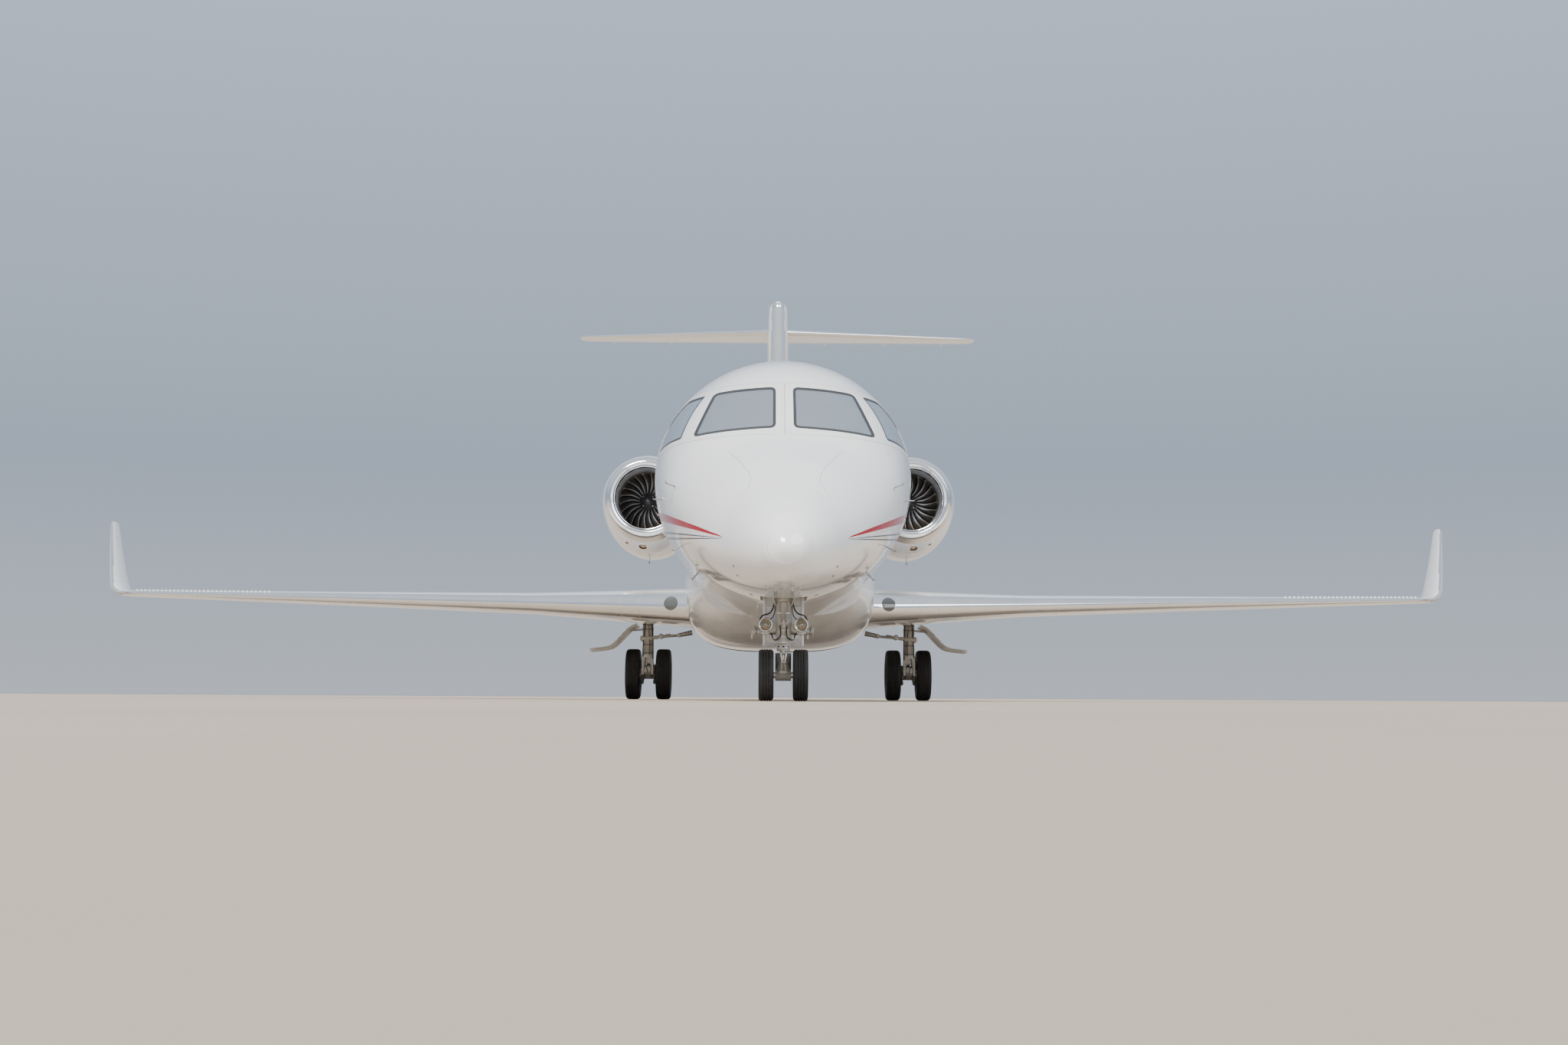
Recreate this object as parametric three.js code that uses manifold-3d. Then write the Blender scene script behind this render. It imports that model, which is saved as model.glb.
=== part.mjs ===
// A twin-engined business jet parked on its landing gear.
// Millimetres, +Z up, nose towards -Y, the aircraft's left side towards +X.
// The origin is on the ground, half way along the aircraft. A "station" is the distance behind the nose tip.
import * as THREE from 'three';
import { mergeVertices } from 'three/addons/utils/BufferGeometryUtils.js';
import Module from 'manifold-3d';

const wasm = await Module();
wasm.setup();

// Driving dimensions
const LENGTH = 20300;
const SEAT_GAP = 0.3;
const BODY_SIDES = 28;
const BODY_RADIUS = 1236;
const BODY_AXIS_Z = 2100;
const WALL = 100;
const AFT_WALL = 30;
const RADOME_END = 760;
const BAY_SOLID_END = 1950;
const FORWARD_END = 5300;
const CABIN_END = 12200;
const TAIL_END = 18700;
const FLOOR_TOP = 1280;
const FLOOR_THICK = 40;
const SURFACE_GAP = 9;
const PIN_SIDES = 8;
const ROUND = 14;
const SLIM_ROUND = 8;
const WHEEL_SIDES = 18;
const SHAFT_SIDES = 18;
const STRUT_SIDES = 12;
const NACELLE_SIDES = 24;
const CURVE_STEPS = 2;

// Body sections. Columns: station, half width, crown height, keel height, height of the widest point
const BODY_TABLE = [
  [0, 0, 1140, 1140, 1140],
  [40, 108, 1246, 1040, 1142],
  [150, 208, 1352, 955, 1150],
  [400, 345, 1508, 888, 1180],
  [760, 488, 1690, 864, 1235],
  [1250, 680, 1935, 860, 1350],
  [1930, 900, 2240, 860, 1580],
  [2450, 1025, 2540, 860, 1740],
  [3000, 1110, 2834, 861, 1880],
  [3500, 1162, 3050, 862, 1975],
  [4000, 1205, 3192, 864, 2045],
  [4700, 1233, 3305, 864, 2090],
  [5500, 1236, 3336, 864, 2100],
  [11500, 1236, 3336, 864, 2100],
  [12500, 1205, 3336, 905, 2130],
  [13300, 1140, 3330, 1040, 2190],
  [14300, 1020, 3315, 1330, 2300],
  [15500, 810, 3280, 1730, 2440],
  [16800, 560, 3210, 2140, 2600],
  [18000, 320, 3110, 2480, 2740],
  [18700, 165, 3020, 2650, 2810],
];
// Belly fairing under the wing. Columns: station, half width, lowest height
const FAIRING_TABLE = [
  [6850, 850, 905],
  [7500, 1020, 800],
  [8200, 1085, 700],
  [9200, 1095, 625],
  [10400, 1095, 610],
  [11700, 1085, 640],
  [12700, 1010, 800],
  [13600, 860, 1130],
];
const FAIRING_TOP = 1720;

// Wing planform. Columns: span position, station of the leading edge, chord, thickness ratio, height
const WING_TABLE = [
  [700, 7920, 4130, 0.118, 1035],
  [3000, 9416, 2484, 0.104, 1150],
  [9120, 13390, 1040, 0.085, 1440],
];
// Winglet sections. Columns: span position, leading edge station, chord, thickness ratio, height,
// cant in degrees
const WINGLET_TABLE = [
  [9120.4, 13391, 1038, 0.085, 1440, 0],
  [9255, 13480, 985, 0.085, 1458, 20],
  [9360, 13590, 915, 0.085, 1530, 48],
  [9430, 13730, 840, 0.085, 1650, 66],
  [9580, 14150, 600, 0.085, 2080, 70],
  [9700, 14520, 400, 0.085, 2470, 70],
  [9722, 14640, 280, 0.07, 2545, 70],
];
const CAMBER = 0.012;
// Fin. Columns: height, leading edge station, chord, thickness ratio
const FIN_TABLE = [
  [2850, 13300, 5000, 0.066],
  [3360, 14000, 4350, 0.082],
  [4300, 15150, 3420, 0.1],
  [5700, 16870, 2230, 0.149],
  [6260, 17480, 1800, 0.172],
  [6400, 17580, 1640, 0.178],
  [6460, 17660, 1480, 0.13],
];
// Tailplane. Columns: span position, leading edge station, chord, thickness ratio, height
const TAIL_TABLE = [
  [60, 17480, 1960, 0.085, 5925],
  [3290, 19386, 930, 0.08, 6015],
  [3380, 19480, 760, 0.05, 6018],
];
const TAIL_CAMBER = -0.01;
const TAIL_TRIM = 4.5;
const SURFACE_PIN = 9;
const SURFACE_PIN_REACH = 30;

// Engines
const ENGINE_X = 1790;
const ENGINE_Z = 2706;
// Nacelle outside. Columns: station, radius, how much deeper it is below the axis
const NACELLE_TABLE = [
  [12200, 470, 0],
  [12212, 500, 4],
  [12260, 532, 18],
  [12420, 578, 50],
  [12800, 630, 82],
  [13400, 650, 94],
  [14200, 630, 84],
  [15000, 545, 50],
  [15900, 390, 0],
];
// Duct through the nacelle. Columns: station, radius
const DUCT_TABLE = [
  [12190, 486],
  [12202, 464],
  [12235, 430],
  [12330, 412],
  [12960, 414],
  [13400, 560],
  [14200, 560],
  [15920, 345],
];
const FAN_STATION = 12870;
const FAN_BLADES = 22;
const FAN_TIP = 404;
const HUB_RADIUS = 120;
const FAN_SHAFT = 30;
// Engine core, a plain heavy body with its exhaust cone. Columns: station, radius
const CORE_TABLE = [
  [13080, 118],
  [13250, 200],
  [13700, 320],
  [14900, 300],
  [15500, 235],
  [15905, 200],
  [16250, 40],
];

// Nose gear
const NOSE_GEAR_STATION = 2400;
const NOSE_TYRE_RADIUS = 222;
const NOSE_TYRE_WIDTH = 130;
const NOSE_TYRE_X = 147;
const NOSE_BAY = { x: 200, front: 2020, rear: 2760, top: 1200, wall: 35 };
const NOSE_TRUNNION_Z = 1050;
const PISTON_RADIUS = 27;
const STEER_RANGE_PLATE = 70;
const LAMP_SHELF = 592;

// Main gear
const MAIN_GEAR_STATION = 10900;
const MAIN_GEAR_X = 1647;
const MAIN_TYRE_RADIUS = 320;
const MAIN_TYRE_WIDTH = 185;
const MAIN_TYRE_X = 192;
const MAIN_LEG_STATION = 10690;
const AXLE_RADIUS = 32;
const MAIN_SOCKET_DEPTH = 70;
const MAIN_STRUT_RADIUS = 70;
const ARM_PIN = 22;
const ARM_PIN_Z = 372;

// Entry door, on the left side, hinged along its lower edge
const DOOR = {
  front: 4210, rear: 5070, low: 1170, high: 2850, gap: 9,
  pinX: 806, pinZ: 1176, pin: 7, pinReach: 25, clear: 26,
};

// Furnishings
const PILOT_SEAT = { x: 400, station: 2900, width: 480 };
// Each seat's front station, and 1 where it faces forward
const CABIN_SEATS = { x: 520, width: 440, stations: [[6000, -1], [7300, 1], [8700, -1], [10000, 1]] };
const LEDGE = { low: 1450, top: 1720 };
const GALLEY = { near: 725, front: 4250, rear: 5150, top: 2850 };

// Pads where the aircraft is jacked: their lower faces
const PAD_RADIUS = 45;
const JACK_PADS = { wing: { x: 2300, station: 10350, z: 985 }, nose: { station: 3500, z: 846 } };

// Windows
const CABIN_WINDOWS = { count: 7, first: 5800, pitch: 800, low: 2120, high: 2530, width: 300, corner: 120 };
const GLASS_THICK = 22;
const GLASS_INSET = 6;
const POST_HALF = 75;

const WHITE = { color: 0xf4f4f2, roughness: 0.25, metalness: 0 };
const MATERIALS = {
  white: new THREE.MeshStandardMaterial(WHITE),
  polished: new THREE.MeshStandardMaterial({ color: 0xc9cacb, roughness: 0.2, metalness: 1 }),
  gear: new THREE.MeshStandardMaterial({ color: 0xb9b2a3, roughness: 0.45, metalness: 0.2 }),
  tyre: new THREE.MeshStandardMaterial({ color: 0x17181a, roughness: 0.85, metalness: 0 }),
  fan: new THREE.MeshStandardMaterial({ color: 0x2b3036, roughness: 0.4, metalness: 0.7 }),
  core: new THREE.MeshStandardMaterial({ color: 0x6f675f, roughness: 0.5, metalness: 0.8 }),
  glass: new THREE.MeshStandardMaterial({ color: 0xa9bcc9, roughness: 0.08, metalness: 0 }),
  cabin: new THREE.MeshStandardMaterial({ color: 0xb7a88f, roughness: 0.8, metalness: 0 }),
  panel: new THREE.MeshStandardMaterial({ color: 0x2a2c2f, roughness: 0.7, metalness: 0 }),
};

// Solids and helpers

const at = (station) => station - LENGTH / 2;
const point = (x, station, z) => new THREE.Vector3(x, at(station), z);

// A closed manifold solid from vertices and triangles, turned the right way out.
function manifoldFrom(vertProperties, triVerts) {
  const made = new wasm.Manifold(new wasm.Mesh({ numProp: 3, vertProperties, triVerts }));
  if (made.volume() > 0) return made;
  for (let i = 0; i < triVerts.length; i += 3) {
    [triVerts[i + 1], triVerts[i + 2]] = [triVerts[i + 2], triVerts[i + 1]];
  }
  return new wasm.Manifold(new wasm.Mesh({ numProp: 3, vertProperties, triVerts }));
}

function solid(geometry) {
  const bare = new THREE.BufferGeometry().setAttribute('position', geometry.getAttribute('position'));
  bare.setIndex(geometry.index);
  const merged = mergeVertices(bare, 1e-3);
  return manifoldFrom(merged.attributes.position.array, new Uint32Array(merged.index.array));
}

const join = (first, ...others) => others.reduce((sum, next) => sum.add(next), first);
const cut = (first, ...others) => others.reduce((rest, next) => rest.subtract(next), first);

// A solid through rings of the same number of points. A ring of one point is a pole.
function loft(rings) {
  const vertices = [];
  const starts = [];
  const triangles = [];
  for (const ring of rings) {
    starts.push(vertices.length / 3);
    for (const p of ring) vertices.push(p.x, p.y, p.z);
  }
  for (let k = 0; k + 1 < rings.length; k++) {
    const count = Math.max(rings[k].length, rings[k + 1].length);
    for (let i = 0; i < count; i++) {
      const next = (i + 1) % count;
      const near = rings[k].length > 1;
      const far = rings[k + 1].length > 1;
      const [a, b] = [starts[k] + (near ? i : 0), starts[k] + (near ? next : 0)];
      const [c, d] = [starts[k + 1] + (far ? i : 0), starts[k + 1] + (far ? next : 0)];
      if (a !== b) triangles.push(a, b, c);
      if (c !== d) triangles.push(b, d, c);
    }
  }
  capRing(rings[0], starts[0], triangles, true);
  capRing(rings.at(-1), starts.at(-1), triangles, false);
  return manifoldFrom(new Float32Array(vertices), new Uint32Array(triangles));
}

// Closes a flat ring, whichever way it faces.
function capRing(ring, start, triangles, reversed) {
  if (ring.length < 3) return;
  const normal = new THREE.Vector3();
  ring.forEach((p, i) => normal.add(new THREE.Vector3().crossVectors(p, ring[(i + 1) % ring.length])));
  const size = normal.toArray().map(Math.abs);
  const drop = size.indexOf(Math.max(...size));
  const [u, v] = [[1, 2], [2, 0], [0, 1]][drop];
  const flat = ring.map((p) => new THREE.Vector2(p.getComponent(u), p.getComponent(v)));
  const turn = THREE.ShapeUtils.isClockWise(flat);
  const order = ring.map((_, i) => (turn ? ring.length - 1 - i : i));
  const faces = THREE.ShapeUtils.triangulateShape(order.map((i) => flat[i]), []);
  for (const face of faces) {
    const [a, b, c] = face.map((i) => start + order[i]);
    if (turn !== reversed) triangles.push(a, c, b);
    else triangles.push(a, b, c);
  }
}

function box(x0, x1, front, rear, z0, z1) {
  const geometry = new THREE.BoxGeometry(x1 - x0, rear - front, z1 - z0);
  geometry.translate((x0 + x1) / 2, at((front + rear) / 2), (z0 + z1) / 2);
  return solid(geometry);
}

// Slim bars have fewer sides.
const sidesFor = (radius) => (radius > 50 ? ROUND : SLIM_ROUND);

// A round bar between two points, tapered if the second radius differs.
function bar(from, to, radius, endRadius = radius, sides = sidesFor(radius)) {
  const along = new THREE.Vector3().subVectors(to, from);
  const geometry = new THREE.CylinderGeometry(endRadius, radius, along.length(), sides);
  geometry.applyQuaternion(new THREE.Quaternion().setFromUnitVectors(
    new THREE.Vector3(0, 1, 0), along.clone().normalize()));
  geometry.translate(...new THREE.Vector3().addVectors(from, to).multiplyScalar(0.5).toArray());
  return solid(geometry);
}

// The radius of a faceted hole that a fixed pin of as many sides fits closely.
const seatFor = (radius, sides) => radius + SEAT_GAP / Math.cos(Math.PI / sides);

// The radius of a faceted hole in which a faceted pin turns clear.
const holeFor = (radius, sides = SHAFT_SIDES) => (radius + SEAT_GAP) / Math.cos(Math.PI / sides);

// A body of revolution about a line along the aircraft. Rows: station, radius.
function turned(rows, x, z, sides = 16) {
  const profile = rows.map(([station, radius]) => new THREE.Vector2(radius, at(station)));
  const ends = [new THREE.Vector2(0, profile[0].y), new THREE.Vector2(0, profile.at(-1).y)];
  const geometry = new THREE.LatheGeometry([ends[0], ...profile, ends[1]], sides);
  geometry.translate(x, 0, z);
  return solid(geometry);
}

// The corners of an outline whose every edge is moved outwards by the same distance.
function grownOutline(corners, grow) {
  const points = corners.map(([x, y]) => new THREE.Vector2(x, y));
  const outwards = THREE.ShapeUtils.isClockWise(points) ? -1 : 1;
  const normal = (a, b) => new THREE.Vector2(b.y - a.y, a.x - b.x).normalize().multiplyScalar(outwards);
  return points.map((here, i) => {
    const first = normal(points.at(i - 1), here);
    const second = normal(here, points[(i + 1) % points.length]);
    const bisector = first.clone().add(second);
    const moved = here.clone().addScaledVector(bisector, (2 * grow) / bisector.lengthSq());
    return moved.toArray();
  });
}

// A body of revolution about a vertical line. Rows: height, radius, from the lowest up.
function strut(rows, x, station, sides = STRUT_SIDES) {
  const profile = rows.map(([z, radius]) => new THREE.Vector2(radius, z));
  const ends = [new THREE.Vector2(0, rows[0][0]), new THREE.Vector2(0, rows.at(-1)[0])];
  const geometry = new THREE.LatheGeometry([ends[0], ...profile, ends[1]], sides);
  geometry.rotateX(Math.PI / 2);
  geometry.translate(x, at(station), 0);
  return solid(geometry);
}

// An outline with its corners rounded, as a flat shape.
function roundedShape(corners, radius) {
  const shape = new THREE.Shape();
  corners.forEach(([x, y], i) => {
    if (radius === 0) {
      if (i === 0) shape.moveTo(x, y);
      else shape.lineTo(x, y);
      return;
    }
    const here = new THREE.Vector2(x, y);
    const before = new THREE.Vector2(...corners.at(i - 1));
    const after = new THREE.Vector2(...corners[(i + 1) % corners.length]);
    const enter = here.clone().add(before.sub(here).setLength(radius));
    const leave = here.clone().add(after.sub(here).setLength(radius));
    if (i === 0) shape.moveTo(enter.x, enter.y);
    else shape.lineTo(enter.x, enter.y);
    shape.quadraticCurveTo(here.x, here.y, leave.x, leave.y);
  });
  shape.closePath();
  return shape;
}

// A prism along X of an outline in station and height.
function prismAcross(corners, radius, x0, x1, curveSegments = CURVE_STEPS) {
  const shape = roundedShape(corners.map(([station, z]) => [at(station), z]), radius);
  const geometry = new THREE.ExtrudeGeometry(shape, { depth: x1 - x0, bevelEnabled: false, curveSegments });
  geometry.applyMatrix4(new THREE.Matrix4().makeBasis(
    new THREE.Vector3(0, 1, 0), new THREE.Vector3(0, 0, 1), new THREE.Vector3(1, 0, 0)));
  geometry.translate(x0, 0, 0);
  return solid(geometry);
}

// A prism along Y of an outline in X and height.
function prismAlong(corners, radius, front, rear) {
  const shape = roundedShape(corners, radius);
  const geometry = new THREE.ExtrudeGeometry(shape,
    { depth: rear - front, bevelEnabled: false, curveSegments: CURVE_STEPS });
  geometry.applyMatrix4(new THREE.Matrix4().makeBasis(
    new THREE.Vector3(1, 0, 0), new THREE.Vector3(0, 0, 1), new THREE.Vector3(0, -1, 0)));
  geometry.translate(0, at(rear), 0);
  return solid(geometry);
}

// The value of one column at a station, on a smooth curve through the rows.
function smooth(rows, column, s) {
  const last = rows.length - 1;
  let k = rows.findIndex((row) => row[0] > s) - 1;
  if (k < 0) k = s <= rows[0][0] ? 0 : last - 1;
  const secant = (i) => (rows[i + 1][column] - rows[i][column]) / (rows[i + 1][0] - rows[i][0]);
  const slope = (i) => {
    const [before, after] = [secant(Math.max(i - 1, 0)), secant(Math.min(i, last - 1))];
    return before * after <= 0 ? 0 : (before + after) / 2;
  };
  const span = rows[k + 1][0] - rows[k][0];
  const t = (s - rows[k][0]) / span;
  return (2 * t ** 3 - 3 * t ** 2 + 1) * rows[k][column] + (t ** 3 - 2 * t ** 2 + t) * span * slope(k)
    + (3 * t ** 2 - 2 * t ** 3) * rows[k + 1][column] + (t ** 3 - t ** 2) * span * slope(k + 1);
}

// The value of one column on straight lines through the rows.
function linear(rows, column, s) {
  let k = rows.findIndex((row) => row[0] > s) - 1;
  if (k < 0) k = s <= rows[0][0] ? 0 : rows.length - 2;
  const t = (s - rows[k][0]) / (rows[k + 1][0] - rows[k][0]);
  return rows[k][column] + t * (rows[k + 1][column] - rows[k][column]);
}

// Fuselage

const BODY_STATIONS = [...BODY_TABLE.map((row) => row[0]), 260, 570, 1590, 2200, FORWARD_END, CABIN_END]
  .sort((a, b) => a - b);

function bodyRing(station, offset) {
  const [half, crown, keel, waist] = [1, 2, 3, 4].map((column) => smooth(BODY_TABLE, column, station));
  return Array.from({ length: BODY_SIDES }, (_, i) => {
    const angle = (i / BODY_SIDES) * 2 * Math.PI;
    const rise = Math.sin(angle) > 0 ? crown - waist : waist - keel;
    return point((half + offset) * Math.cos(angle), station, waist + (rise + offset) * Math.sin(angle));
  });
}

// The fuselage between two stations, grown or shrunk by an offset.
function bodyLoft(from, to, offset = 0) {
  const inner = BODY_STATIONS.filter((s) => s > from + 20 && s < to - 20);
  const stations = [from, ...inner, to];
  const rings = stations.map((s) => (s === 0 ? [point(0, 0, BODY_TABLE[0][2])] : bodyRing(s, offset)));
  return loft(rings);
}

const bodyOutside = bodyLoft(RADOME_END, TAIL_END, SEAT_GAP);

// The cockpit's windows, drawn as seen from ahead, and the side ones as seen from the side.
const frontPane = (side, grow) => prismAlong(grownOutline([
  [side * POST_HALF, 2305], [side * POST_HALF, 2785], [side * 632, 2768], [side * 800, 2276],
], grow), 55, 1800, 3600);
const sidePane = (side, grow) => prismAcross(grownOutline([
  [2735, 2290], [3340, 2765], [3820, 2780], [4040, 2560], [3960, 2290],
], grow), 50, side > 0 ? 500 : -1400, side > 0 ? 1400 : -500);

function cabinWindow(index, side, grow) {
  const front = CABIN_WINDOWS.first + index * CABIN_WINDOWS.pitch;
  const rear = front + CABIN_WINDOWS.width;
  const { low, high, corner } = CABIN_WINDOWS;
  const outline = [[front, low], [front, high], [rear, high], [rear, low]];
  return prismAcross(grownOutline(outline, grow), corner + grow, side > 0 ? 900 : -1400,
    side > 0 ? 1400 : -900, 1);
}

const doorPrism = (grow) => prismAcross(grownOutline([
  [DOOR.front, DOOR.low], [DOOR.front, DOOR.high], [DOOR.rear, DOOR.high], [DOOR.rear, DOOR.low],
], grow), 60 + grow, 500, 1400);

const doorPin = (radius, reach) => bar(point(DOOR.pinX, DOOR.front - reach, DOOR.pinZ),
  point(DOOR.pinX, DOOR.rear + reach, DOOR.pinZ), radius, radius, PIN_SIDES);

function makeForwardFuselage() {
  const bay = NOSE_BAY;
  const shell = cut(bodyLoft(RADOME_END + SEAT_GAP, FORWARD_END),
    bodyLoft(BAY_SOLID_END, FORWARD_END + 50, -WALL));
  const liner = box(-bay.x - bay.wall, bay.x + bay.wall, bay.front - bay.wall, bay.rear + bay.wall, 930,
    bay.top + bay.wall);
  const well = box(-bay.x, bay.x, bay.front, bay.rear, 700, bay.top);
  const openings = [1, -1].flatMap((side) => [frontPane(side, 0), sidePane(side, 0)]);
  const { station, z } = JACK_PADS.nose;
  const pad = bar(point(0, station, z), point(0, station, 900), PAD_RADIUS);
  return cut(join(shell, liner, pad), well, ...openings, doorPrism(DOOR.gap),
    doorPin(holeFor(DOOR.pin, PIN_SIDES), DOOR.pinReach + 1), doorPin(DOOR.clear, DOOR.gap));
}

function makeCabin() {
  const shell = cut(bodyLoft(FORWARD_END + SEAT_GAP, CABIN_END),
    bodyLoft(FORWARD_END - 50, CABIN_END - WALL, -WALL));
  const holes = [];
  for (let i = 0; i < CABIN_WINDOWS.count; i++) holes.push(cabinWindow(i, 1, 0), cabinWindow(i, -1, 0));
  return cut(shell, ...holes);
}

function makeAftFuselage() {
  return cut(bodyLoft(CABIN_END + SEAT_GAP, TAIL_END), bodyLoft(CABIN_END - 50, 17600, -AFT_WALL));
}

// A pane follows the fuselage, a little inside its surface.
function pane(prism) {
  const layer = cut(bodyLoft(1500, 4600, -GLASS_INSET), bodyLoft(1400, 4700, -GLASS_INSET - GLASS_THICK));
  return layer.intersect(prism);
}

// One side's cabin panes, joined by the strip behind them that carries them.
function makeCabinPanes(side) {
  const [first, last] = [CABIN_WINDOWS.first - 60,
    CABIN_WINDOWS.first + (CABIN_WINDOWS.count - 1) * CABIN_WINDOWS.pitch + CABIN_WINDOWS.width + 60];
  const glass = cut(bodyLoft(first - 100, last + 100, -GLASS_INSET),
    bodyLoft(first - 150, last + 150, -WALL - 7));
  const strip = cut(bodyLoft(first, last, -WALL - SEAT_GAP), bodyLoft(first - 50, last + 50, -WALL - 14));
  const reach = side > 0 ? [700, 1400] : [-1400, -700];
  const plugs = Array.from({ length: CABIN_WINDOWS.count }, (_, i) => cabinWindow(i, side, -SEAT_GAP))
    .map((hole) => glass.intersect(hole));
  const band = strip.intersect(box(...reach, first, last, CABIN_WINDOWS.low - 40, CABIN_WINDOWS.high + 40));
  return join(band, ...plugs);
}

function makeEntryDoor() {
  const layer = cut(bodyLoft(3500, FORWARD_END), bodyLoft(3400, FORWARD_END + 50, -WALL + 10));
  const slab = layer.intersect(doorPrism(0));
  const steps = [0, 1, 2, 3].map((i) => {
    const z = 1480 + i * 330;
    const wall = Math.sqrt(BODY_RADIUS ** 2 - (z - BODY_AXIS_Z) ** 2) - WALL;
    return box(wall - 170, wall + 50, DOOR.front + 150, DOOR.rear - 150, z, z + 28);
  });
  const inside = bodyLoft(3500, FORWARD_END, -30);
  return join(slab, ...steps.map((step) => step.intersect(inside)), doorPin(DOOR.pin, DOOR.pinReach));
}

// A seat on its pedestal, facing forward when facing is 1.
function seat(x, station, width, facing) {
  const z = FLOOR_TOP + SEAT_GAP;
  // Columns: distance behind the front edge, height
  const outline = [[100, 0], [400, 0], [400, 270], [580, 300], [620, 1000], [500, 1000], [460, 420],
    [0, 420], [0, 270], [100, 270]];
  const corners = outline.map(([behind, up]) => [station + (facing > 0 ? behind : 480 - behind), z + up]);
  return prismAcross(corners, 0, x - width / 2, x + width / 2);
}

const pilotSeat = (side) => seat(side * PILOT_SEAT.x, PILOT_SEAT.station, PILOT_SEAT.width, 1);

// The space inside the fuselage's lining, for what is fitted in it.
const liningInside = (from, to) => bodyLoft(from, to, -WALL - SEAT_GAP);

// A box between two distances from the middle, on one side.
const sideBox = (side, near, far, ...rest) => box(Math.min(side * near, side * far),
  Math.max(side * near, side * far), ...rest);

// One side's cabin seats, joined by the ledge under the windows. The galley is opposite the door.
function makeFurnishings(side) {
  const seats = CABIN_SEATS.stations.map(([station, facing]) => (
    seat(side * CABIN_SEATS.x, station, CABIN_SEATS.width, facing)));
  const front = side > 0 ? CABIN_SEATS.stations[0][0] : PILOT_SEAT.station + 100;
  const ledge = sideBox(side, side > 0 ? 700 : 720, 1150, front, 10600, LEDGE.low, LEDGE.top);
  const fitted = [ledge];
  if (side < 0) {
    const { near, front: galleyFront, rear, top } = GALLEY;
    fitted.push(sideBox(side, near, 1150, galleyFront, rear, FLOOR_TOP + SEAT_GAP, top),
      sideBox(side, 600, 760, front, front + 200, LEDGE.low, LEDGE.top));
    seats.push(pilotSeat(side));
  }
  const inside = liningInside(2700, CABIN_END - WALL);
  return join(inside.intersect(join(...fitted)), ...seats);
}

function makeFloor() {
  const plate = liningInside(1800, CABIN_END - WALL - SEAT_GAP)
    .intersect(box(-1200, 1200, BAY_SOLID_END + SEAT_GAP, 12000, FLOOR_TOP - FLOOR_THICK, FLOOR_TOP));
  const doorway = box(590, 1300, DOOR.front - 60, DOOR.rear + 60, 1000, 1500);
  const bay = box(-NOSE_BAY.x - 60, NOSE_BAY.x + 60, 1900, NOSE_BAY.rear + 60, 1000, NOSE_BAY.top + 60);
  return cut(plate, doorway, bay);
}

function makeInstrumentPanel() {
  const face = box(-1100, 1100, 2180, 2420, 1500, 2150);
  const pedestal = box(-150, 150, 2400, 2850, FLOOR_TOP + SEAT_GAP, 1700);
  return join(liningInside(1990, 3000).intersect(face), pedestal);
}

function fairingLoft(offset = 0) {
  const sides = 28;
  const squareness = 3.2;
  const stations = [];
  for (let s = FAIRING_TABLE[0][0]; s <= FAIRING_TABLE.at(-1)[0]; s += 675) stations.push(s);
  return loft(stations.map((station) => {
    const half = smooth(FAIRING_TABLE, 1, station) + offset;
    const low = smooth(FAIRING_TABLE, 2, station) - offset;
    const [middle, rise] = [(FAIRING_TOP + low) / 2, (FAIRING_TOP - low) / 2];
    return Array.from({ length: sides }, (_, i) => {
      const angle = (i / sides) * 2 * Math.PI;
      const bend = (v) => Math.sign(v) * Math.abs(v) ** (2 / squareness);
      return point(half * bend(Math.cos(angle)), station, middle + rise * bend(Math.sin(angle)));
    });
  }));
}

function makeBellyFairing() {
  const wells = [1, -1].map((side) => box(Math.min(side * 110, side * 900), Math.max(side * 110, side * 900),
    MAIN_GEAR_STATION - 420, MAIN_GEAR_STATION + 420, 500, 800));
  return cut(fairingLoft(), bodyOutside, ...wells);
}

// Wings and tail

// Half the thickness of the section at a share of its chord.
const halfThickness = (share, ratio) => 5 * ratio * (0.2969 * Math.sqrt(share) - 0.126 * share
  - 0.3516 * share ** 2 + 0.2843 * share ** 3 - 0.1015 * share ** 4) + 0.0016;

// A closed wing section, as distance along the chord and height above it.
function wingSection(chord, ratio, camber, grow = 0) {
  const shares = Array.from({ length: 8 }, (_, i) => (1 - Math.cos((i / 7) * Math.PI)) / 2);
  const line = (share) => camber * 4 * share * (1 - share);
  const along = (share) => share * (chord + 2 * grow) - grow;
  const height = (s, way) => (line(s) + way * halfThickness(s, ratio)) * chord + way * grow;
  const upper = shares.toReversed().map((s) => [along(s), height(s, 1)]);
  const lower = shares.slice(1).map((s) => [along(s), height(s, -1)]);
  return [...upper, ...lower];
}

// A section of a wing at a span position. The cant turns it up, as on a winglet.
function spanRing(side, [x, station, chord, ratio, z, cant = 0], camber) {
  const tilt = THREE.MathUtils.degToRad(cant);
  return wingSection(chord, ratio, camber).map(([along, height]) => (
    point(side * (x - height * Math.sin(tilt)), station + along, z + height * Math.cos(tilt))));
}

function wingLoft(side, table) {
  return loft(table.map((row) => spanRing(side, row, table === TAIL_TABLE ? TAIL_CAMBER : CAMBER)));
}

// The hinge of a control surface between two span positions, at a share of the chord.
function spanHinge(side, table, from, to, share, camber) {
  const end = (x) => {
    const [station, chord, ratio, z] = [1, 2, 3, 4].map((column) => linear(table, column, x));
    const height = z + camber * 4 * share * (1 - share) * chord;
    const half = halfThickness(share, ratio) * chord;
    return { at: point(side * x, station + share * chord, height), half };
  };
  return { from: end(from), to: end(to) };
}

const RUDDER_HINGE = (() => {
  const share = 0.7;
  const end = (z) => {
    const [station, chord, ratio] = [1, 2, 3].map((column) => linear(FIN_TABLE, column, z));
    return { at: point(0, station + share * chord, z), half: halfThickness(share, ratio) * chord };
  };
  return { from: end(3480), to: end(5560) };
})();

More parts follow.
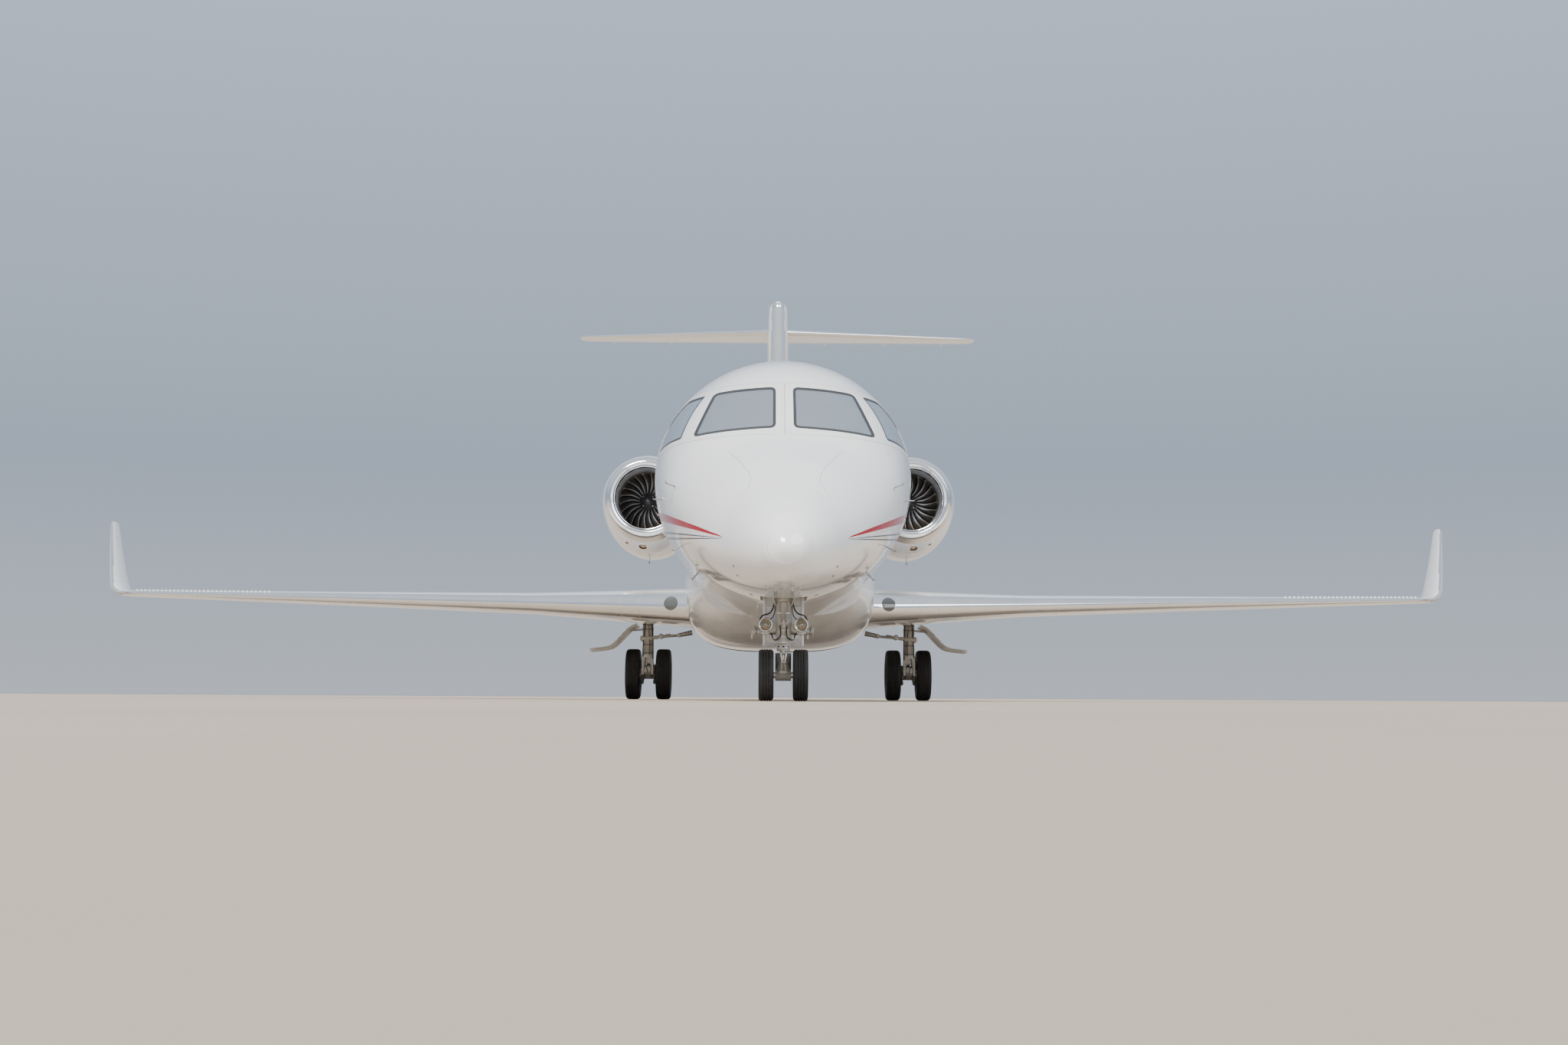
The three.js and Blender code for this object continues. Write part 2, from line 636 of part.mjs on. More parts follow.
// Splits a control surface off along its hinge: a round nose in a hollow, with a pin at each end.
function splitSurface(whole, hinge) {
  const along = new THREE.Vector3().subVectors(hinge.to.at, hinge.from.at);
  const span = along.length();
  const u = along.clone().normalize();
  const aft = new THREE.Vector3(0, 1, 0);
  const v = aft.addScaledVector(u, -aft.dot(u)).normalize();
  const w = new THREE.Vector3().crossVectors(u, v);
  const frame = new THREE.Matrix4().makeBasis(u, v, w).setPosition(hinge.from.at);
  const behind = (margin) => {
    const geometry = new THREE.BoxGeometry(span + 2 * margin, 3000, 900);
    geometry.translate(span / 2, 1500, 0);
    return solid(geometry.applyMatrix4(frame));
  };
  const reach = (distance) => [hinge.from.at.clone().addScaledVector(u, -distance),
    hinge.to.at.clone().addScaledVector(u, distance)];
  const nose = bar(...reach(0), hinge.from.half - 1, hinge.to.half - 1);
  const hollow = bar(...reach(SURFACE_GAP), hinge.from.half + SURFACE_GAP, hinge.to.half + SURFACE_GAP);
  const pin = bar(...reach(SURFACE_PIN_REACH), SURFACE_PIN, SURFACE_PIN, PIN_SIDES);
  const pinHole = holeFor(SURFACE_PIN, PIN_SIDES);
  const hole = bar(...reach(SURFACE_PIN_REACH + SEAT_GAP), pinHole, pinHole, PIN_SIDES);
  const moving = join(whole.intersect(join(behind(0), nose)), pin);
  const fixed = cut(whole, behind(SURFACE_GAP), hollow, hole);
  return { fixed, moving };
}

function makeWing(side) {
  const parts = {};
  let wing = cut(wingLoft(side, WING_TABLE), fairingLoft(SEAT_GAP), bodyOutside);
  const surfaces = {
    flap_inboard: [1330, 2930, 0.76],
    flap_outboard: [3420, 6150, 0.74],
    aileron: [6650, 8700, 0.74],
  };
  for (const [name, [from, to, share]] of Object.entries(surfaces)) {
    const split = splitSurface(wing, spanHinge(side, WING_TABLE, from, to, share, CAMBER));
    wing = split.fixed;
    parts[name] = split.moving;
  }
  const socketRadius = seatFor(MAIN_STRUT_RADIUS, STRUT_SIDES);
  const socket = strut([[700, socketRadius], [mainSocketTop() + SEAT_GAP, socketRadius]],
    side * MAIN_GEAR_X, MAIN_LEG_STATION);
  const pad = JACK_PADS.wing;
  const padBar = bar(point(side * pad.x, pad.station, pad.z),
    point(side * pad.x, pad.station, pad.z + 150), PAD_RADIUS);
  parts.wing = cut(join(wing, padBar), socket);
  return parts;
}

// The height at which the main leg ends inside the wing.
const mainSocketTop = () => {
  const [station, chord, ratio, z] = [1, 2, 3, 4].map((column) => linear(WING_TABLE, column, MAIN_GEAR_X));
  const share = (MAIN_LEG_STATION - station) / chord;
  return z + (CAMBER * 4 * share * (1 - share) - halfThickness(share, ratio)) * chord + MAIN_SOCKET_DEPTH;
};

const makeWinglet = (side) => wingLoft(side, WINGLET_TABLE);

const finSolid = (grow) => loft(FIN_TABLE.map(([z, station, chord, ratio]) => (
  wingSection(chord, ratio, 0, grow).map(([along, height]) => point(height, station + along, z)))));

// The space between the fin's spars, open towards the fuselage.
const finHollow = () => loft([[2800, 13850, 3500, 118], [3400, 14500, 2900, 118], [5350, 16900, 1150, 92]]
  .map(([z, station, length, half]) => [[half, 0.12], [half, 0.75], [0.45 * half, 1], [-0.45 * half, 1],
    [-half, 0.75], [-half, 0.12], [0, 0]].map(([x, share]) => point(x, station + share * length, z))));

// The fairing where the tailplane crosses the fin.
function tailBullet(grow) {
  const [middle, length, half, height] = [18750, 2600, 172 + grow, 240 + grow];
  const geometry = new THREE.SphereGeometry(1, 12, 10);
  geometry.rotateX(Math.PI / 2);
  geometry.scale(half, length / 2 + grow, height);
  geometry.translate(0, at(middle), 6110);
  return solid(geometry);
}

// The tailplane is trimmed nose down, turned about the front of its root.
const TRIM_PIVOT = point(0, 17500, 5925);
const trimmed = (shape) => shape.translate(TRIM_PIVOT.clone().negate().toArray())
  .rotate([TAIL_TRIM, 0, 0]).translate(TRIM_PIVOT.toArray());

function trimmedHinge(hinge) {
  const across = new THREE.Vector3(1, 0, 0);
  const turn = (spot) => spot.clone().sub(TRIM_PIVOT)
    .applyAxisAngle(across, THREE.MathUtils.degToRad(TAIL_TRIM)).add(TRIM_PIVOT);
  return { from: { ...hinge.from, at: turn(hinge.from.at) }, to: { ...hinge.to, at: turn(hinge.to.at) } };
}

const tailSpar = (grow) => trimmed(box(-260 - grow, 260 + grow, 17950 - grow, 18650 + grow,
  5880 - grow, 5965 + grow));

function makeFin() {
  const whole = join(finSolid(0), tailBullet(0));
  const clear = cut(whole, finHollow(), bodyOutside, tailSpar(SEAT_GAP));
  return splitSurface(clear, RUDDER_HINGE);
}

function makeTailplane() {
  const parts = {};
  const halves = [1, -1].map((side) => {
    const bare = cut(trimmed(wingLoft(side, TAIL_TABLE)), tailBullet(SEAT_GAP), finSolid(SEAT_GAP));
    const hinge = trimmedHinge(spanHinge(side, TAIL_TABLE, 480, 3150, 0.69, TAIL_CAMBER));
    const split = splitSurface(bare, hinge);
    parts[side > 0 ? 'elevator_left' : 'elevator_right'] = split.moving;
    return split.fixed;
  });
  parts.tailplane = join(halves[0], halves[1], tailSpar(0));
  return parts;
}

// Engines

function nacelleOutside(side, grow) {
  const sides = NACELLE_SIDES;
  return loft(NACELLE_TABLE.map(([station, radius, deeper]) => Array.from({ length: sides }, (_, i) => {
    const angle = (i / sides) * 2 * Math.PI;
    const rise = Math.sin(angle) > 0 ? radius : radius + deeper;
    return point(side * ENGINE_X + (radius + grow) * Math.cos(angle), station,
      ENGINE_Z + (rise + grow) * Math.sin(angle));
  })));
}

const grownRows = (rows, grow) => rows.map(([station, radius]) => [station, radius + grow]);

const makeNacelle = (side) => cut(nacelleOutside(side, 0),
  turned(DUCT_TABLE, side * ENGINE_X, ENGINE_Z, NACELLE_SIDES));

function makePylon(side) {
  const rows = [[500, 13050, 2500, 0.09, 2560], [1800, 13150, 2300, 0.09, 2700]];
  return cut(loft(rows.map((row) => spanRing(side, row, 0))), bodyOutside, nacelleOutside(side, SEAT_GAP));
}

function makeCore(side) {
  const struts = [0, 1, 2, 3].map((k) => {
    const geometry = new THREE.BoxGeometry(560, 300, 30);
    geometry.translate(400, 0, 0);
    geometry.rotateY(((k + 0.5) * Math.PI) / 2);
    geometry.translate(side * ENGINE_X, at(13750), ENGINE_Z);
    return solid(geometry);
  });
  const duct = turned(grownRows(DUCT_TABLE, -SEAT_GAP), side * ENGINE_X, ENGINE_Z, NACELLE_SIDES);
  const body = turned(CORE_TABLE, side * ENGINE_X, ENGINE_Z);
  const radius = holeFor(FAN_SHAFT);
  const bore = bar(point(side * ENGINE_X, 13000, ENGINE_Z), point(side * ENGINE_X, 13225, ENGINE_Z),
    radius, radius, SHAFT_SIDES);
  return cut(join(body, ...struts.map((strut) => strut.intersect(duct))), bore);
}

// A fan blade, twisted from its root to its tip.
function fanBlade(side, index) {
  // Columns: radius, chord, thickness, angle from the aircraft's axis in degrees
  const rows = [[HUB_RADIUS - 25, 105, 12, 25], [FAN_TIP, 130, 6, 60]];
  const turn = new THREE.Matrix4().makeRotationY((index / FAN_BLADES) * 2 * Math.PI);
  return loft(rows.map(([radius, chord, thick, degrees]) => {
    const lean = THREE.MathUtils.degToRad(degrees);
    const corners = [[-1, -1], [1, -1], [1, 1], [-1, 1]];
    return corners.map(([along, across]) => {
      const [c, t] = [(along * chord) / 2, (across * thick) / 2];
      const sideways = c * Math.sin(lean) + t * Math.cos(lean);
      const lengthways = c * Math.cos(lean) - t * Math.sin(lean);
      const p = new THREE.Vector3(sideways, lengthways, radius);
      return p.applyMatrix4(turn).add(point(side * ENGINE_X, FAN_STATION, ENGINE_Z));
    });
  }));
}

function makeFan(side) {
  const hub = turned([[12660, 12], [12700, 55], [12810, HUB_RADIUS], [13000, HUB_RADIUS]],
    side * ENGINE_X, ENGINE_Z, FAN_BLADES / 2);
  const shaft = bar(point(side * ENGINE_X, 12950, ENGINE_Z), point(side * ENGINE_X, 13220, ENGINE_Z),
    FAN_SHAFT, FAN_SHAFT, SHAFT_SIDES);
  const blades = Array.from({ length: FAN_BLADES }, (_, i) => fanBlade(side, i));
  return join(hub, shaft, ...blades);
}

// Landing gear

// A tyre: its profile turned about an axle that lies across the aircraft.
function makeTyre(x, station, z, radius, width) {
  // Columns: share of the radius, share of half the width
  const rows = [[0.56, -0.72], [0.82, -1], [1, -0.5], [1, 0.5], [0.82, 1], [0.56, 0.72], [0.56, -0.72]];
  const profile = rows.map(([r, h]) => new THREE.Vector2(r * radius, (h * width) / 2));
  const geometry = new THREE.LatheGeometry(profile, WHEEL_SIDES);
  geometry.rotateZ(Math.PI / 2);
  geometry.translate(x, at(station), z);
  return solid(geometry);
}

// Two wheel hubs and the axle that joins them.
function makeHubs(x, station, z, spacing, tyreRadius, width, axle) {
  const rim = tyreRadius * 0.56 - SEAT_GAP / Math.cos(Math.PI / WHEEL_SIDES);
  const pieces = [bar(point(x - spacing - 20, station, z), point(x + spacing + 20, station, z),
    axle, axle, SHAFT_SIDES)];
  for (const side of [1, -1]) {
    const middle = x + side * spacing;
    const disc = (from, to, radius) => bar(point(middle + from, station, z), point(middle + to, station, z),
      radius, radius, WHEEL_SIDES);
    const drum = disc(-width * 0.34, width * 0.34, rim);
    const dish = disc(side * width * 0.12, side * width * 0.4, rim * 0.78);
    pieces.push(cut(drum, dish));
  }
  return join(...pieces);
}

const noseAxis = (z) => point(0, NOSE_GEAR_STATION, z);

function makeNoseLeg() {
  const s = NOSE_GEAR_STATION;
  const bay = NOSE_BAY;
  const reach = bay.x - SEAT_GAP;
  const body = join(
    bar(point(-reach, s, NOSE_TRUNNION_Z), point(reach, s, NOSE_TRUNNION_Z), 34),
    strut([[425, 58], [480, 58], [490, 66], [700, 74], [1100, 62]], 0, s),
    // steering motors across the leg, with the lamp brackets on them
    bar(point(-258, s + 40, 596), point(258, s + 40, 596), 30),
    bar(point(-272, s + 40, 596), point(-245, s + 40, 596), 42),
    bar(point(245, s + 40, 596), point(272, s + 40, 596), 42),
    box(-190, -125, s - 70, s + 50, 566, LAMP_SHELF),
    box(125, 190, s - 70, s + 50, 566, LAMP_SHELF),
    // drag brace, up and forward to the front of the bay
    bar(point(0, s - 50, 660), point(0, bay.front + 22, 1120), 20),
    bar(point(-reach, bay.front + 40, 1120), point(reach, bay.front + 40, 1120), 22),
  );
  const collar = holeFor(PISTON_RADIUS);
  return cut(body, bar(noseAxis(400), noseAxis(640), collar, collar, SHAFT_SIDES));
}

function makeLamp(side) {
  const [x, z] = [side * 153, 643];
  const front = NOSE_GEAR_STATION - 88;
  const lamp = join(bar(point(x, front, z), point(x, front + 60, z), 62, 52),
    bar(point(x, front + 55, z), point(x, front + 90, z), 52, 28));
  return cut(lamp, box(x - 100, x + 100, front - 50, front + 150, 500, LAMP_SHELF + SEAT_GAP));
}

function makeNoseDoor() {
  const s = NOSE_GEAR_STATION;
  return join(box(-178, 178, s + 150, s + 172, 470, 900), box(-50, 50, s + 74, s + 155, 640, 720));
}

// The piston, its fork, the torque links and the spray guard: all that steers with the wheels.
function makeNoseFork() {
  const s = NOSE_GEAR_STATION;
  const plate = STEER_RANGE_PLATE;
  const bore = holeFor(28);
  const body = join(
    bar(noseAxis(620), noseAxis(300), PISTON_RADIUS, PISTON_RADIUS, SHAFT_SIDES),
    bar(noseAxis(330), noseAxis(222), 44, 62),
    bar(point(-68, s, 222), point(68, s, 222), 50),
    box(-plate, plate, s + 95, s + 107, 178, 415),
    box(-40, 40, s + 30, s + 98, 200, 250),
    box(-26, 26, s - 92, s - 40, 225, 262),
    bar(point(0, s - 86, 240), point(0, s - 76, 400), 16),
  );
  return cut(body, bar(point(-200, s, 222), point(200, s, 222), bore, bore, SHAFT_SIDES));
}

// The main strut, upright. Columns: height, radius
const mainStrutRows = () => [[520, 74], [565, 74], [575, 63], [820, 66], [835, MAIN_STRUT_RADIUS],
  [mainSocketTop(), MAIN_STRUT_RADIUS]];

function makeMainLeg(side) {
  const x = side * MAIN_GEAR_X;
  const s = MAIN_LEG_STATION;
  return join(
    strut(mainStrutRows(), x, s),
    // clevis for the trailing arm
    cut(box(x - 74, x + 74, s - 70, s + 60, 310, 535), box(x - 45, x + 45, s - 90, s + 90, 290, 450)),
    bar(point(x - 80, s - 5, ARM_PIN_Z), point(x + 80, s - 5, ARM_PIN_Z), ARM_PIN),
    // side brace to the wheel well
    bar(point(x + side * 90, s - 40, 760), point(x - side * 60, s - 40, 772), 38),
    bar(point(x, s - 40, 770), point(side * 1250, s - 40, 806), 20),
    bar(point(side * 1250, s - 40, 808), point(side * 1085, s - 40, 845), 30, 36),
    // shock strut behind the leg
    bar(point(x, s + 20, 790), point(x, s + 95, 640), 34),
    bar(point(x, s + 90, 652), point(x, s + 150, 520), 24),
    bar(point(x - 30, s + 150, 515), point(x + 30, s + 150, 515), 26),
  );
}

// The trailing arm, from its pin in the clevis back to the axle.
function makeTrailingArm(side) {
  const x = side * MAIN_GEAR_X;
  const s = MAIN_LEG_STATION;
  const bore = holeFor(AXLE_RADIUS);
  const width = 42;
  const arm = prismAcross([[s - 60, 335], [s - 60, 415], [s + 60, 440], [MAIN_GEAR_STATION - 30, 400],
    [MAIN_GEAR_STATION + 62, 380], [MAIN_GEAR_STATION + 62, 262], [MAIN_GEAR_STATION - 50, 258], [s, 300]],
  20, x - width, x + width);
  const boss = bar(point(x - 70, MAIN_GEAR_STATION, MAIN_TYRE_RADIUS), point(x + 70, MAIN_GEAR_STATION,
    MAIN_TYRE_RADIUS), 62);
  const upright = box(x - 24, x + 24, s + 128, s + 172, 395, 489 - SEAT_GAP);
  const pinHole = seatFor(ARM_PIN, SLIM_ROUND);
  return cut(join(arm, boss, upright), bar(point(x - 300, MAIN_GEAR_STATION, MAIN_TYRE_RADIUS),
    point(x + 300, MAIN_GEAR_STATION, MAIN_TYRE_RADIUS), bore, bore, SHAFT_SIDES),
  bar(point(x - 100, s - 5, ARM_PIN_Z), point(x + 100, s - 5, ARM_PIN_Z), pinHole, pinHole, SLIM_ROUND));
}

// The door of a main leg: a curved panel, seen edge-on from ahead.
function makeMainDoor(side) {
  const outline = [[1768, 935], [1860, 890], [1960, 790], [2060, 690], [2150, 645], [2360, 618]];
  const thick = 42;
  const rings = outline.map(([x, z], i) => {
    const [a, b] = [outline[Math.max(i - 1, 0)], outline[Math.min(i + 1, outline.length - 1)]];
    const run = new THREE.Vector2(b[0] - a[0], b[1] - a[1]).normalize();
    const [dx, dz] = [(-run.y * thick) / 2, (run.x * thick) / 2];
    const [front, rear] = [MAIN_LEG_STATION - 230, MAIN_LEG_STATION + 270];
    return [point(side * (x + dx), front, z + dz), point(side * (x + dx), rear, z + dz),
      point(side * (x - dx), rear, z - dz), point(side * (x - dx), front, z - dz)];
  });
  const links = [-60, 60].map((offset) => bar(
    point(side * (MAIN_GEAR_X + 50), MAIN_LEG_STATION + offset * 0.4, 880),
    point(side * 1880, MAIN_LEG_STATION + offset, 862), 13));
  const leg = mainStrutRows().map(([z, radius]) => [z, seatFor(radius, STRUT_SIDES)]);
  const legSeat = strut(leg, side * MAIN_GEAR_X, MAIN_LEG_STATION);
  return cut(join(loft(rings), ...links), legSeat, makeWingSkin(side));
}

// The wing's outside, a little grown, for what is seated against it.
function makeWingSkin(side) {
  const rows = WING_TABLE.map(([x, station, chord, ratio, z]) => [x, station, chord, ratio + 0.0004, z]);
  return loft(rows.map((row) => spanRing(side, row, CAMBER)));
}

// The assembly

const aircraft = new THREE.Group();

function add(name, shape, material) {
  const { vertProperties, triVerts } = shape.getMesh();
  const geometry = new THREE.BufferGeometry();
  geometry.setAttribute('position', new THREE.BufferAttribute(new Float32Array(vertProperties), 3));
  geometry.setIndex(new THREE.BufferAttribute(new Uint32Array(triVerts), 1));
  const mesh = new THREE.Mesh(geometry, MATERIALS[material]);
  mesh.name = name;
  aircraft.add(mesh);
}

add('radome', bodyLoft(0, RADOME_END), 'white');
add('forward_fuselage', makeForwardFuselage(), 'white');
add('cabin_fuselage', makeCabin(), 'white');
add('aft_fuselage', makeAftFuselage(), 'white');
add('belly_fairing', makeBellyFairing(), 'white');
add('entry_door', makeEntryDoor(), 'white');
add('cabin_floor', makeFloor(), 'cabin');
add('instrument_panel', makeInstrumentPanel(), 'panel');
add('pilot_seat_left', pilotSeat(1), 'cabin');

const fin = makeFin();
add('fin', fin.fixed, 'white');
add('rudder', fin.moving, 'white');
for (const [name, shape] of Object.entries(makeTailplane())) add(name, shape, 'white');

const noseWheel = [0, NOSE_GEAR_STATION, NOSE_TYRE_RADIUS];
add('nose_leg', makeNoseLeg(), 'gear');
add('nose_gear_door', makeNoseDoor(), 'white');
add('nose_fork', makeNoseFork(), 'gear');
add('nose_wheel_hubs', makeHubs(...noseWheel, NOSE_TYRE_X, NOSE_TYRE_RADIUS, NOSE_TYRE_WIDTH, 28), 'gear');

for (const [side, word] of [[1, 'left'], [-1, 'right']]) {
  add(`windscreen_${word}`, pane(frontPane(side, -SEAT_GAP)), 'glass');
  add(`side_window_${word}`, pane(sidePane(side, -SEAT_GAP)), 'glass');
  add(`cabin_windows_${word}`, makeCabinPanes(side), 'glass');
  add(`furnishings_${word}`, makeFurnishings(side), 'cabin');
  for (const [name, shape] of Object.entries(makeWing(side))) add(`${name}_${word}`, shape, 'white');
  add(`winglet_${word}`, makeWinglet(side), 'white');
  add(`nacelle_${word}`, makeNacelle(side), 'white');
  add(`pylon_${word}`, makePylon(side), 'white');
  add(`engine_core_${word}`, makeCore(side), 'core');
  add(`fan_${word}`, makeFan(side), 'fan');
  const noseTyre = makeTyre(side * NOSE_TYRE_X, NOSE_GEAR_STATION, NOSE_TYRE_RADIUS, NOSE_TYRE_RADIUS,
    NOSE_TYRE_WIDTH);
  add(`nose_tyre_${word}`, noseTyre, 'tyre');
  add(`gear_lamp_${word}`, makeLamp(side), 'polished');
  const wheel = [side * MAIN_GEAR_X, MAIN_GEAR_STATION, MAIN_TYRE_RADIUS];
  add(`main_leg_${word}`, makeMainLeg(side), 'gear');
  add(`trailing_arm_${word}`, makeTrailingArm(side), 'gear');
  add(`main_gear_door_${word}`, makeMainDoor(side), 'white');
  const hubs = makeHubs(...wheel, MAIN_TYRE_X, MAIN_TYRE_RADIUS, MAIN_TYRE_WIDTH, AXLE_RADIUS);
  add(`main_wheel_hubs_${word}`, hubs, 'gear');
  for (const [place, offset] of [['outer', side * MAIN_TYRE_X], ['inner', -side * MAIN_TYRE_X]]) {
    add(`main_tyre_${word}_${place}`, makeTyre(wheel[0] + offset, wheel[1], wheel[2], MAIN_TYRE_RADIUS,
      MAIN_TYRE_WIDTH), 'tyre');
  }
}

export default aircraft;
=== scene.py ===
# %% [markdown]
# # A business jet, dressed around its CAD frame
# The CAD model gives every solid its place and its joints. This script builds the surfaces that are seen:
# smooth skins, glass, tyres, fans and landing gear, each riding on the CAD body that it belongs to.
# Lengths are in metres. The nose points along -Y, the left wing along +X, and a "station" is the distance
# behind the nose tip, as aircraft drawings have it.

# %% The CAD frame
import math

import bpy
import numpy as np
from mathutils import Matrix, Vector
from mathutils.bvhtree import BVHTree


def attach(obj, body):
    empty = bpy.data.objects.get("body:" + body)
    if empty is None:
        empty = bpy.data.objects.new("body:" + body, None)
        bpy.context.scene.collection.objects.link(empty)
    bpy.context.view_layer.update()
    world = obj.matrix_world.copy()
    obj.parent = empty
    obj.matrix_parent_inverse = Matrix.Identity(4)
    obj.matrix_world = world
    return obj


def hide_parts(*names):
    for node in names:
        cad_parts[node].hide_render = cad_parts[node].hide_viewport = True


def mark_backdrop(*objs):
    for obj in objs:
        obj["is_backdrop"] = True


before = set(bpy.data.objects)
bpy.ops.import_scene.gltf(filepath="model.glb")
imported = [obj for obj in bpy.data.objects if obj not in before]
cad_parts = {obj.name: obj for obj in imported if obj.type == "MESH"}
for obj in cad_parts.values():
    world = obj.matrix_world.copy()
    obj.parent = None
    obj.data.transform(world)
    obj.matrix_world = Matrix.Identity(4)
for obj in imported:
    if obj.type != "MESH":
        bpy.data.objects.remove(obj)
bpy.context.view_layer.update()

LENGTH = 20.3
SIDES = ((1, "left"), (-1, "right"))


def at(station):
    return station - LENGTH / 2


def spot(x, station, z):
    return Vector((x, at(station), z))


# %% [markdown]
# ## Small hands
# In Blender an operator acts on what is selected, so the first helpers pick one object, and settle its
# place into its mesh. The others are the few moves that all the pieces share: a skin wrapped round rings,
# an outline pulled into a prism, a tube along a line, a cut with another shape, and the joining of several
# into one.

# %% Picking and settling
MERGE = 1e-5                        # points closer than this are one
BEVEL_STEPS, BEVEL_ANGLE = 2, 35    # faces across a rim, and degrees from which an edge is one
TUBE_ROUND, TUBE_STEPS = 3, 6       # how finely a tube is divided round and along
REACH, AGREE = 0.004, 0.8           # how far a point may be off the uncut skin, and how alike the normals are


def pick(*objects):
    if bpy.context.object and bpy.context.object.mode != "OBJECT":
        bpy.ops.object.mode_set(mode="OBJECT")
    bpy.ops.object.select_all(action="DESELECT")
    for one in objects:
        one.select_set(True)
    bpy.context.view_layer.objects.active = objects[0]
    return objects[0]


def settle(piece):
    pick(piece)
    bpy.ops.object.transform_apply(location=True, rotation=True, scale=True)
    return piece


def mend(piece):
    """Merges doubles, closes holes and turns all faces outwards."""
    pick(piece)
    bpy.ops.object.mode_set(mode="EDIT")
    bpy.ops.mesh.select_all(action="SELECT")
    bpy.ops.mesh.remove_doubles(threshold=MERGE)
    bpy.ops.mesh.fill_holes(sides=0)
    bpy.ops.mesh.normals_make_consistent(inside=False)
    bpy.ops.object.mode_set(mode="OBJECT")
    return piece


# %% Wrapping a grid round rings
def wrap(name, rings, looped=False):
    """A grid whose rows are laid on closed rings, each with as many points. Looped joins its ends as well."""
    around, along = len(rings[0]), len(rings)
    rows = along if looped else along - 1
    if bpy.context.object:
        pick(bpy.context.object)
    bpy.ops.mesh.primitive_grid_add(x_subdivisions=around, y_subdivisions=rows, size=2)
    piece = bpy.context.object
    piece.name = name
    flat = np.zeros(len(piece.data.vertices) * 3)
    piece.data.vertices.foreach_get("co", flat)
    flat = flat.reshape(-1, 3)
    u = np.rint((flat[:, 0] + 1) / 2 * around).astype(int) % around
    v = np.rint((flat[:, 1] + 1) / 2 * rows).astype(int) % along
    piece.data.vertices.foreach_set("co", np.array(rings, float)[v, u].ravel())
    return mend(piece)


def turned(name, profile, origin, axis, sides=48, looped=False):
    """A skin of revolution. Profile rows: distance along the axis, radius."""
    axis = Vector(axis).normalized()
    side = axis.orthogonal().normalized()
    other = axis.cross(side)
    origin = Vector(origin)
    angles = [2 * math.pi * i / sides for i in range(sides)]
    rings = [[origin + axis * along + (side * math.cos(a) + other * math.sin(a)) * radius for a in angles]
             for along, radius in profile]
    return wrap(name, rings, looped)


# %% Bars, boxes, prisms and tubes
def bar(name, start, end, radius, end_radius=None, sides=24, edge=0.0):
    """A round bar between two points, its rims bevelled when an edge is given."""
    start, end = Vector(start), Vector(end)
    along = end - start
    pick(bpy.context.object)
    bpy.ops.mesh.primitive_cone_add(vertices=sides, radius1=radius, radius2=end_radius or radius,
                                    depth=along.length, location=(start + end) / 2,
                                    rotation=along.to_track_quat("Z", "Y").to_euler())
    piece = bpy.context.object
    piece.name = name
    settle(piece)
    return bevel(piece, edge) if edge else piece


def bevel(piece, width):
    pick(piece)
    modifier = piece.modifiers.new("rim", "BEVEL")
    modifier.width, modifier.segments = width, BEVEL_STEPS
    modifier.angle_limit = math.radians(BEVEL_ANGLE)
    bpy.ops.object.modifier_apply(modifier=modifier.name)
    return piece


def block(name, low, high, edge=0.0):
    """A box between two corners, its edges bevelled when an edge is given."""
    low, high = Vector(low), Vector(high)
    pick(bpy.context.object)
    bpy.ops.mesh.primitive_cube_add(size=1, location=(low + high) / 2)
    piece = bpy.context.object
    piece.name = name
    piece.scale = high - low
    settle(piece)
    return bevel(piece, edge) if edge else piece


def rounded(corners, radius, steps=6):
    """An outline with its corners rounded, as in the CAD: a curve from one edge to the next."""
    if radius == 0:
        return [tuple(corner) for corner in corners]
    points = []
    for i, corner in enumerate(corners):
        here, before = Vector(corner), Vector(corners[i - 1])
        after = Vector(corners[(i + 1) % len(corners)])
        enter = here + (before - here).normalized() * radius
        leave = here + (after - here).normalized() * radius
        for k in range(steps + 1):
            t = k / steps
            points.append(tuple(enter * (1 - t) ** 2 + here * 2 * t * (1 - t) + leave * t ** 2))
    return points


def grown(corners, grow):
    """An outline whose every edge is moved outwards by the same distance."""
    points = [Vector(corner) for corner in corners]
    area = sum(a.x * b.y - b.x * a.y for a, b in zip(points, points[1:] + points[:1]))
    turn = 1 if area > 0 else -1
    moved = []
    for i, here in enumerate(points):
        first, second = here - points[i - 1], points[(i + 1) % len(points)] - here
        first = Vector((first.y, -first.x)).normalized() * turn
        second = Vector((second.y, -second.x)).normalized() * turn
        both = first + second
        moved.append(tuple(here + both * (2 * grow / both.length_squared)))
    return moved


PLANES = {"x": (1, 2, 0), "y": (0, 2, 1), "z": (0, 1, 2)}


def prism(name, outline, axis, start, end):
    """An outline pulled along an axis. Its points are the other two coordinates, in order."""
    first, second, along = PLANES[axis]
    pick(bpy.context.object)
    bpy.ops.mesh.primitive_circle_add(vertices=len(outline), radius=1, fill_type="NGON")
    piece = bpy.context.object
    piece.name = name
    for vertex, point in zip(piece.data.vertices, outline):
        vertex.co[first], vertex.co[second], vertex.co[along] = point[0], point[1], start
    pull = [0, 0, 0]
    pull[along] = end - start
    bpy.ops.object.mode_set(mode="EDIT")
    bpy.ops.mesh.select_all(action="SELECT")
    bpy.ops.mesh.extrude_region_move(TRANSFORM_OT_translate={"value": pull})
    bpy.ops.mesh.select_all(action="SELECT")
    bpy.ops.mesh.normals_make_consistent(inside=False)
    bpy.ops.object.mode_set(mode="OBJECT")
    return piece


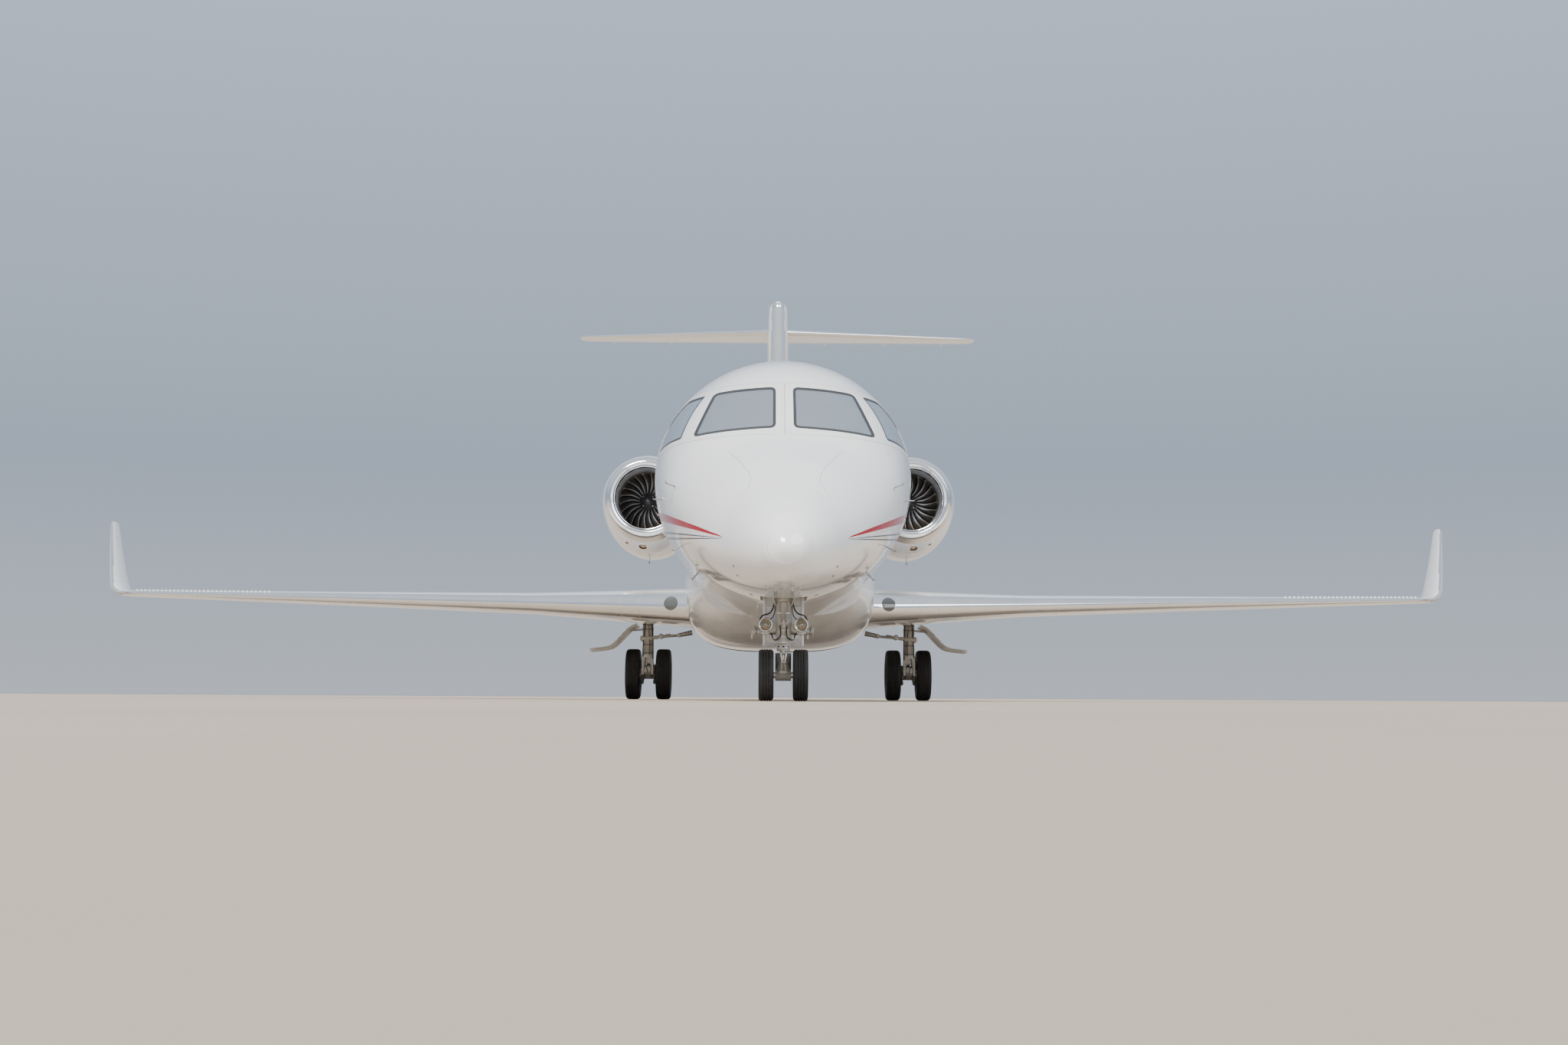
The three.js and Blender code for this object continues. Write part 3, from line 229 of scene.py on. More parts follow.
def tube(name, points, radius, smooth=True):
    """A round tube along a curve through points."""
    pick(bpy.context.object)
    bpy.ops.curve.primitive_bezier_curve_add()
    piece = bpy.context.object
    piece.name = name
    spline = piece.data.splines[0]
    spline.bezier_points.add(len(points) - 2)
    for knot, point in zip(spline.bezier_points, points):
        knot.co = Vector(point) - piece.location
        knot.handle_left_type = knot.handle_right_type = "AUTO" if smooth else "VECTOR"
    piece.data.bevel_depth, piece.data.bevel_resolution = radius, TUBE_ROUND
    piece.data.resolution_u, piece.data.use_fill_caps = TUBE_STEPS, True
    bpy.ops.object.convert(target="MESH")
    return settle(bpy.context.object)


# %% Cutting, joining and copying
def carve(piece, cutter, operation="DIFFERENCE"):
    pick(piece)
    modifier = piece.modifiers.new("cut", "BOOLEAN")
    modifier.operation, modifier.solver, modifier.object = operation, "EXACT", cutter
    bpy.ops.object.modifier_apply(modifier=modifier.name)
    bpy.data.objects.remove(cutter)
    return piece


def joined(name, pieces):
    pieces = list(pieces)
    pick(*pieces)
    if len(pieces) > 1:
        bpy.ops.object.join()
    piece = bpy.context.object
    piece.name = name
    return piece


def copied(piece, name, matrix=Matrix()):
    """A copy with its own mesh, moved by a matrix. A mirrored copy has its faces turned outwards again."""
    twin = piece.copy()
    twin.data = piece.data.copy()
    twin.name = name
    bpy.context.scene.collection.objects.link(twin)
    twin.data.transform(matrix)
    if matrix.determinant() < 0:
        twin.data.flip_normals()
    return twin


MIRROR = Matrix.Scale(-1, 4, (1, 0, 0))


def true_normals(piece, skin):
    """Shades the outer faces with the normals of the uncut skin, so that cuts leave no dents."""
    skin.data.update()
    tree = BVHTree.FromPolygons([v.co for v in skin.data.vertices], [p.vertices for p in skin.data.polygons])
    corners = [v.normal.copy() for v in skin.data.vertices]
    mesh = piece.data
    normals = [Vector(n.vector) for n in mesh.corner_normals]
    found = {}
    for face in mesh.polygons:
        for corner in face.loop_indices:
            index = mesh.loops[corner].vertex_index
            if index not in found:
                place, _, near, _ = tree.find_nearest(mesh.vertices[index].co, REACH)
                if place is None:
                    found[index] = None
                else:
                    ids = skin.data.polygons[near].vertices
                    weights = [1 / ((skin.data.vertices[i].co - place).length + 1e-6) ** 2 for i in ids]
                    found[index] = sum((corners[i] * w for i, w in zip(ids, weights)), Vector()).normalized()
            normal = found[index]
            if normal is not None and normal.dot(face.normal) > AGREE:
                normals[corner] = normal
    mesh.normals_split_custom_set(normals)


# %% Finishing a piece
def finish(piece, body, finishes, replaces=(), angle=32):
    """Gives a piece its shading, materials and body, and hides the CAD nodes that it stands for."""
    settle(piece)
    if angle:
        bpy.ops.object.shade_smooth_by_angle(angle=math.radians(angle))
    piece.data.name = piece.name
    if not isinstance(finishes, (list, tuple)):
        finishes = [finishes]
    piece.data.materials.clear()
    for one in finishes:
        piece.data.materials.append(one)
    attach(piece, body)
    if replaces:
        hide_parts(*([replaces] if isinstance(replaces, str) else replaces))
    print(f"{piece.name}: {len(piece.data.polygons)} faces on {body}")
    return piece


# %% [markdown]
# ## Camera, floor and light
# The photo was taken from the ground, straight ahead of the nose, with a long lens. A low camera makes the
# belly and the tyres large, and the tail rises behind the cabin. The floor is plain and warm, because its
# colour is mirrored by the glossy underside. A pale sky and two large soft lamps do the rest.

# %% Camera
CAMERA_PLACE = (-0.129, -25.15, 0.03)
CAMERA_TURN = (94.93, -0.3, -0.45)      # degrees: almost level, with the photo's slight lean and turn
LENS = 46.65
FAR_END = 4000
for name in ("Cube", "Light", "Camera"):
    if name in bpy.data.objects:
        bpy.data.objects.remove(bpy.data.objects[name])
bpy.ops.object.camera_add(location=CAMERA_PLACE, rotation=[math.radians(turn) for turn in CAMERA_TURN])
camera = bpy.context.object
camera.data.lens = LENS
camera.data.clip_end = FAR_END
bpy.context.scene.camera = camera
print("camera distance to the nose", round(at(0) - CAMERA_PLACE[1], 2), "m, lens", LENS, "mm")

# %% Soft light from the sky and from large lamps
# Columns: place between a look 12 degrees down and one straight up, colour. The step is the horizon.
SKY = [
    [0.0, (0.36, 0.30, 0.24, 1)], [0.160, (0.36, 0.30, 0.24, 1)], [0.166, (0.58, 0.63, 0.70, 1)],
    [0.26, (0.42, 0.50, 0.62, 1)], [0.45, (0.60, 0.70, 0.86, 1)], [1.0, (0.95, 0.97, 1.0, 1)],
]
LOWEST_LOOK = -0.2
SKY_STRENGTH = 0.95
world = bpy.context.scene.world or bpy.data.worlds.new("studio")
bpy.context.scene.world = world
world.use_nodes = True
sky = world.node_tree
sky.nodes.clear()


def node(tree, kind, sockets=None, **settings):
    """Adds a shader node. Sockets take values or the outputs of other nodes."""
    made = tree.nodes.new(kind)
    for key, value in settings.items():
        setattr(made, key, value)
    for key, value in (sockets or {}).items():
        if isinstance(value, bpy.types.NodeSocket):
            tree.links.new(value, made.inputs[key])
        else:
            made.inputs[key].default_value = value
    return made


heading = node(sky, "ShaderNodeTexCoord").outputs["Generated"]
height = node(sky, "ShaderNodeSeparateXYZ", {0: heading}).outputs["Z"]
look = node(sky, "ShaderNodeMapRange", {0: height, 1: LOWEST_LOOK, 2: 1.0}).outputs[0]
shade = node(sky, "ShaderNodeValToRGB", {0: look})
for place, colour in SKY[1:-1]:
    shade.color_ramp.elements.new(place)
for element, (place, colour) in zip(shade.color_ramp.elements, SKY):
    element.color = colour
glow = node(sky, "ShaderNodeBackground", {"Color": shade.outputs["Color"], "Strength": SKY_STRENGTH})
node(sky, "ShaderNodeOutputWorld", {"Surface": glow.outputs[0]})


def sun(name, towards, power, spread, colour):
    """A far, soft lamp. Spread is its apparent size in degrees."""
    bpy.ops.object.light_add(type="SUN", location=(0, 0, 12))
    made = bpy.context.object
    made.name = name
    made.data.energy, made.data.angle, made.data.color = power, math.radians(spread), colour
    made.rotation_euler = Vector(towards).to_track_quat("-Z", "Y").to_euler()
    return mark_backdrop(made)


sun("high_lamp", (0.35, 0.85, -1.0), 5.2, 22, (1.0, 0.975, 0.94))
sun("side_lamp", (-0.9, 0.55, -0.8), 1.6, 40, (0.94, 0.97, 1.0))

# %% The floor
FLOOR_SIZE = 3000
bpy.ops.mesh.primitive_plane_add(size=1)
floor = bpy.context.object
floor.name = "studio_floor"
floor.scale = (FLOOR_SIZE, FLOOR_SIZE, 1)
settle(floor)

# %% [markdown]
# ## The shape of the fuselage
# A fuselage is drawn as a row of frames. Each frame has a half width, a crown, a keel and a waist where it
# is widest. Curves through the rows give every frame between them, so one function can lay a skin of any
# fineness, and the same function with an offset lays the lining or the glass below it.

# %% Frames
# Columns: station, half width, crown, keel, waist
BODY = [
    [0.00, 0.000, 1.140, 1.140, 1.140], [0.04, 0.108, 1.246, 1.040, 1.142],
    [0.15, 0.208, 1.352, 0.955, 1.150], [0.40, 0.345, 1.508, 0.888, 1.180],
    [0.76, 0.488, 1.690, 0.864, 1.235], [1.25, 0.680, 1.935, 0.860, 1.350],
    [1.93, 0.900, 2.240, 0.860, 1.580], [2.45, 1.025, 2.540, 0.860, 1.740],
    [3.00, 1.110, 2.834, 0.861, 1.880], [3.50, 1.162, 3.050, 0.862, 1.975],
    [4.00, 1.205, 3.192, 0.864, 2.045], [4.70, 1.233, 3.305, 0.864, 2.090],
    [5.50, 1.236, 3.336, 0.864, 2.100], [11.5, 1.236, 3.336, 0.864, 2.100],
    [12.5, 1.205, 3.336, 0.905, 2.130], [13.3, 1.140, 3.330, 1.040, 2.190],
    [14.3, 1.020, 3.315, 1.330, 2.300], [15.5, 0.810, 3.280, 1.730, 2.440],
    [16.8, 0.560, 3.210, 2.140, 2.600], [18.0, 0.320, 3.110, 2.480, 2.740],
    [18.7, 0.165, 3.020, 2.650, 2.810],
]
RADOME_END, FORWARD_END, CABIN_END, TAIL_END = 0.76, 5.3, 12.2, 18.7
WALL = 0.1
FLOOR_TOP = 1.28
BODY_SIDES = 144
JOINT = 0.0015          # half the width of a joint between two panels
NOSE_START = 0.0002     # the skin starts here, where the first ring is wide enough to close
NOSE_POWER = 0.55       # how bluntly the nose tip is rounded


def smooth(rows, column, s):
    """One column's value at a station, on a smooth curve through the rows."""
    last = len(rows) - 1
    k = min(max(sum(row[0] <= s for row in rows) - 1, 0), last - 1)

    def secant(i):
        return (rows[i + 1][column] - rows[i][column]) / (rows[i + 1][0] - rows[i][0])

    def slope(i):
        before, after = secant(max(i - 1, 0)), secant(min(i, last - 1))
        return 0 if before * after <= 0 else (before + after) / 2

    span = rows[k + 1][0] - rows[k][0]
    t = (s - rows[k][0]) / span
    return ((2 * t ** 3 - 3 * t ** 2 + 1) * rows[k][column] + (t ** 3 - 2 * t ** 2 + t) * span * slope(k)
            + (3 * t ** 2 - 2 * t ** 3) * rows[k + 1][column] + (t ** 3 - t ** 2) * span * slope(k + 1))


def linear(rows, column, s):
    """One column's value on straight lines through the rows."""
    k = min(max(sum(row[0] <= s for row in rows) - 1, 0), len(rows) - 2)
    t = (s - rows[k][0]) / (rows[k + 1][0] - rows[k][0])
    return rows[k][column] + t * (rows[k + 1][column] - rows[k][column])


def frame_at(station):
    """Half width, crown, keel and waist. The first few centimetres are rounded off like a real nose."""
    if station < BODY[1][0]:
        grow = (max(station, 0) / BODY[1][0]) ** NOSE_POWER
        return [a + (b - a) * grow for a, b in zip(BODY[0][1:], BODY[1][1:])]
    return [smooth(BODY, column, station) for column in (1, 2, 3, 4)]


def body_point(station, angle, offset=0.0):
    half, crown, keel, waist = frame_at(station)
    rise = crown - waist if math.sin(angle) > 0 else waist - keel
    return Vector(((half + offset) * math.cos(angle), at(station),
                   waist + (rise + offset) * math.sin(angle)))


def body_ring(station, offset=0.0, sides=BODY_SIDES):
    return [body_point(station, 2 * math.pi * i / sides, offset) for i in range(sides)]


def stations(start, end):
    """Stations close together where the shape curves quickly, and far apart along the straight cabin."""
    found, s = [start], start
    while s < end:
        s += 0.0015 + 0.12 * s if s < 0.3 else 0.04 if s < 5.5 else 0.3 if s < 11.4 else 0.07
        found.append(min(s, end))
    if len(found) > 2 and found[-1] - found[-2] < 0.004:
        found.pop(-2)
    return found


def body_loft(name, start, end, offset=0.0, sides=BODY_SIDES):
    return wrap(name, [body_ring(s, offset, sides) for s in stations(start, end)])


guide = body_loft("uncut_skin", NOSE_START, TAIL_END)
print("uncut skin:", len(guide.data.polygons), "faces")

# %% [markdown]
# ## Openings
# The cockpit panes are drawn as seen from ahead, the side ones as seen from the side, and pulled through
# the skin as prisms. A little grown they cut the openings, shrunk they cut the panes, and the ring between
# is the seal.

# %% Outlines of the windows and of the door
WINDSCREEN = [(0.075, 2.305), (0.075, 2.785), (0.632, 2.768), (0.800, 2.276)]               # x, z
SIDE_WINDOW = [(2.735, 2.29), (3.34, 2.765), (3.82, 2.78), (4.04, 2.56), (3.96, 2.29)]      # station, z
# Where the prisms of the panes begin and end: stations, then distances from the middle
FRONT_REACH, SIDE_REACH, CABIN_REACH = (1.8, 3.6), (0.5, 1.4), (0.9, 1.4)


def front_pane(side, grow=0.0):
    outline = rounded(grown(WINDSCREEN, grow), 0.055 + max(grow, -0.03), 8)
    return prism("front_pane", [(side * x, z) for x, z in outline], "y", *[at(s) for s in FRONT_REACH])


def side_pane(side, grow=0.0):
    outline = rounded(grown(SIDE_WINDOW, grow), 0.05 + max(grow, -0.03), 8)
    return prism("side_pane", [(at(s), z) for s, z in outline], "x", *[side * x for x in SIDE_REACH])


WINDOW_COUNT, WINDOW_FIRST, WINDOW_PITCH = 7, 5.8, 0.8
WINDOW_LOW, WINDOW_HIGH, WINDOW_WIDTH = 2.12, 2.53, 0.3


def cabin_pane(index, side, grow=0.0):
    front = WINDOW_FIRST + index * WINDOW_PITCH
    corners = [(front, WINDOW_LOW), (front, WINDOW_HIGH), (front + WINDOW_WIDTH, WINDOW_HIGH),
               (front + WINDOW_WIDTH, WINDOW_LOW)]
    outline = rounded(grown(corners, grow), 0.12 + grow, 8)
    return prism("cabin_pane", [(at(s), z) for s, z in outline], "x", *[side * x for x in CABIN_REACH])


DOOR_FRONT, DOOR_REAR, DOOR_LOW, DOOR_HIGH, DOOR_GAP = 4.21, 5.07, 1.17, 2.85, 0.009
HINGE = (0.806, 1.176)      # x, z of the door's hinge line


def door_prism(grow=0.0):
    corners = [(DOOR_FRONT, DOOR_LOW), (DOOR_FRONT, DOOR_HIGH),
               (DOOR_REAR, DOOR_HIGH), (DOOR_REAR, DOOR_LOW)]
    outline = rounded(grown(corners, grow), 0.06 + grow, 8)
    return prism("door_outline", [(at(s), z) for s, z in outline], "x", *SIDE_REACH)


# %% Where the skin reaches a given height
def angle_at(station, z):
    """The angle on a frame at which the skin is at height z, or None if the frame doesn't reach it."""
    half, crown, keel, waist = frame_at(station)
    rise = crown - waist if z > waist else waist - keel
    share = (z - waist) / rise
    return math.asin(share) if abs(share) < 1 else None


DEEP, SHALLOW = 0.02, 0.0008        # below the outer skin


def lined(piece, middle=None):
    """Gives the deep faces the second material, and those between skin and depth a third one, if named."""
    tree = BVHTree.FromPolygons([v.co for v in guide.data.vertices],
                                [p.vertices for p in guide.data.polygons])
    for face in piece.data.polygons:
        distance = tree.find_nearest(face.center)[3]
        if distance > DEEP:
            face.material_index = 1
        elif middle is not None and distance > SHALLOW:
            face.material_index = middle
    return piece


# %% [markdown]
# ## Finishes
# Every finish is built from the same few nodes. A slow noise varies the colour, a fast noise varies the
# roughness and lifts the surface by a few hundredths of a millimetre. All of them read Object coordinates,
# so the patterns have their real size in metres and move with the piece. Edges of worn metal are found by
# their pointiness. In the tables below, tint is how much the colour varies, cloud and grain are the scales
# of the two noises, spread is how much the gloss varies, and lift is the height of the relief.

# %% Shader helpers
NOISE_DETAIL = 4.0


def noise(tree, coords, scale, stretch=None):
    if stretch:
        coords = node(tree, "ShaderNodeMapping", {"Vector": coords, "Scale": stretch}).outputs[0]
    made = node(tree, "ShaderNodeTexNoise", {"Vector": coords, "Scale": scale, "Detail": NOISE_DETAIL})
    return made.outputs["Fac"]


def remap(tree, value, low, high, out_low=0.0, out_high=1.0):
    return node(tree, "ShaderNodeMapRange", {0: value, 1: low, 2: high, 3: out_low, 4: out_high}).outputs[0]


def maths(tree, operation, *values):
    return node(tree, "ShaderNodeMath", dict(enumerate(values)), operation=operation).outputs[0]


def mix(tree, factor, first, second):
    made = node(tree, "ShaderNodeMix", data_type="RGBA", blend_type="MIX")
    for index, value in ((0, factor), (6, first), (7, second)):
        if isinstance(value, bpy.types.NodeSocket):
            tree.links.new(value, made.inputs[index])
        else:
            made.inputs[index].default_value = value
    return made.outputs[2]


def rgba(colour, factor=1.0):
    return (*(min(c * factor, 1.0) for c in colour), 1.0)


NOISE_LOW, NOISE_HIGH = 0.3, 0.7            # nearly all of a noise lies between these
EDGE_START, EDGE_FULL = 0.545, 0.60         # pointiness at which wear begins, and at which it is complete


def surface(name, colour, rough, metallic=0.0, tint=0.06, cloud=4.0, grain=120.0, spread=0.06, lift=2e-5,
            coat=0.0, worn=None, stretch=None, **extra):
    """A finish with colour variation, uneven gloss, a fine relief and, where a worn colour is given, bright
    worn edges.
    What else is given goes to the shader's inputs of that name."""
    material = bpy.data.materials.new(name)
    material.use_nodes = True
    tree = material.node_tree
    shader = tree.nodes["Principled BSDF"]
    coords = node(tree, "ShaderNodeTexCoord").outputs["Object"]
    slow, fast = noise(tree, coords, cloud), noise(tree, coords, grain, stretch=stretch)
    tone = mix(tree, remap(tree, slow, NOISE_LOW, NOISE_HIGH),
               rgba(colour, 1 - tint), rgba(colour, 1 + tint))
    both = maths(tree, "ADD", maths(tree, "MULTIPLY", slow, 0.5), maths(tree, "MULTIPLY", fast, 0.5))
    gloss = remap(tree, both, NOISE_LOW, NOISE_HIGH, max(rough - spread, 0.01), rough + spread)
    if worn:
        point = node(tree, "ShaderNodeNewGeometry").outputs["Pointiness"]
        uneven = maths(tree, "ADD", point, maths(tree, "MULTIPLY", fast, 0.04))
        edge = remap(tree, uneven, EDGE_START, EDGE_FULL)
        tone = mix(tree, edge, tone, rgba(worn))
    tree.links.new(tone, shader.inputs["Base Color"])
    tree.links.new(gloss, shader.inputs["Roughness"])
    bump = node(tree, "ShaderNodeBump", {"Height": fast, "Strength": 1.0, "Distance": lift})
    tree.links.new(bump.outputs[0], shader.inputs["Normal"])
    shader.inputs["Metallic"].default_value = metallic
    shader.inputs["Coat Weight"].default_value = coat
    shader.inputs["Coat Roughness"].default_value = 0.03
    for key, value in extra.items():
        shader.inputs[key.replace("_", " ")].default_value = value
    return material


# %% Paints, metals, rubber and trim
WHITE = (0.86, 0.865, 0.87)
paint = surface("white paint", WHITE, 0.12, tint=0.012, cloud=0.8, grain=60.0, spread=0.04, coat=0.6)
bright_metal = surface("polished leading edge", (0.86, 0.87, 0.88), 0.14, 1.0, tint=0.03, cloud=2.0,
                       grain=300.0, spread=0.05, stretch=(0.1, 1.0, 1.0))
lip_metal = surface("polished inlet lip", (0.88, 0.89, 0.90), 0.10, 1.0, tint=0.02, cloud=3.0, grain=250.0,
                    spread=0.04)
gear_paint = surface("gear paint", (0.44, 0.42, 0.37), 0.36, tint=0.14, cloud=11.0, grain=260.0, coat=0.1,
                     worn=(0.62, 0.61, 0.57))
gear_grey = surface("machined grey", (0.27, 0.26, 0.24), 0.40, 0.6, tint=0.14, cloud=14.0, grain=300.0,
                    worn=(0.60, 0.59, 0.56))
chrome = surface("chromed piston", (0.82, 0.82, 0.83), 0.08, 1.0, tint=0.02, cloud=30.0, grain=500.0,
                 spread=0.03, stretch=(1.0, 1.0, 0.2))
steel = surface("steel", (0.48, 0.48, 0.49), 0.30, 1.0, tint=0.10, cloud=20.0,
                grain=400.0, worn=(0.8, 0.8, 0.8))
dark_steel = surface("blackened steel", (0.045, 0.046, 0.05), 0.42, 0.5, tint=0.2, cloud=20.0, grain=300.0,
                     worn=(0.30, 0.30, 0.31))
hub_paint = surface("wheel paint", (0.50, 0.49, 0.46), 0.38, tint=0.08, cloud=16.0, grain=260.0,
                    worn=(0.50, 0.48, 0.45))
brake = surface("carbon brake", (0.10, 0.10, 0.105), 0.55, 0.3, tint=0.2, cloud=30.0, grain=500.0, lift=1e-4)
hose = surface("black hose", (0.025, 0.025, 0.028), 0.48, tint=0.2, cloud=25.0, grain=700.0, lift=1e-4)
seal = surface("window seal", (0.03, 0.032, 0.035), 0.55, tint=0.15, cloud=12.0, grain=300.0, lift=8e-5)
# Painted shade: a near-black finish for the floors of holes, ports, vents and slots, where only shade falls
shadow = surface("deep recess", (0.012, 0.012, 0.014), 0.8, tint=0.2, cloud=6.0, grain=80.0)
primer = surface("bay primer", (0.42, 0.42, 0.38), 0.5, tint=0.10, cloud=7.0, grain=150.0)
# The blades' dark tone paints the shade deep inside the duct: painted shade
titanium = surface("fan blade titanium", (0.15, 0.157, 0.175), 0.38, 0.7, tint=0.10, cloud=10.0, grain=500.0,
                   worn=(0.80, 0.77, 0.70), stretch=(1.0, 0.15, 1.0), spread=0.08)
spinner_paint = surface("spinner", (0.075, 0.078, 0.085), 0.32, 0.5, tint=0.15,
                        cloud=12.0, grain=300.0, coat=0.2)
bronze = surface("heat tinted ring", (0.36, 0.24, 0.13), 0.33, 1.0, tint=0.12, cloud=14.0, grain=300.0)
hot_metal = surface("exhaust metal", (0.33, 0.30, 0.27), 0.36, 1.0, tint=0.15, cloud=6.0, grain=250.0,
                    stretch=(1.0, 0.2, 1.0), spread=0.1)
core_metal = surface("engine case", (0.30, 0.31, 0.32), 0.42, 0.9, tint=0.12, cloud=8.0, grain=250.0)
liner = surface("acoustic liner", (0.34, 0.35, 0.36), 0.45, 0.4, tint=0.08,
                cloud=6.0, grain=420.0, lift=2e-4)
lining = surface("cabin lining", (0.62, 0.58, 0.50), 0.6, tint=0.05, cloud=3.0, grain=220.0, lift=5e-5)
leather = surface("cream leather", (0.50, 0.43, 0.33), 0.42, tint=0.09, cloud=9.0, grain=620.0, lift=1.6e-4)
carpet = surface("short carpet", (0.16, 0.145, 0.13), 0.92, tint=0.22, cloud=30.0, grain=900.0, lift=9e-4)
wood = surface("veneer", (0.22, 0.10, 0.045), 0.22, tint=0.30, cloud=5.0, grain=60.0, coat=0.5,
               stretch=(6.0, 0.6, 6.0))
panel_black = surface("panel black", (0.03, 0.031, 0.034), 0.5, tint=0.2, cloud=12.0, grain=350.0, lift=6e-5)
screen = surface("display glass", (0.01, 0.014, 0.02), 0.08, tint=0.1, cloud=8.0, grain=40.0, spread=0.03,
                 coat=0.8, Emission_Color=rgba((0.05, 0.12, 0.2)), Emission_Strength=0.25)
# The bowls' dark bronze tint paints the reflections that they show: painted reflection
reflector = surface("lamp reflector", (0.45, 0.40, 0.31), 0.09, 1.0, tint=0.02, cloud=40.0, grain=300.0,
                    spread=0.03)
white_plate = surface("light grey plate", (0.58, 0.59, 0.60), 0.34, tint=0.05, cloud=6.0, grain=200.0)


def glass(name, colour, rough=0.02, index=1.5, weight=1.0, film=0.0):
    """Weight is how much light passes, and film how metallic a coating makes it."""
    return surface(name, colour, rough, film, tint=0.02, cloud=3.0, grain=25.0, spread=0.012, lift=4e-6,
                   Transmission_Weight=weight, IOR=index)


windscreen_glass = glass("windscreen glass", (0.82, 0.91, 0.96), 0.02, 1.6, film=0.58)
cabin_glass = glass("cabin glass", (0.80, 0.84, 0.85), 0.03, 1.5, film=0.12)
lamp_glass = glass("lamp glass", (0.97, 0.98, 0.98), 0.02, 1.5)
ribbed_glass = glass("ribbed lamp glass", (0.50, 0.50, 0.48), 0.12, 1.5, 0.35, 0.25)
smoked_glass = glass("smoked lamp glass", (0.17, 0.175, 0.17), 0.10, 1.5, 0.5, 0.2)
floor_material = surface("pale floor", (0.42, 0.35, 0.275), 0.8, tint=0.05, cloud=0.35, grain=9.0, lift=6e-4)
floor.data.materials.append(floor_material)

# %% [markdown]
# ## The fuselage paint
# Three stripes sweep back from a point at the radome and spread out along the cabin. In the paint a line of
# heights gives their middle, a second curve gives how far they have spread, and a ramp with hard steps
# turns the distance from the middle into red, navy or white. Towards the bottom a warm, darker tint in
# streaks paints the reflection of the floor.

# %% Stripes
# Columns: station, height of the stripes' middle, spread
STRIPES = [
    [0.76, 1.264, 0.0], [0.8, 1.2685, 0.083], [1.0, 1.291, 0.192], [1.25, 1.319, 0.33], [1.6, 1.355, 0.493],
    [2.0, 1.394, 0.649], [2.5, 1.4405, 0.786], [3.0, 1.4825, 0.859], [3.5, 1.525, 0.92],
    [4.0, 1.5665, 0.96], [4.5, 1.6075, 0.993], [5.0, 1.641, 1.0], [5.6, 1.669, 1.0], [6.4, 1.686, 1.0],
    [7.6, 1.694, 1.0], [12.3, 1.70, 1.0], [13.2, 1.745, 0.96], [14.3, 1.86, 0.85], [15.5, 2.02, 0.62],
    [16.8, 2.20, 0.30], [17.6, 2.31, 0.0],
]
NAVY, RED = (0.006, 0.011, 0.06), (0.38, 0.004, 0.010)
# Rows: distance from the middle at which a colour begins, colour, share of paint over the white
BANDS = [(-0.072, NAVY, 1), (-0.048, WHITE, 0), (-0.012, NAVY, 1), (0.012, WHITE, 0), (0.112, RED, 1),
         (0.204, WHITE, 0)]
STRIPE_SPAN = (-0.10, 0.25)
STRIPE_TIP = 0.004                  # spread below which there is no stripe
# The warm, darker tint of the lower skin: a painted reflection of the floor
FLOOR_REFLECTION = (0.50, 0.47, 0.42, 1)
REFLECTION_TOP, REFLECTION_BOTTOM = 1.15, 0.85  # heights between which the painted reflection of the floor sets in


def float_curve(tree, value, rows, column, top):
    made = node(tree, "ShaderNodeFloatCurve", {"Value": value})
    curve = made.mapping.curves[0]
    for _ in range(len(rows) - 2):
        curve.points.new(0.5, 0.5)
    for knot, row in zip(curve.points, rows):
        knot.location, knot.handle_type = (row[0] / LENGTH, row[column] / top), "AUTO_CLAMPED"
    made.mapping.update()
    return maths(tree, "MULTIPLY", made.outputs[0], top)


def body_paint(name):
    material = surface(name, WHITE, 0.12, tint=0.012, cloud=0.8, grain=60.0, spread=0.04, coat=0.6)
    tree = material.node_tree
    shader = tree.nodes["Principled BSDF"]
    base = shader.inputs["Base Color"].links[0].from_socket
    coords = node(tree, "ShaderNodeTexCoord").outputs["Object"]
    parts = node(tree, "ShaderNodeSeparateXYZ", {0: coords})
    station = maths(tree, "ADD", parts.outputs["Y"], LENGTH / 2)
    share = maths(tree, "DIVIDE", station, LENGTH)
    middle, spread = float_curve(tree, share, STRIPES, 1, 3.0), float_curve(tree, share, STRIPES, 2, 1.0)
    away = maths(tree, "DIVIDE", maths(tree, "SUBTRACT", parts.outputs["Z"], middle),
                 maths(tree, "MAXIMUM", spread, 0.002))
    stripes = node(tree, "ShaderNodeValToRGB", {0: remap(tree, away, *STRIPE_SPAN)})
    ramp = stripes.color_ramp
    ramp.interpolation = "CONSTANT"
    ramp.elements[0].color, ramp.elements[1].color = (*WHITE, 0), (*WHITE, 0)
    for start, colour, cover in BANDS:
        place = (start - STRIPE_SPAN[0]) / (STRIPE_SPAN[1] - STRIPE_SPAN[0])
        ramp.elements.new(place).color = (*colour, cover)
    shown = maths(tree, "MULTIPLY", stripes.outputs["Alpha"],
                  maths(tree, "GREATER_THAN", spread, STRIPE_TIP))
    # Towards the bottom the white takes the warm tint in streaks: painted reflection of the floor
    reflection_share = maths(tree, "MULTIPLY", remap(tree, parts.outputs["Z"], REFLECTION_TOP, REFLECTION_BOTTOM, 0.0, 0.35),
                 remap(tree, noise(tree, coords, 5.0, stretch=(1.0, 0.2, 1.0)), 0.35, 0.7))
    dusty = mix(tree, reflection_share, base, FLOOR_REFLECTION)
    tree.links.new(mix(tree, shown, dusty, stripes.outputs["Color"]), shader.inputs["Base Color"])
    tree.links.new(remap(tree, shown, 0, 1, 0.5, 0.12), shader.inputs["Specular IOR Level"])
    tree.links.new(remap(tree, shown, 0, 1, 0.6, 0.05), shader.inputs["Coat Weight"])
    return material


fuselage_paint = body_paint("striped white paint")
print("finishes:", len(bpy.data.materials))

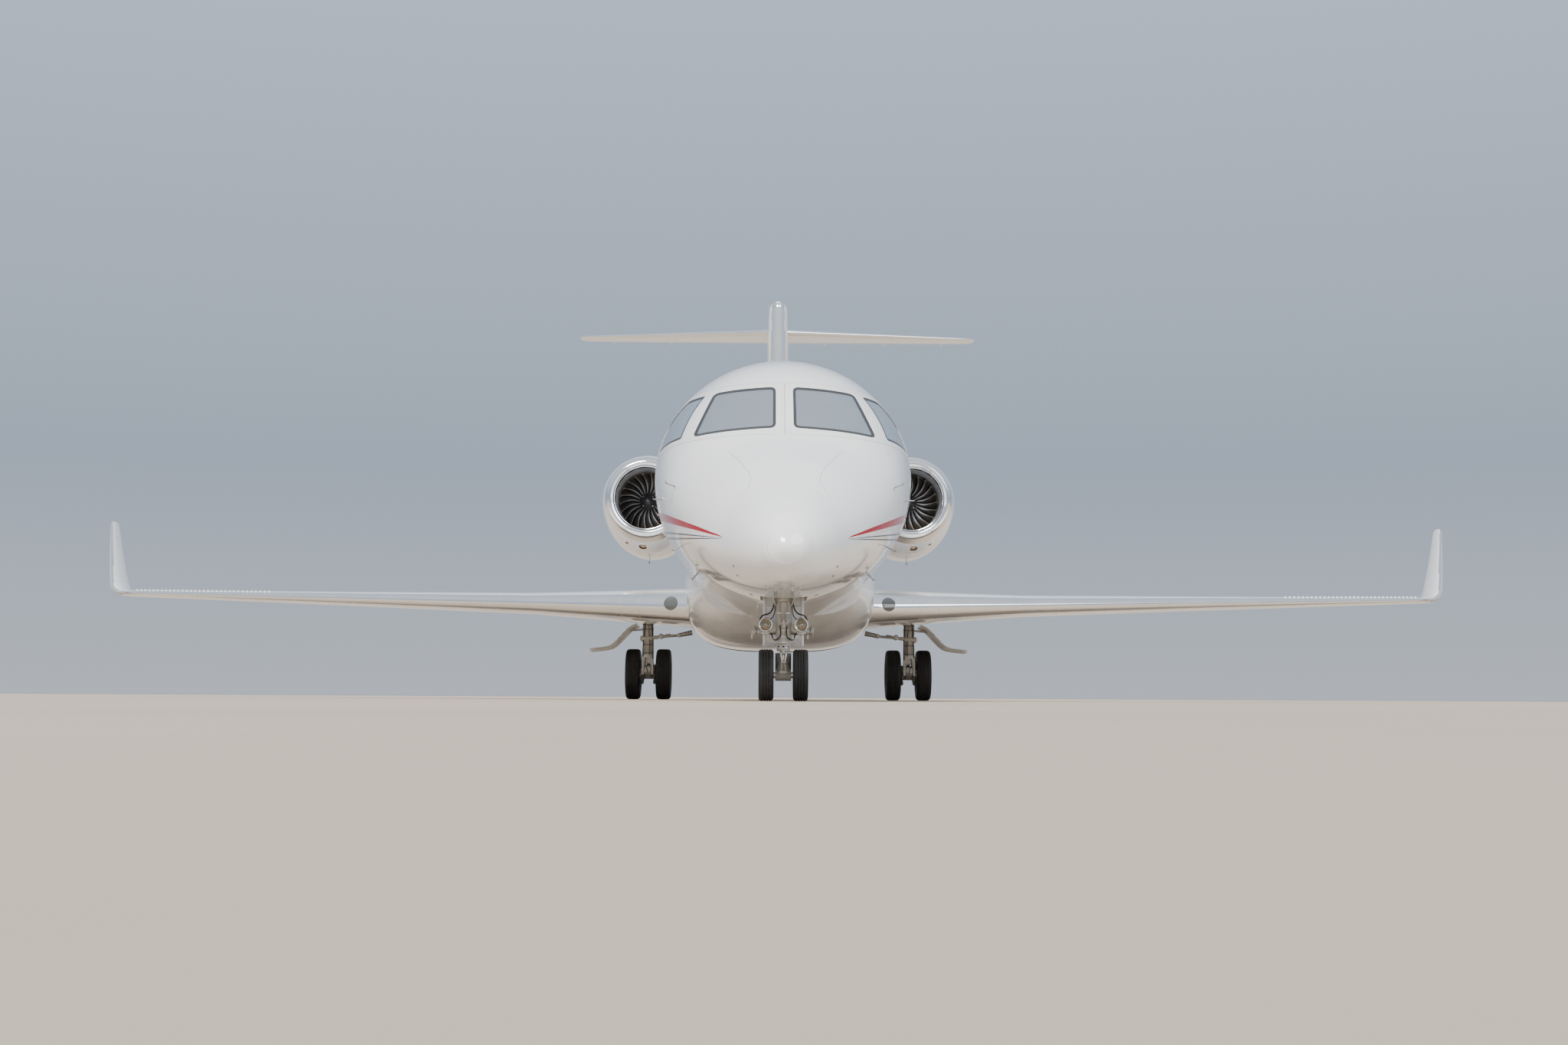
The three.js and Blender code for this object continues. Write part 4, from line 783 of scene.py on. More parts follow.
# %% [markdown]
# ## Fuselage sections
# The fuselage is four barrels with fine joints between them. Each is a closed skin with the lining's
# surface cut out of it. Cutting a glossy skin usually leaves small dents in its reflections, so the outer
# faces take their shading normals from the uncut skin. Faces deeper than two centimetres get the cabin's
# lining.

# %% Radome
radome = finish(body_loft("radome_skin", NOSE_START, RADOME_END - JOINT), "airframe",
                fuselage_paint, "radome")
true_normals(radome, guide)

# %% Forward fuselage with its windows, doorway and nose gear bay
BAY_FRONT, BAY_REAR, BAY_TOP, BAY_HALF, BAY_WALL = 2.02, 2.76, 1.2, 0.2, 0.03
COCKPIT_FRONT = 1.95
forward = body_loft("forward_skin", RADOME_END + JOINT, FORWARD_END - JOINT)
carve(forward, body_loft("hollow", COCKPIT_FRONT, FORWARD_END + 0.05, -WALL, 96))
carve(forward, block("bay_box", (-BAY_HALF - BAY_WALL, at(BAY_FRONT - BAY_WALL), 0.93),
                     (BAY_HALF + BAY_WALL, at(BAY_REAR + BAY_WALL), BAY_TOP + BAY_WALL)), "UNION")
openings = [block("bay", (-BAY_HALF, at(BAY_FRONT), 0.7), (BAY_HALF, at(BAY_REAR), BAY_TOP)),
            door_prism(DOOR_GAP),
            bar("hinge_room", (HINGE[0], at(DOOR_FRONT - DOOR_GAP), HINGE[1]),
                (HINGE[0], at(DOOR_REAR + DOOR_GAP), HINGE[1]), 0.026)]
for side, _ in SIDES:
    openings += [front_pane(side), side_pane(side)]
for opening in openings:
    carve(forward, opening)
finish(forward, "airframe", [fuselage_paint, lining, seal], "forward_fuselage")
lined(forward, middle=2)
true_normals(forward, guide)

# %% Cabin section
cabin = body_loft("cabin_skin", FORWARD_END + JOINT, CABIN_END - JOINT)
carve(cabin, body_loft("hollow", FORWARD_END - 0.05, CABIN_END - WALL, -WALL, 96))
for side, _ in SIDES:
    carve(cabin, joined("window_cutters", [cabin_pane(i, side) for i in range(WINDOW_COUNT)]))
finish(cabin, "airframe", [fuselage_paint, lining, paint], "cabin_fuselage")
lined(cabin, middle=2)
true_normals(cabin, guide)

# %% Aft fuselage
EXHAUST_Z, EXHAUST_RADIUS, EXHAUST_FRONT = 2.832, 0.118, 18.35
aft = body_loft("aft_skin", CABIN_END + JOINT, TAIL_END)
carve(aft, bar("pipe", (0, at(EXHAUST_FRONT), EXHAUST_Z), (0, at(TAIL_END + 0.1), EXHAUST_Z), EXHAUST_RADIUS,
               sides=64))
finish(aft, "airframe", [fuselage_paint, hot_metal, shadow], "aft_fuselage")
# The exhaust pipe's walls get hot metal, and its end wall the painted shade
for face in aft.data.polygons:
    off_axis = math.hypot(face.center.x, face.center.z - EXHAUST_Z)
    if off_axis < EXHAUST_RADIUS and face.center.y < at(TAIL_END - 0.01):
        face.material_index = 2 if face.center.y < at(EXHAUST_FRONT + 0.01) else 1
true_normals(aft, guide)
lip = turned("tail_exhaust_lip", [(-0.02, 0.116), (0.004, 0.116), (0.008, 0.119), (0.008, 0.128),
                                  (0.002, 0.131), (-0.0005, 0.128), (-0.001, 0.1175), (-0.02, 0.1175)],
             (0, at(TAIL_END), EXHAUST_Z), (0, 1, 0), 64, looped=True)
finish(lip, "airframe", hot_metal)

# %% [markdown]
# ## Cockpit glass
# A windscreen is a curved plate set a little below the skin, held by a dark seal. Plate and seal are slices
# of the fuselage's own shape between two offsets, cut out with the window outline, so they follow its curve
# exactly. The light metal band round all four panes carries two rows of screws along each edge.

# %% Panes and seals
plate = body_loft("glass_guide", 1.5, 4.6, -0.005, 180)
seal_plate = body_loft("seal_guide", 1.5, 4.6, -0.0035, 180)
for side, word in SIDES:
    for kind, outline, node_name in (("windscreen", front_pane, f"windscreen_{word}"),
                                     ("side_window", side_pane, f"side_window_{word}")):
        pane = copied(plate, f"{kind}_glass_{word}")
        carve(pane, body_loft("under", 1.4, 4.7, -0.027, 180))
        ring = copied(seal_plate, f"{kind}_seal_{word}")
        carve(ring, body_loft("under", 1.4, 4.7, -0.029, 180))
        carve(pane, outline(side, -0.004), "INTERSECT")
        finish(pane, "airframe", windscreen_glass, node_name)
        true_normals(pane, plate)
        carve(ring, outline(side, -0.0005), "INTERSECT")
        carve(ring, outline(side, -0.025))
        finish(ring, "airframe", seal)

# %% Cabin panes
cabin_plate = body_loft("cabin_glass_guide", 5.6, 11.2, -0.009)
for side, word in SIDES:
    panes = copied(cabin_plate, f"cabin_panes_{word}")
    carve(panes, body_loft("under", 5.5, 11.3, -0.017))
    carve(panes, joined("cutters", [cabin_pane(i, side, -0.0005) for i in range(WINDOW_COUNT)]), "INTERSECT")
    finish(panes, "airframe", cabin_glass, f"cabin_windows_{word}")
    true_normals(panes, cabin_plate)
    surround = body_loft(f"window_surrounds_{word}", 5.6, 11.2, -0.02)
    carve(surround, body_loft("under", 5.5, 11.3, -WALL - 0.006))
    carve(surround, joined("cutters", [cabin_pane(i, side, -0.0005) for i in range(WINDOW_COUNT)]),
          "INTERSECT")
    carve(surround, joined("cutters", [cabin_pane(i, side, -0.022) for i in range(WINDOW_COUNT)]))
    finish(surround, "airframe", lining)

# %% The screws of the windscreen band
BAND_LOW, BAND_TOP, BAND_REAR = 2.235, 2.84, 4.1
ROW_INSETS = (0.016, 0.040)     # from the band's edges to its rows of screws
POST_ROWS = (0.018, 0.045)      # from the middle to the rows on the post between the windscreens
SCREW_PITCH = 0.034


def screw_row(z, start):
    """Spots along the skin at one height, evenly spaced, on one side."""
    spots, s, last = [], start, None
    while s < BAND_REAR - 0.02:
        angle = angle_at(s, z)
        if angle is not None:
            here = body_point(s, angle)
            if last is None or (here - last).length >= SCREW_PITCH:
                spots.append((s, angle))
                last = here
        s += 0.002
    return spots


def body_normal(station, angle):
    ahead = body_point(station + 0.01, angle) - body_point(station - 0.01, angle)
    around = body_point(station, angle + 0.01) - body_point(station, angle - 0.01)
    normal = around.cross(ahead).normalized()
    middle = Vector((0, at(station), frame_at(station)[3]))
    return normal if normal.dot(body_point(station, angle) - middle) > 0 else -normal


def crown_station(z):
    """The station at which the crown reaches a height."""
    return min(np.arange(0.8, 4.0, 0.001), key=lambda s: abs(body_point(s, math.pi / 2).z - z))


def angle_beside(station, x):
    """The angle at which the skin near the crown is x beside the middle."""
    return min(np.linspace(1.2, math.pi / 2, 400), key=lambda a: abs(body_point(station, a).x - x))


spots = []
for z in [BAND_LOW + inset for inset in ROW_INSETS] + [BAND_TOP - inset for inset in ROW_INSETS]:
    spots += screw_row(z, crown_station(z))
post_front, post_rear = crown_station(BAND_LOW), crown_station(BAND_TOP)
for x in POST_ROWS:
    spots += [(s, angle_beside(s, x)) for s in np.arange(post_front + 0.06, post_rear - 0.04, SCREW_PITCH)]
print("screws on each side:", len(spots))
bpy.ops.mesh.primitive_cone_add(vertices=12, radius1=0.0055, radius2=0.0042, depth=0.0016)
screw = settle(bpy.context.object)
screws = []
for station, angle in spots:
    foot, normal = body_point(station, angle), body_normal(station, angle)
    place = Matrix.Translation(foot) @ normal.to_track_quat("Z", "Y").to_matrix().to_4x4()
    screws.append(copied(screw, "screw", place))
    if abs(foot.x) > 0.012:
        screws.append(copied(screws[-1], "screw", MIRROR))
bpy.data.objects.remove(screw)
finish(joined("windscreen_screws", screws), "airframe", gear_grey)

# %% [markdown]
# ## The entry door
# The door is a slice of the fuselage that hangs on a hinge at the sill, and its inner side is the stair.
# The treads are boards with a carpet face and a bright nose, held between two side walls, with a rail on
# each side.

# %% Door and stair
door = body_loft("door_skin", 3.5, FORWARD_END, 0.0)
carve(door, body_loft("under", 3.4, FORWARD_END + 0.05, -0.045))
carve(door, door_prism(), "INTERSECT")
finish(door, "entry_door", [fuselage_paint, lining], "entry_door")
lined(door)
true_normals(door, guide)

# The stair's line inside the closed door, as distance from the middle and height. The treads are level once
# the door hangs open at 120 degrees, so here they stand at 60.
STAIR_LOW, STAIR_TOP = Vector((0.875, 1.40)), Vector((0.985, 2.60))
TREAD_TILT = 60
TREAD_HALF = 0.013      # of its thickness
STAIR_INSET = 0.155     # from the door's front and rear edge to the treads
front, rear = at(DOOR_FRONT + STAIR_INSET), at(DOOR_REAR - STAIR_INSET)
treads, noses = [], []
for share in (0.09, 0.35, 0.61, 0.87):
    foot = STAIR_LOW.lerp(STAIR_TOP, share)
    place = Matrix.Translation((foot.x, 0, foot.y)) @ Matrix.Rotation(math.radians(TREAD_TILT), 4, "Y")
    treads.append(block("tread", (-0.098, front, -TREAD_HALF), (0.10, rear, TREAD_HALF), 0.004))
    noses.append(bar("tread_nose", (-0.098, front + 0.001, 0), (-0.098, rear - 0.001, 0), 0.0145, sides=20,
                     edge=0.002))
    treads[-1].data.transform(place)
    noses[-1].data.transform(place)
finish(joined("stair_treads", treads), "entry_door", carpet)
finish(joined("stair_noses", noses), "entry_door", bright_metal)
cabin_half, cabin_waist = BODY[12][1], BODY[12][4]
side_outline = [(math.sqrt(cabin_half ** 2 - (z - cabin_waist) ** 2) - 0.075, z)
                for z in np.linspace(1.36, 2.64, 16)]
side_outline += [(0.925, 2.64), (0.815, 1.36)]
walls = [bevel(prism("stair_wall", side_outline, "y", y, y + 0.014), 0.002) for y in (front - 0.014, rear)]
finish(joined("stair_walls", walls), "entry_door", lining)
rails = [tube("stair_rail", [(0.818, y, 1.40), (0.800, y, 1.46), (0.868, y, 2.20), (0.905, y, 2.56),
                             (0.920, y, 2.60)], 0.009) for y in (front - 0.007, rear + 0.007)]
finish(joined("stair_rails", rails), "entry_door", steel)
finish(block("door_handle", (1.2, at(4.9), 2.06), (1.2374, at(5.0), 2.12), 0.006),
       "entry_door", steel)
finish(bar("door_hinge_pin", (HINGE[0], at(DOOR_FRONT - 0.025), HINGE[1]),
           (HINGE[0], at(DOOR_REAR + 0.025), HINGE[1]), 0.0065, edge=0.001),
       "entry_door", steel)

# %% [markdown]
# ## Belly fairing
# The wing passes under the cabin, and a fairing smooths the join. Its frames are rounded rectangles, drawn
# as a superellipse. The fuselage is cut out of it, so that nothing of it stands in the cabin, and the main
# wheels' wells are cut from below.

# %% Fairing and wheel wells
# Columns: station, half width, lowest point
FAIRING = [[6.85, 0.850, 0.905], [7.5, 1.02, 0.80], [8.2, 1.085, 0.70], [9.2, 1.095, 0.625],
           [10.4, 1.095, 0.61], [11.7, 1.085, 0.64], [12.7, 1.01, 0.80], [13.6, 0.86, 1.13]]
FAIRING_TOP, SQUARENESS = 1.72, 3.2
WELL_NEAR, WELL_FAR, WELL_FRONT, WELL_REAR, WELL_TOP = 0.11, 0.9, 10.48, 11.32, 0.8
CLOSE = 0.005       # faces this close to a cut's side belong to the cut
FAIRING_SIDES = 120


def fairing_ring(station):
    half, low = smooth(FAIRING, 1, station), smooth(FAIRING, 2, station)
    middle, rise = (FAIRING_TOP + low) / 2, (FAIRING_TOP - low) / 2

    def bend(v):
        return math.copysign(abs(v) ** (2 / SQUARENESS), v)

    angles = [2 * math.pi * i / FAIRING_SIDES for i in range(FAIRING_SIDES)]
    return [(half * bend(math.cos(a)), at(station), middle + rise * bend(math.sin(a))) for a in angles]


rows = np.linspace(FAIRING[0][0], FAIRING[-1][0], 90)
fairing_guide = wrap("fairing_guide", [fairing_ring(s) for s in rows])
fairing = copied(fairing_guide, "belly_fairing_skin")
carve(fairing, body_loft("body", RADOME_END, TAIL_END, 0.0005, 96))
for side, _ in SIDES:
    near, far = sorted((side * WELL_NEAR, side * WELL_FAR))
    carve(fairing, block("well", (near, at(WELL_FRONT), 0.5), (far, at(WELL_REAR), WELL_TOP)))
finish(fairing, "airframe", [fuselage_paint, primer], "belly_fairing")
for face in fairing.data.polygons:
    beside = WELL_NEAR - CLOSE < abs(face.center.x) < WELL_FAR + CLOSE
    along = at(WELL_FRONT - 2 * CLOSE) < face.center.y < at(WELL_REAR + 2 * CLOSE)
    if beside and along and (abs(face.normal.z) < 0.05 or face.center.z > WELL_TOP - 2 * CLOSE):
        face.material_index = 1
true_normals(fairing, fairing_guide)
bpy.data.objects.remove(fairing_guide)

# %% [markdown]
# ## Wings
# Each section of a wing is the same curve: a round nose, the thickest place at a third, and a thin tail. A
# wing is a row of such sections. The polished leading edge is the first part of the chord with another
# material, so the sections have a point exactly there. Flaps and ailerons are cut off along their hinges:
# each has a round nose that turns in a hollow of the wing.

# %% Wing sections
# Columns: distance from the middle, leading edge station, chord, thickness ratio, height, turn of the
# section
WING = [[0.7, 7.92, 4.13, 0.118, 1.035, 0], [3.0, 9.416, 2.484, 0.104, 1.15, 0],
        [9.12, 13.39, 1.04, 0.085, 1.44, 0]]
WINGLET = [[9.1204, 13.391, 1.038, 0.085, 1.44, 0], [9.255, 13.48, 0.985, 0.085, 1.458, 20],
           [9.36, 13.59, 0.915, 0.085, 1.53, 48], [9.43, 13.73, 0.84, 0.085, 1.65, 66],
           [9.58, 14.15, 0.60, 0.085, 2.08, 70], [9.70, 14.52, 0.40, 0.07, 2.47, 70],
           [9.722, 14.64, 0.28, 0.07, 2.545, 70]]
TAIL = [[0.06, 17.48, 1.96, 0.085, 5.925, 0], [3.29, 19.386, 0.93, 0.08, 6.015, 0],
        [3.38, 19.48, 0.76, 0.05, 6.018, 0]]
# Columns: height, leading edge station, chord, thickness ratio
FIN = [[2.85, 13.3, 5.0, 0.066], [3.36, 14.0, 4.35, 0.082], [4.3, 15.15, 3.42, 0.1],
       [5.7, 16.87, 2.23, 0.149], [6.26, 17.48, 1.8, 0.172], [6.4, 17.58, 1.64, 0.178],
       [6.46, 17.66, 1.48, 0.13]]
WING_CAMBER, TAIL_CAMBER = 0.012, -0.01
EDGE_SHARE = 0.07
SECTION_STEPS = 26
SURFACE_GAP = 0.009


def half_thickness(share, ratio):
    """Half the thickness of a section at a share of its chord, as a share of the chord."""
    return 5 * ratio * (0.2969 * math.sqrt(share) - 0.126 * share - 0.3516 * share ** 2 + 0.2843 * share ** 3
                        - 0.1015 * share ** 4) + 0.0016


# Shares of the chord, close together at both ends, with one where the polished edge stops
even_turns = [math.pi * i / SECTION_STEPS for i in range(SECTION_STEPS + 1)]
SHARES = sorted([(1 - math.cos(turn)) / 2 for turn in even_turns] + [EDGE_SHARE])


def section(chord, ratio, camber):
    """A closed wing section. Rows: distance along the chord, height."""
    def line(share):
        return camber * 4 * share * (1 - share)

    upper = [(s * chord, (line(s) + half_thickness(s, ratio)) * chord) for s in reversed(SHARES)]
    lower = [(s * chord, (line(s) - half_thickness(s, ratio)) * chord) for s in SHARES[1:]]
    return upper + lower


def span_ring(side, row, camber):
    x, station, chord, ratio, z, cant = row
    tilt = math.radians(cant)
    return [(side * (x - h * math.sin(tilt)), at(station + along), z + h * math.cos(tilt))
            for along, h in section(chord, ratio, camber)]


def finer(rows, steps, curve):
    """Rows between the rows: on straight lines or on a smooth curve."""
    numbered = [[i, *row] for i, row in enumerate(rows)]
    places = np.linspace(0, len(rows) - 1, (len(rows) - 1) * steps + 1)
    return [[curve(numbered, column, p) for column in range(1, len(numbered[0]))] for p in places]


def wing_loft(name, side, rows, camber, steps=10, curve=linear):
    return wrap(name, [span_ring(side, row, camber) for row in finer(rows, steps, curve)])


def edge_faces(piece, rows, axis):
    """Gives the leading edge of a wing another material. The axis is that of the span: 0 or 2."""
    for face in piece.data.polygons:
        span = abs(face.center[axis])
        if rows[0][0] <= span <= rows[-1][0]:
            behind = face.center.y - at(linear(rows, 1, span))
            if behind < EDGE_SHARE * linear(rows, 2, span) and abs(face.normal[axis]) < 0.8:
                face.material_index = 1


# %% Cutting a surface off along its hinge
def hinge_line(side, rows, start, end, share, camber):
    ends = []
    for x in (start, end):
        station, chord, ratio, z = (linear(rows, column, x) for column in (1, 2, 3, 4))
        ends.append((Vector((side * x, at(station + share * chord),
                             z + camber * 4 * share * (1 - share) * chord)),
                     half_thickness(share, ratio) * chord))
    return ends


PIN_RADIUS, PIN_OUT, PIN_IN = 0.008, 0.029, 0.02       # a hinge pin, and how far it reaches both ways


def split_surface(name, whole, ends):
    """Cuts the part behind a hinge line off, gives it a round nose and hinge pins, and hollows the wing."""
    (start, half_start), (end, half_end) = ends
    u = (end - start).normalized()
    v = (Vector((0, 1, 0)) - u * u.y).normalized()
    place = Matrix((u, v, u.cross(v))).transposed().to_4x4()
    place.translation = start

    def behind(margin):
        box = block("behind", (-margin, 0, -0.45), ((end - start).length + margin, 3, 0.45))
        box.data.transform(place)
        return box

    nose = bar("nose", start, end, half_start - 0.001, half_end - 0.001, 64)
    moving = copied(whole, name)
    carve(moving, carve(behind(0), nose, "UNION"), "INTERSECT")
    gap = SURFACE_GAP
    carve(whole, behind(gap))
    carve(whole, bar("hollow", start - u * gap, end + u * gap, half_start + gap, half_end + gap, 64))
    pins = [bar("pin", start - u * PIN_OUT, start + u * PIN_IN, PIN_RADIUS, sides=16),
            bar("pin", end - u * PIN_IN, end + u * PIN_OUT, PIN_RADIUS, sides=16)]
    return joined(name, [moving, *pins])


# %% Left and right wing with flaps and ailerons
# Values: inner end, outer end, share of the chord at the hinge
SURFACES = {"flap_inboard": (1.33, 2.93, 0.76), "flap_outboard": (3.42, 6.15, 0.74),
            "aileron": (6.65, 8.70, 0.74)}
LENS_INNER, LENS_OUTER, LENS_TOP = 9.13, 9.30, 1.52     # the lamp in the bend of the winglet
for side, word in SIDES:
    wing_guide = wing_loft("wing_guide", side, WING, WING_CAMBER, 14)
    wing = copied(wing_guide, f"wing_skin_{word}")
    for kind, (start, end, share) in SURFACES.items():
        ends = hinge_line(side, WING, start, end, share, WING_CAMBER)
        panel = split_surface(f"{kind}_skin_{word}", wing, ends)
        finish(panel, f"{kind}_{word}", paint, f"{kind}_{word}")
        true_normals(panel, wing_guide)
    finish(wing, "airframe", [paint, bright_metal], f"wing_{word}")
    edge_faces(wing, WING, 0)
    true_normals(wing, wing_guide)
    bpy.data.objects.remove(wing_guide)
    winglet = wing_loft(f"winglet_skin_{word}", side, WINGLET, WING_CAMBER, 8, smooth)
    finish(winglet, "airframe", [paint, bright_metal, ribbed_glass], f"winglet_{word}")
    winglet_rows = finer(WINGLET, 8, smooth)
    for face in winglet.data.polygons:
        out, back, up = abs(face.center.x), face.center.y, face.center.z
        nearest = min(winglet_rows, key=lambda row: (row[0] - out) ** 2 + (row[4] - up) ** 2)
        if back - at(nearest[1]) < EDGE_SHARE * nearest[2]:
            face.material_index = 2 if LENS_INNER < out < LENS_OUTER and up < LENS_TOP else 1

# %% [markdown]
# ## Tail
# The fin carries the tailplane on its top, which keeps it out of the engines' wake. A rounded fairing
# covers the crossing. The fin's sections lie flat, one above the other, otherwise it is made like a wing.

# %% Fin and rudder
def fin_ring(row):
    z, station, chord, ratio = row
    return [(h, at(station + along), z) for along, h in section(chord, ratio, 0)]


fin_guide = wrap("fin_guide", [fin_ring(row) for row in finer(FIN, 8, smooth)])
fin = copied(fin_guide, "fin_skin")
RUDDER_SHARE, RUDDER_LOW, RUDDER_TOP = 0.7, 3.48, 5.56
rudder_ends = []
for z in (RUDDER_LOW, RUDDER_TOP):
    station, chord, ratio = (linear(FIN, column, z) for column in (1, 2, 3))
    rudder_ends.append((Vector((0, at(station + RUDDER_SHARE * chord), z)),
                        half_thickness(RUDDER_SHARE, ratio) * chord))
rudder = split_surface("rudder_skin", fin, rudder_ends)
finish(rudder, "rudder", paint, "rudder")
true_normals(rudder, fin_guide)
finish(fin, "airframe", [paint, bright_metal], "fin")
edge_faces(fin, FIN, 2)
true_normals(fin, fin_guide)
bpy.data.objects.remove(fin_guide)

# %% Tailplane, elevators and the fairing on the crossing
BULLET_PLACE, BULLET_HALF = Vector((0, at(18.75), 6.11)), Vector((0.171, 1.298, 0.239))
ELEVATOR = (0.48, 3.15, 0.69)       # inner end, outer end, share of the chord at the hinge
BRACKET = [(-0.13, 0.014), (-0.02, -0.030), (0.06, -0.030), (0.085, 0.014)]
BRACKET_SHARES, BRACKET_HALF = (0.12, 0.5, 0.88), 0.011
TRIM_DEGREES = 4.5
pick(fin)
bpy.ops.mesh.primitive_uv_sphere_add(segments=64, ring_count=48, radius=1, rotation=(math.radians(90), 0, 0))
bullet = settle(bpy.context.object)
bullet.name = "tail_fairing"
for vertex in bullet.data.vertices:
    x, y, z = vertex.co
    pinch = 1 - 0.12 * max(y, 0) ** 2
    vertex.co = BULLET_PLACE + Vector((x * pinch, y, z * pinch)) * BULLET_HALF
finish(bullet, "airframe", paint, angle=60)
TRIM_PIVOT = Vector((0, at(17.5), 5.925))
turn = Matrix.Rotation(math.radians(TRIM_DEGREES), 4, "X")
trim = Matrix.Translation(TRIM_PIVOT) @ turn @ Matrix.Translation(-TRIM_PIVOT)
for side, word in SIDES:
    tail_guide = wing_loft("tail_guide", side, TAIL, TAIL_CAMBER, 12)
    tail_guide.data.transform(trim)
    tail = copied(tail_guide, f"tailplane_skin_{word}")
    ends = [(trim @ end, half) for end, half in hinge_line(side, TAIL, *ELEVATOR, TAIL_CAMBER)]
    elevator = split_surface(f"elevator_skin_{word}", tail, ends)
    finish(elevator, f"elevator_{word}", paint, f"elevator_{word}")
    true_normals(elevator, tail_guide)
    finish(tail, "airframe", [paint, bright_metal], "tailplane")
    edge_faces(tail, TAIL, 0)
    brackets = []
    (inner, inner_half), (outer, outer_half) = ends
    for share in BRACKET_SHARES:
        half = inner_half + (outer_half - inner_half) * share
        place = inner.lerp(outer, share) - Vector((0, 0, 0.7 * half))
        outline = [(place.y + y, place.z + z) for y, z in rounded(BRACKET, 0.008, 3)]
        bracket = prism("bracket", outline, "x", place.x - BRACKET_HALF, place.x + BRACKET_HALF)
        brackets.append(bevel(bracket, 0.003))
    finish(joined(f"elevator_brackets_{word}", brackets), "airframe", paint)
    true_normals(tail, tail_guide)
    bpy.data.objects.remove(tail_guide)

# %% [markdown]
# ## Engines
# A nacelle is one closed skin: it runs back along the outside, turns in at the tail, and comes forward
# through the duct to the round lip. It is a little deeper below its axis, where the accessories are.
# Materials change with the station: polished lip, white cowl, a pierced acoustic liner, a bronze ring
# before the fan, hot metal aft.

# %% Nacelles
ENGINE_X, ENGINE_Z = 1.79, 2.706
# Columns: station, radius, how much deeper it is below the axis
NACELLE = [[12.203, 0.487, 0.0], [12.212, 0.500, 0.004], [12.26, 0.532, 0.018], [12.42, 0.578, 0.05],
           [12.8, 0.630, 0.082], [13.4, 0.650, 0.094], [14.2, 0.630, 0.084], [15.0, 0.545, 0.050],
           [15.9, 0.390, 0.0]]
# Columns: station, radius
DUCT = [[12.2015, 0.474], [12.206, 0.462], [12.235, 0.433], [12.33, 0.413], [12.96, 0.414], [13.4, 0.56],
        [14.2, 0.56], [15.895, 0.352]]
NACELLE_SIDES = 96


def nacelle_ring(side, station, radius, deeper=0.0, sides=NACELLE_SIDES):
    ring = []
    for i in range(sides):
        angle = 2 * math.pi * i / sides
        rise = radius + (deeper if math.sin(angle) < 0 else 0)
        ring.append((side * ENGINE_X + radius * math.cos(angle), at(station),
                     ENGINE_Z + rise * math.sin(angle)))
    return ring


LIP_FRONT, LIP_REAR, LINER_REAR, RING_REAR, NOZZLE_FRONT = 12.206, 12.36, 12.79, 12.85, 15.7
LIP_METAL, LINER, RING, CASE, NOZZLE = 1, 2, 3, 4, 5       # places in the nacelle's list of finishes
# The inspection lamp under each inlet sits at the bottom of a slanting well
LAMP_SLANT, WELL_RADIUS = 0.35, 0.052
LAMP_AXIS = Vector((0, math.cos(LAMP_SLANT), math.sin(LAMP_SLANT)))
LAMP_SPOT = {word: Vector((side * (ENGINE_X + 0.05), at(12.56), ENGINE_Z - 0.622)) for side, word in SIDES}
for side, word in SIDES:
    rings = [nacelle_ring(side, *row) for row in finer(NACELLE, 6, smooth)]
    rings += [nacelle_ring(side, *row) for row in reversed(finer(DUCT, 6, smooth))]
    nacelle = wrap(f"nacelle_skin_{word}", rings, looped=True)
    carve(nacelle, bar("lamp_well", LAMP_SPOT[word] - LAMP_AXIS * 0.12, LAMP_SPOT[word] + LAMP_AXIS * 0.05,
                       WELL_RADIUS, sides=40, edge=0.004))
    finish(nacelle, "airframe", [paint, lip_metal, liner, bronze, core_metal, hot_metal],
           f"nacelle_{word}")
    for face in nacelle.data.polygons:
        station = face.center.y + LENGTH / 2
        radius = math.hypot(face.center.x - side * ENGINE_X, face.center.z - ENGINE_Z)
        halfway = 0.5 * (linear(NACELLE, 1, station) + linear(DUCT, 1, station))
        outside = radius > halfway and station > LIP_FRONT
        off_well = (face.center - LAMP_SPOT[word]).cross(LAMP_AXIS).length
        if station < LIP_REAR:
            face.material_index = LIP_METAL
        elif off_well < WELL_RADIUS + 0.0005 and (face.center - LAMP_SPOT[word]).length < 0.2:
            face.material_index = RING
        elif outside:
            face.material_index = NOZZLE if station > NOZZLE_FRONT else 0
        else:
            face.material_index = LINER if station < LINER_REAR else RING if station < RING_REAR else CASE

# %% Pylons
for side, word in SIDES:
    rows = [[0.5, 13.05, 2.5, 0.09, 2.56, 0], [1.8, 13.15, 2.3, 0.09, 2.70, 0]]
    pylon = wing_loft(f"pylon_skin_{word}", side, rows, 0)
    carve(pylon, body_loft("body", CABIN_END - 0.2, 17.0, -0.02, 96))
    carve(pylon, wrap("cowl", [nacelle_ring(side, row[0], row[1] - 0.01, row[2], 48)
                               for row in finer(NACELLE, 2, smooth)]))
    finish(pylon, "airframe", [paint, bright_metal], f"pylon_{word}")

# %% [markdown]
# ## Fans
# A fan blade is a thin curved plate. At the root it stands nearly along the axis and at the tip nearly
# across it, and its middle sweeps back and forward again. One blade is made as a wrapped grid, the other
# ones are copies turned about the axis. The spinner is a profile turned round, with four bright bolts.

# %% One blade
FAN_STATION, FAN_BLADES, FAN_TIP, FAN_ROOT = 12.87, 22, 0.402, 0.10
BLADE_ROWS, BLADE_POINTS = 15, 9
ROOT_LEAN, TIP_LEAN = 22, 62        # degrees from the axis


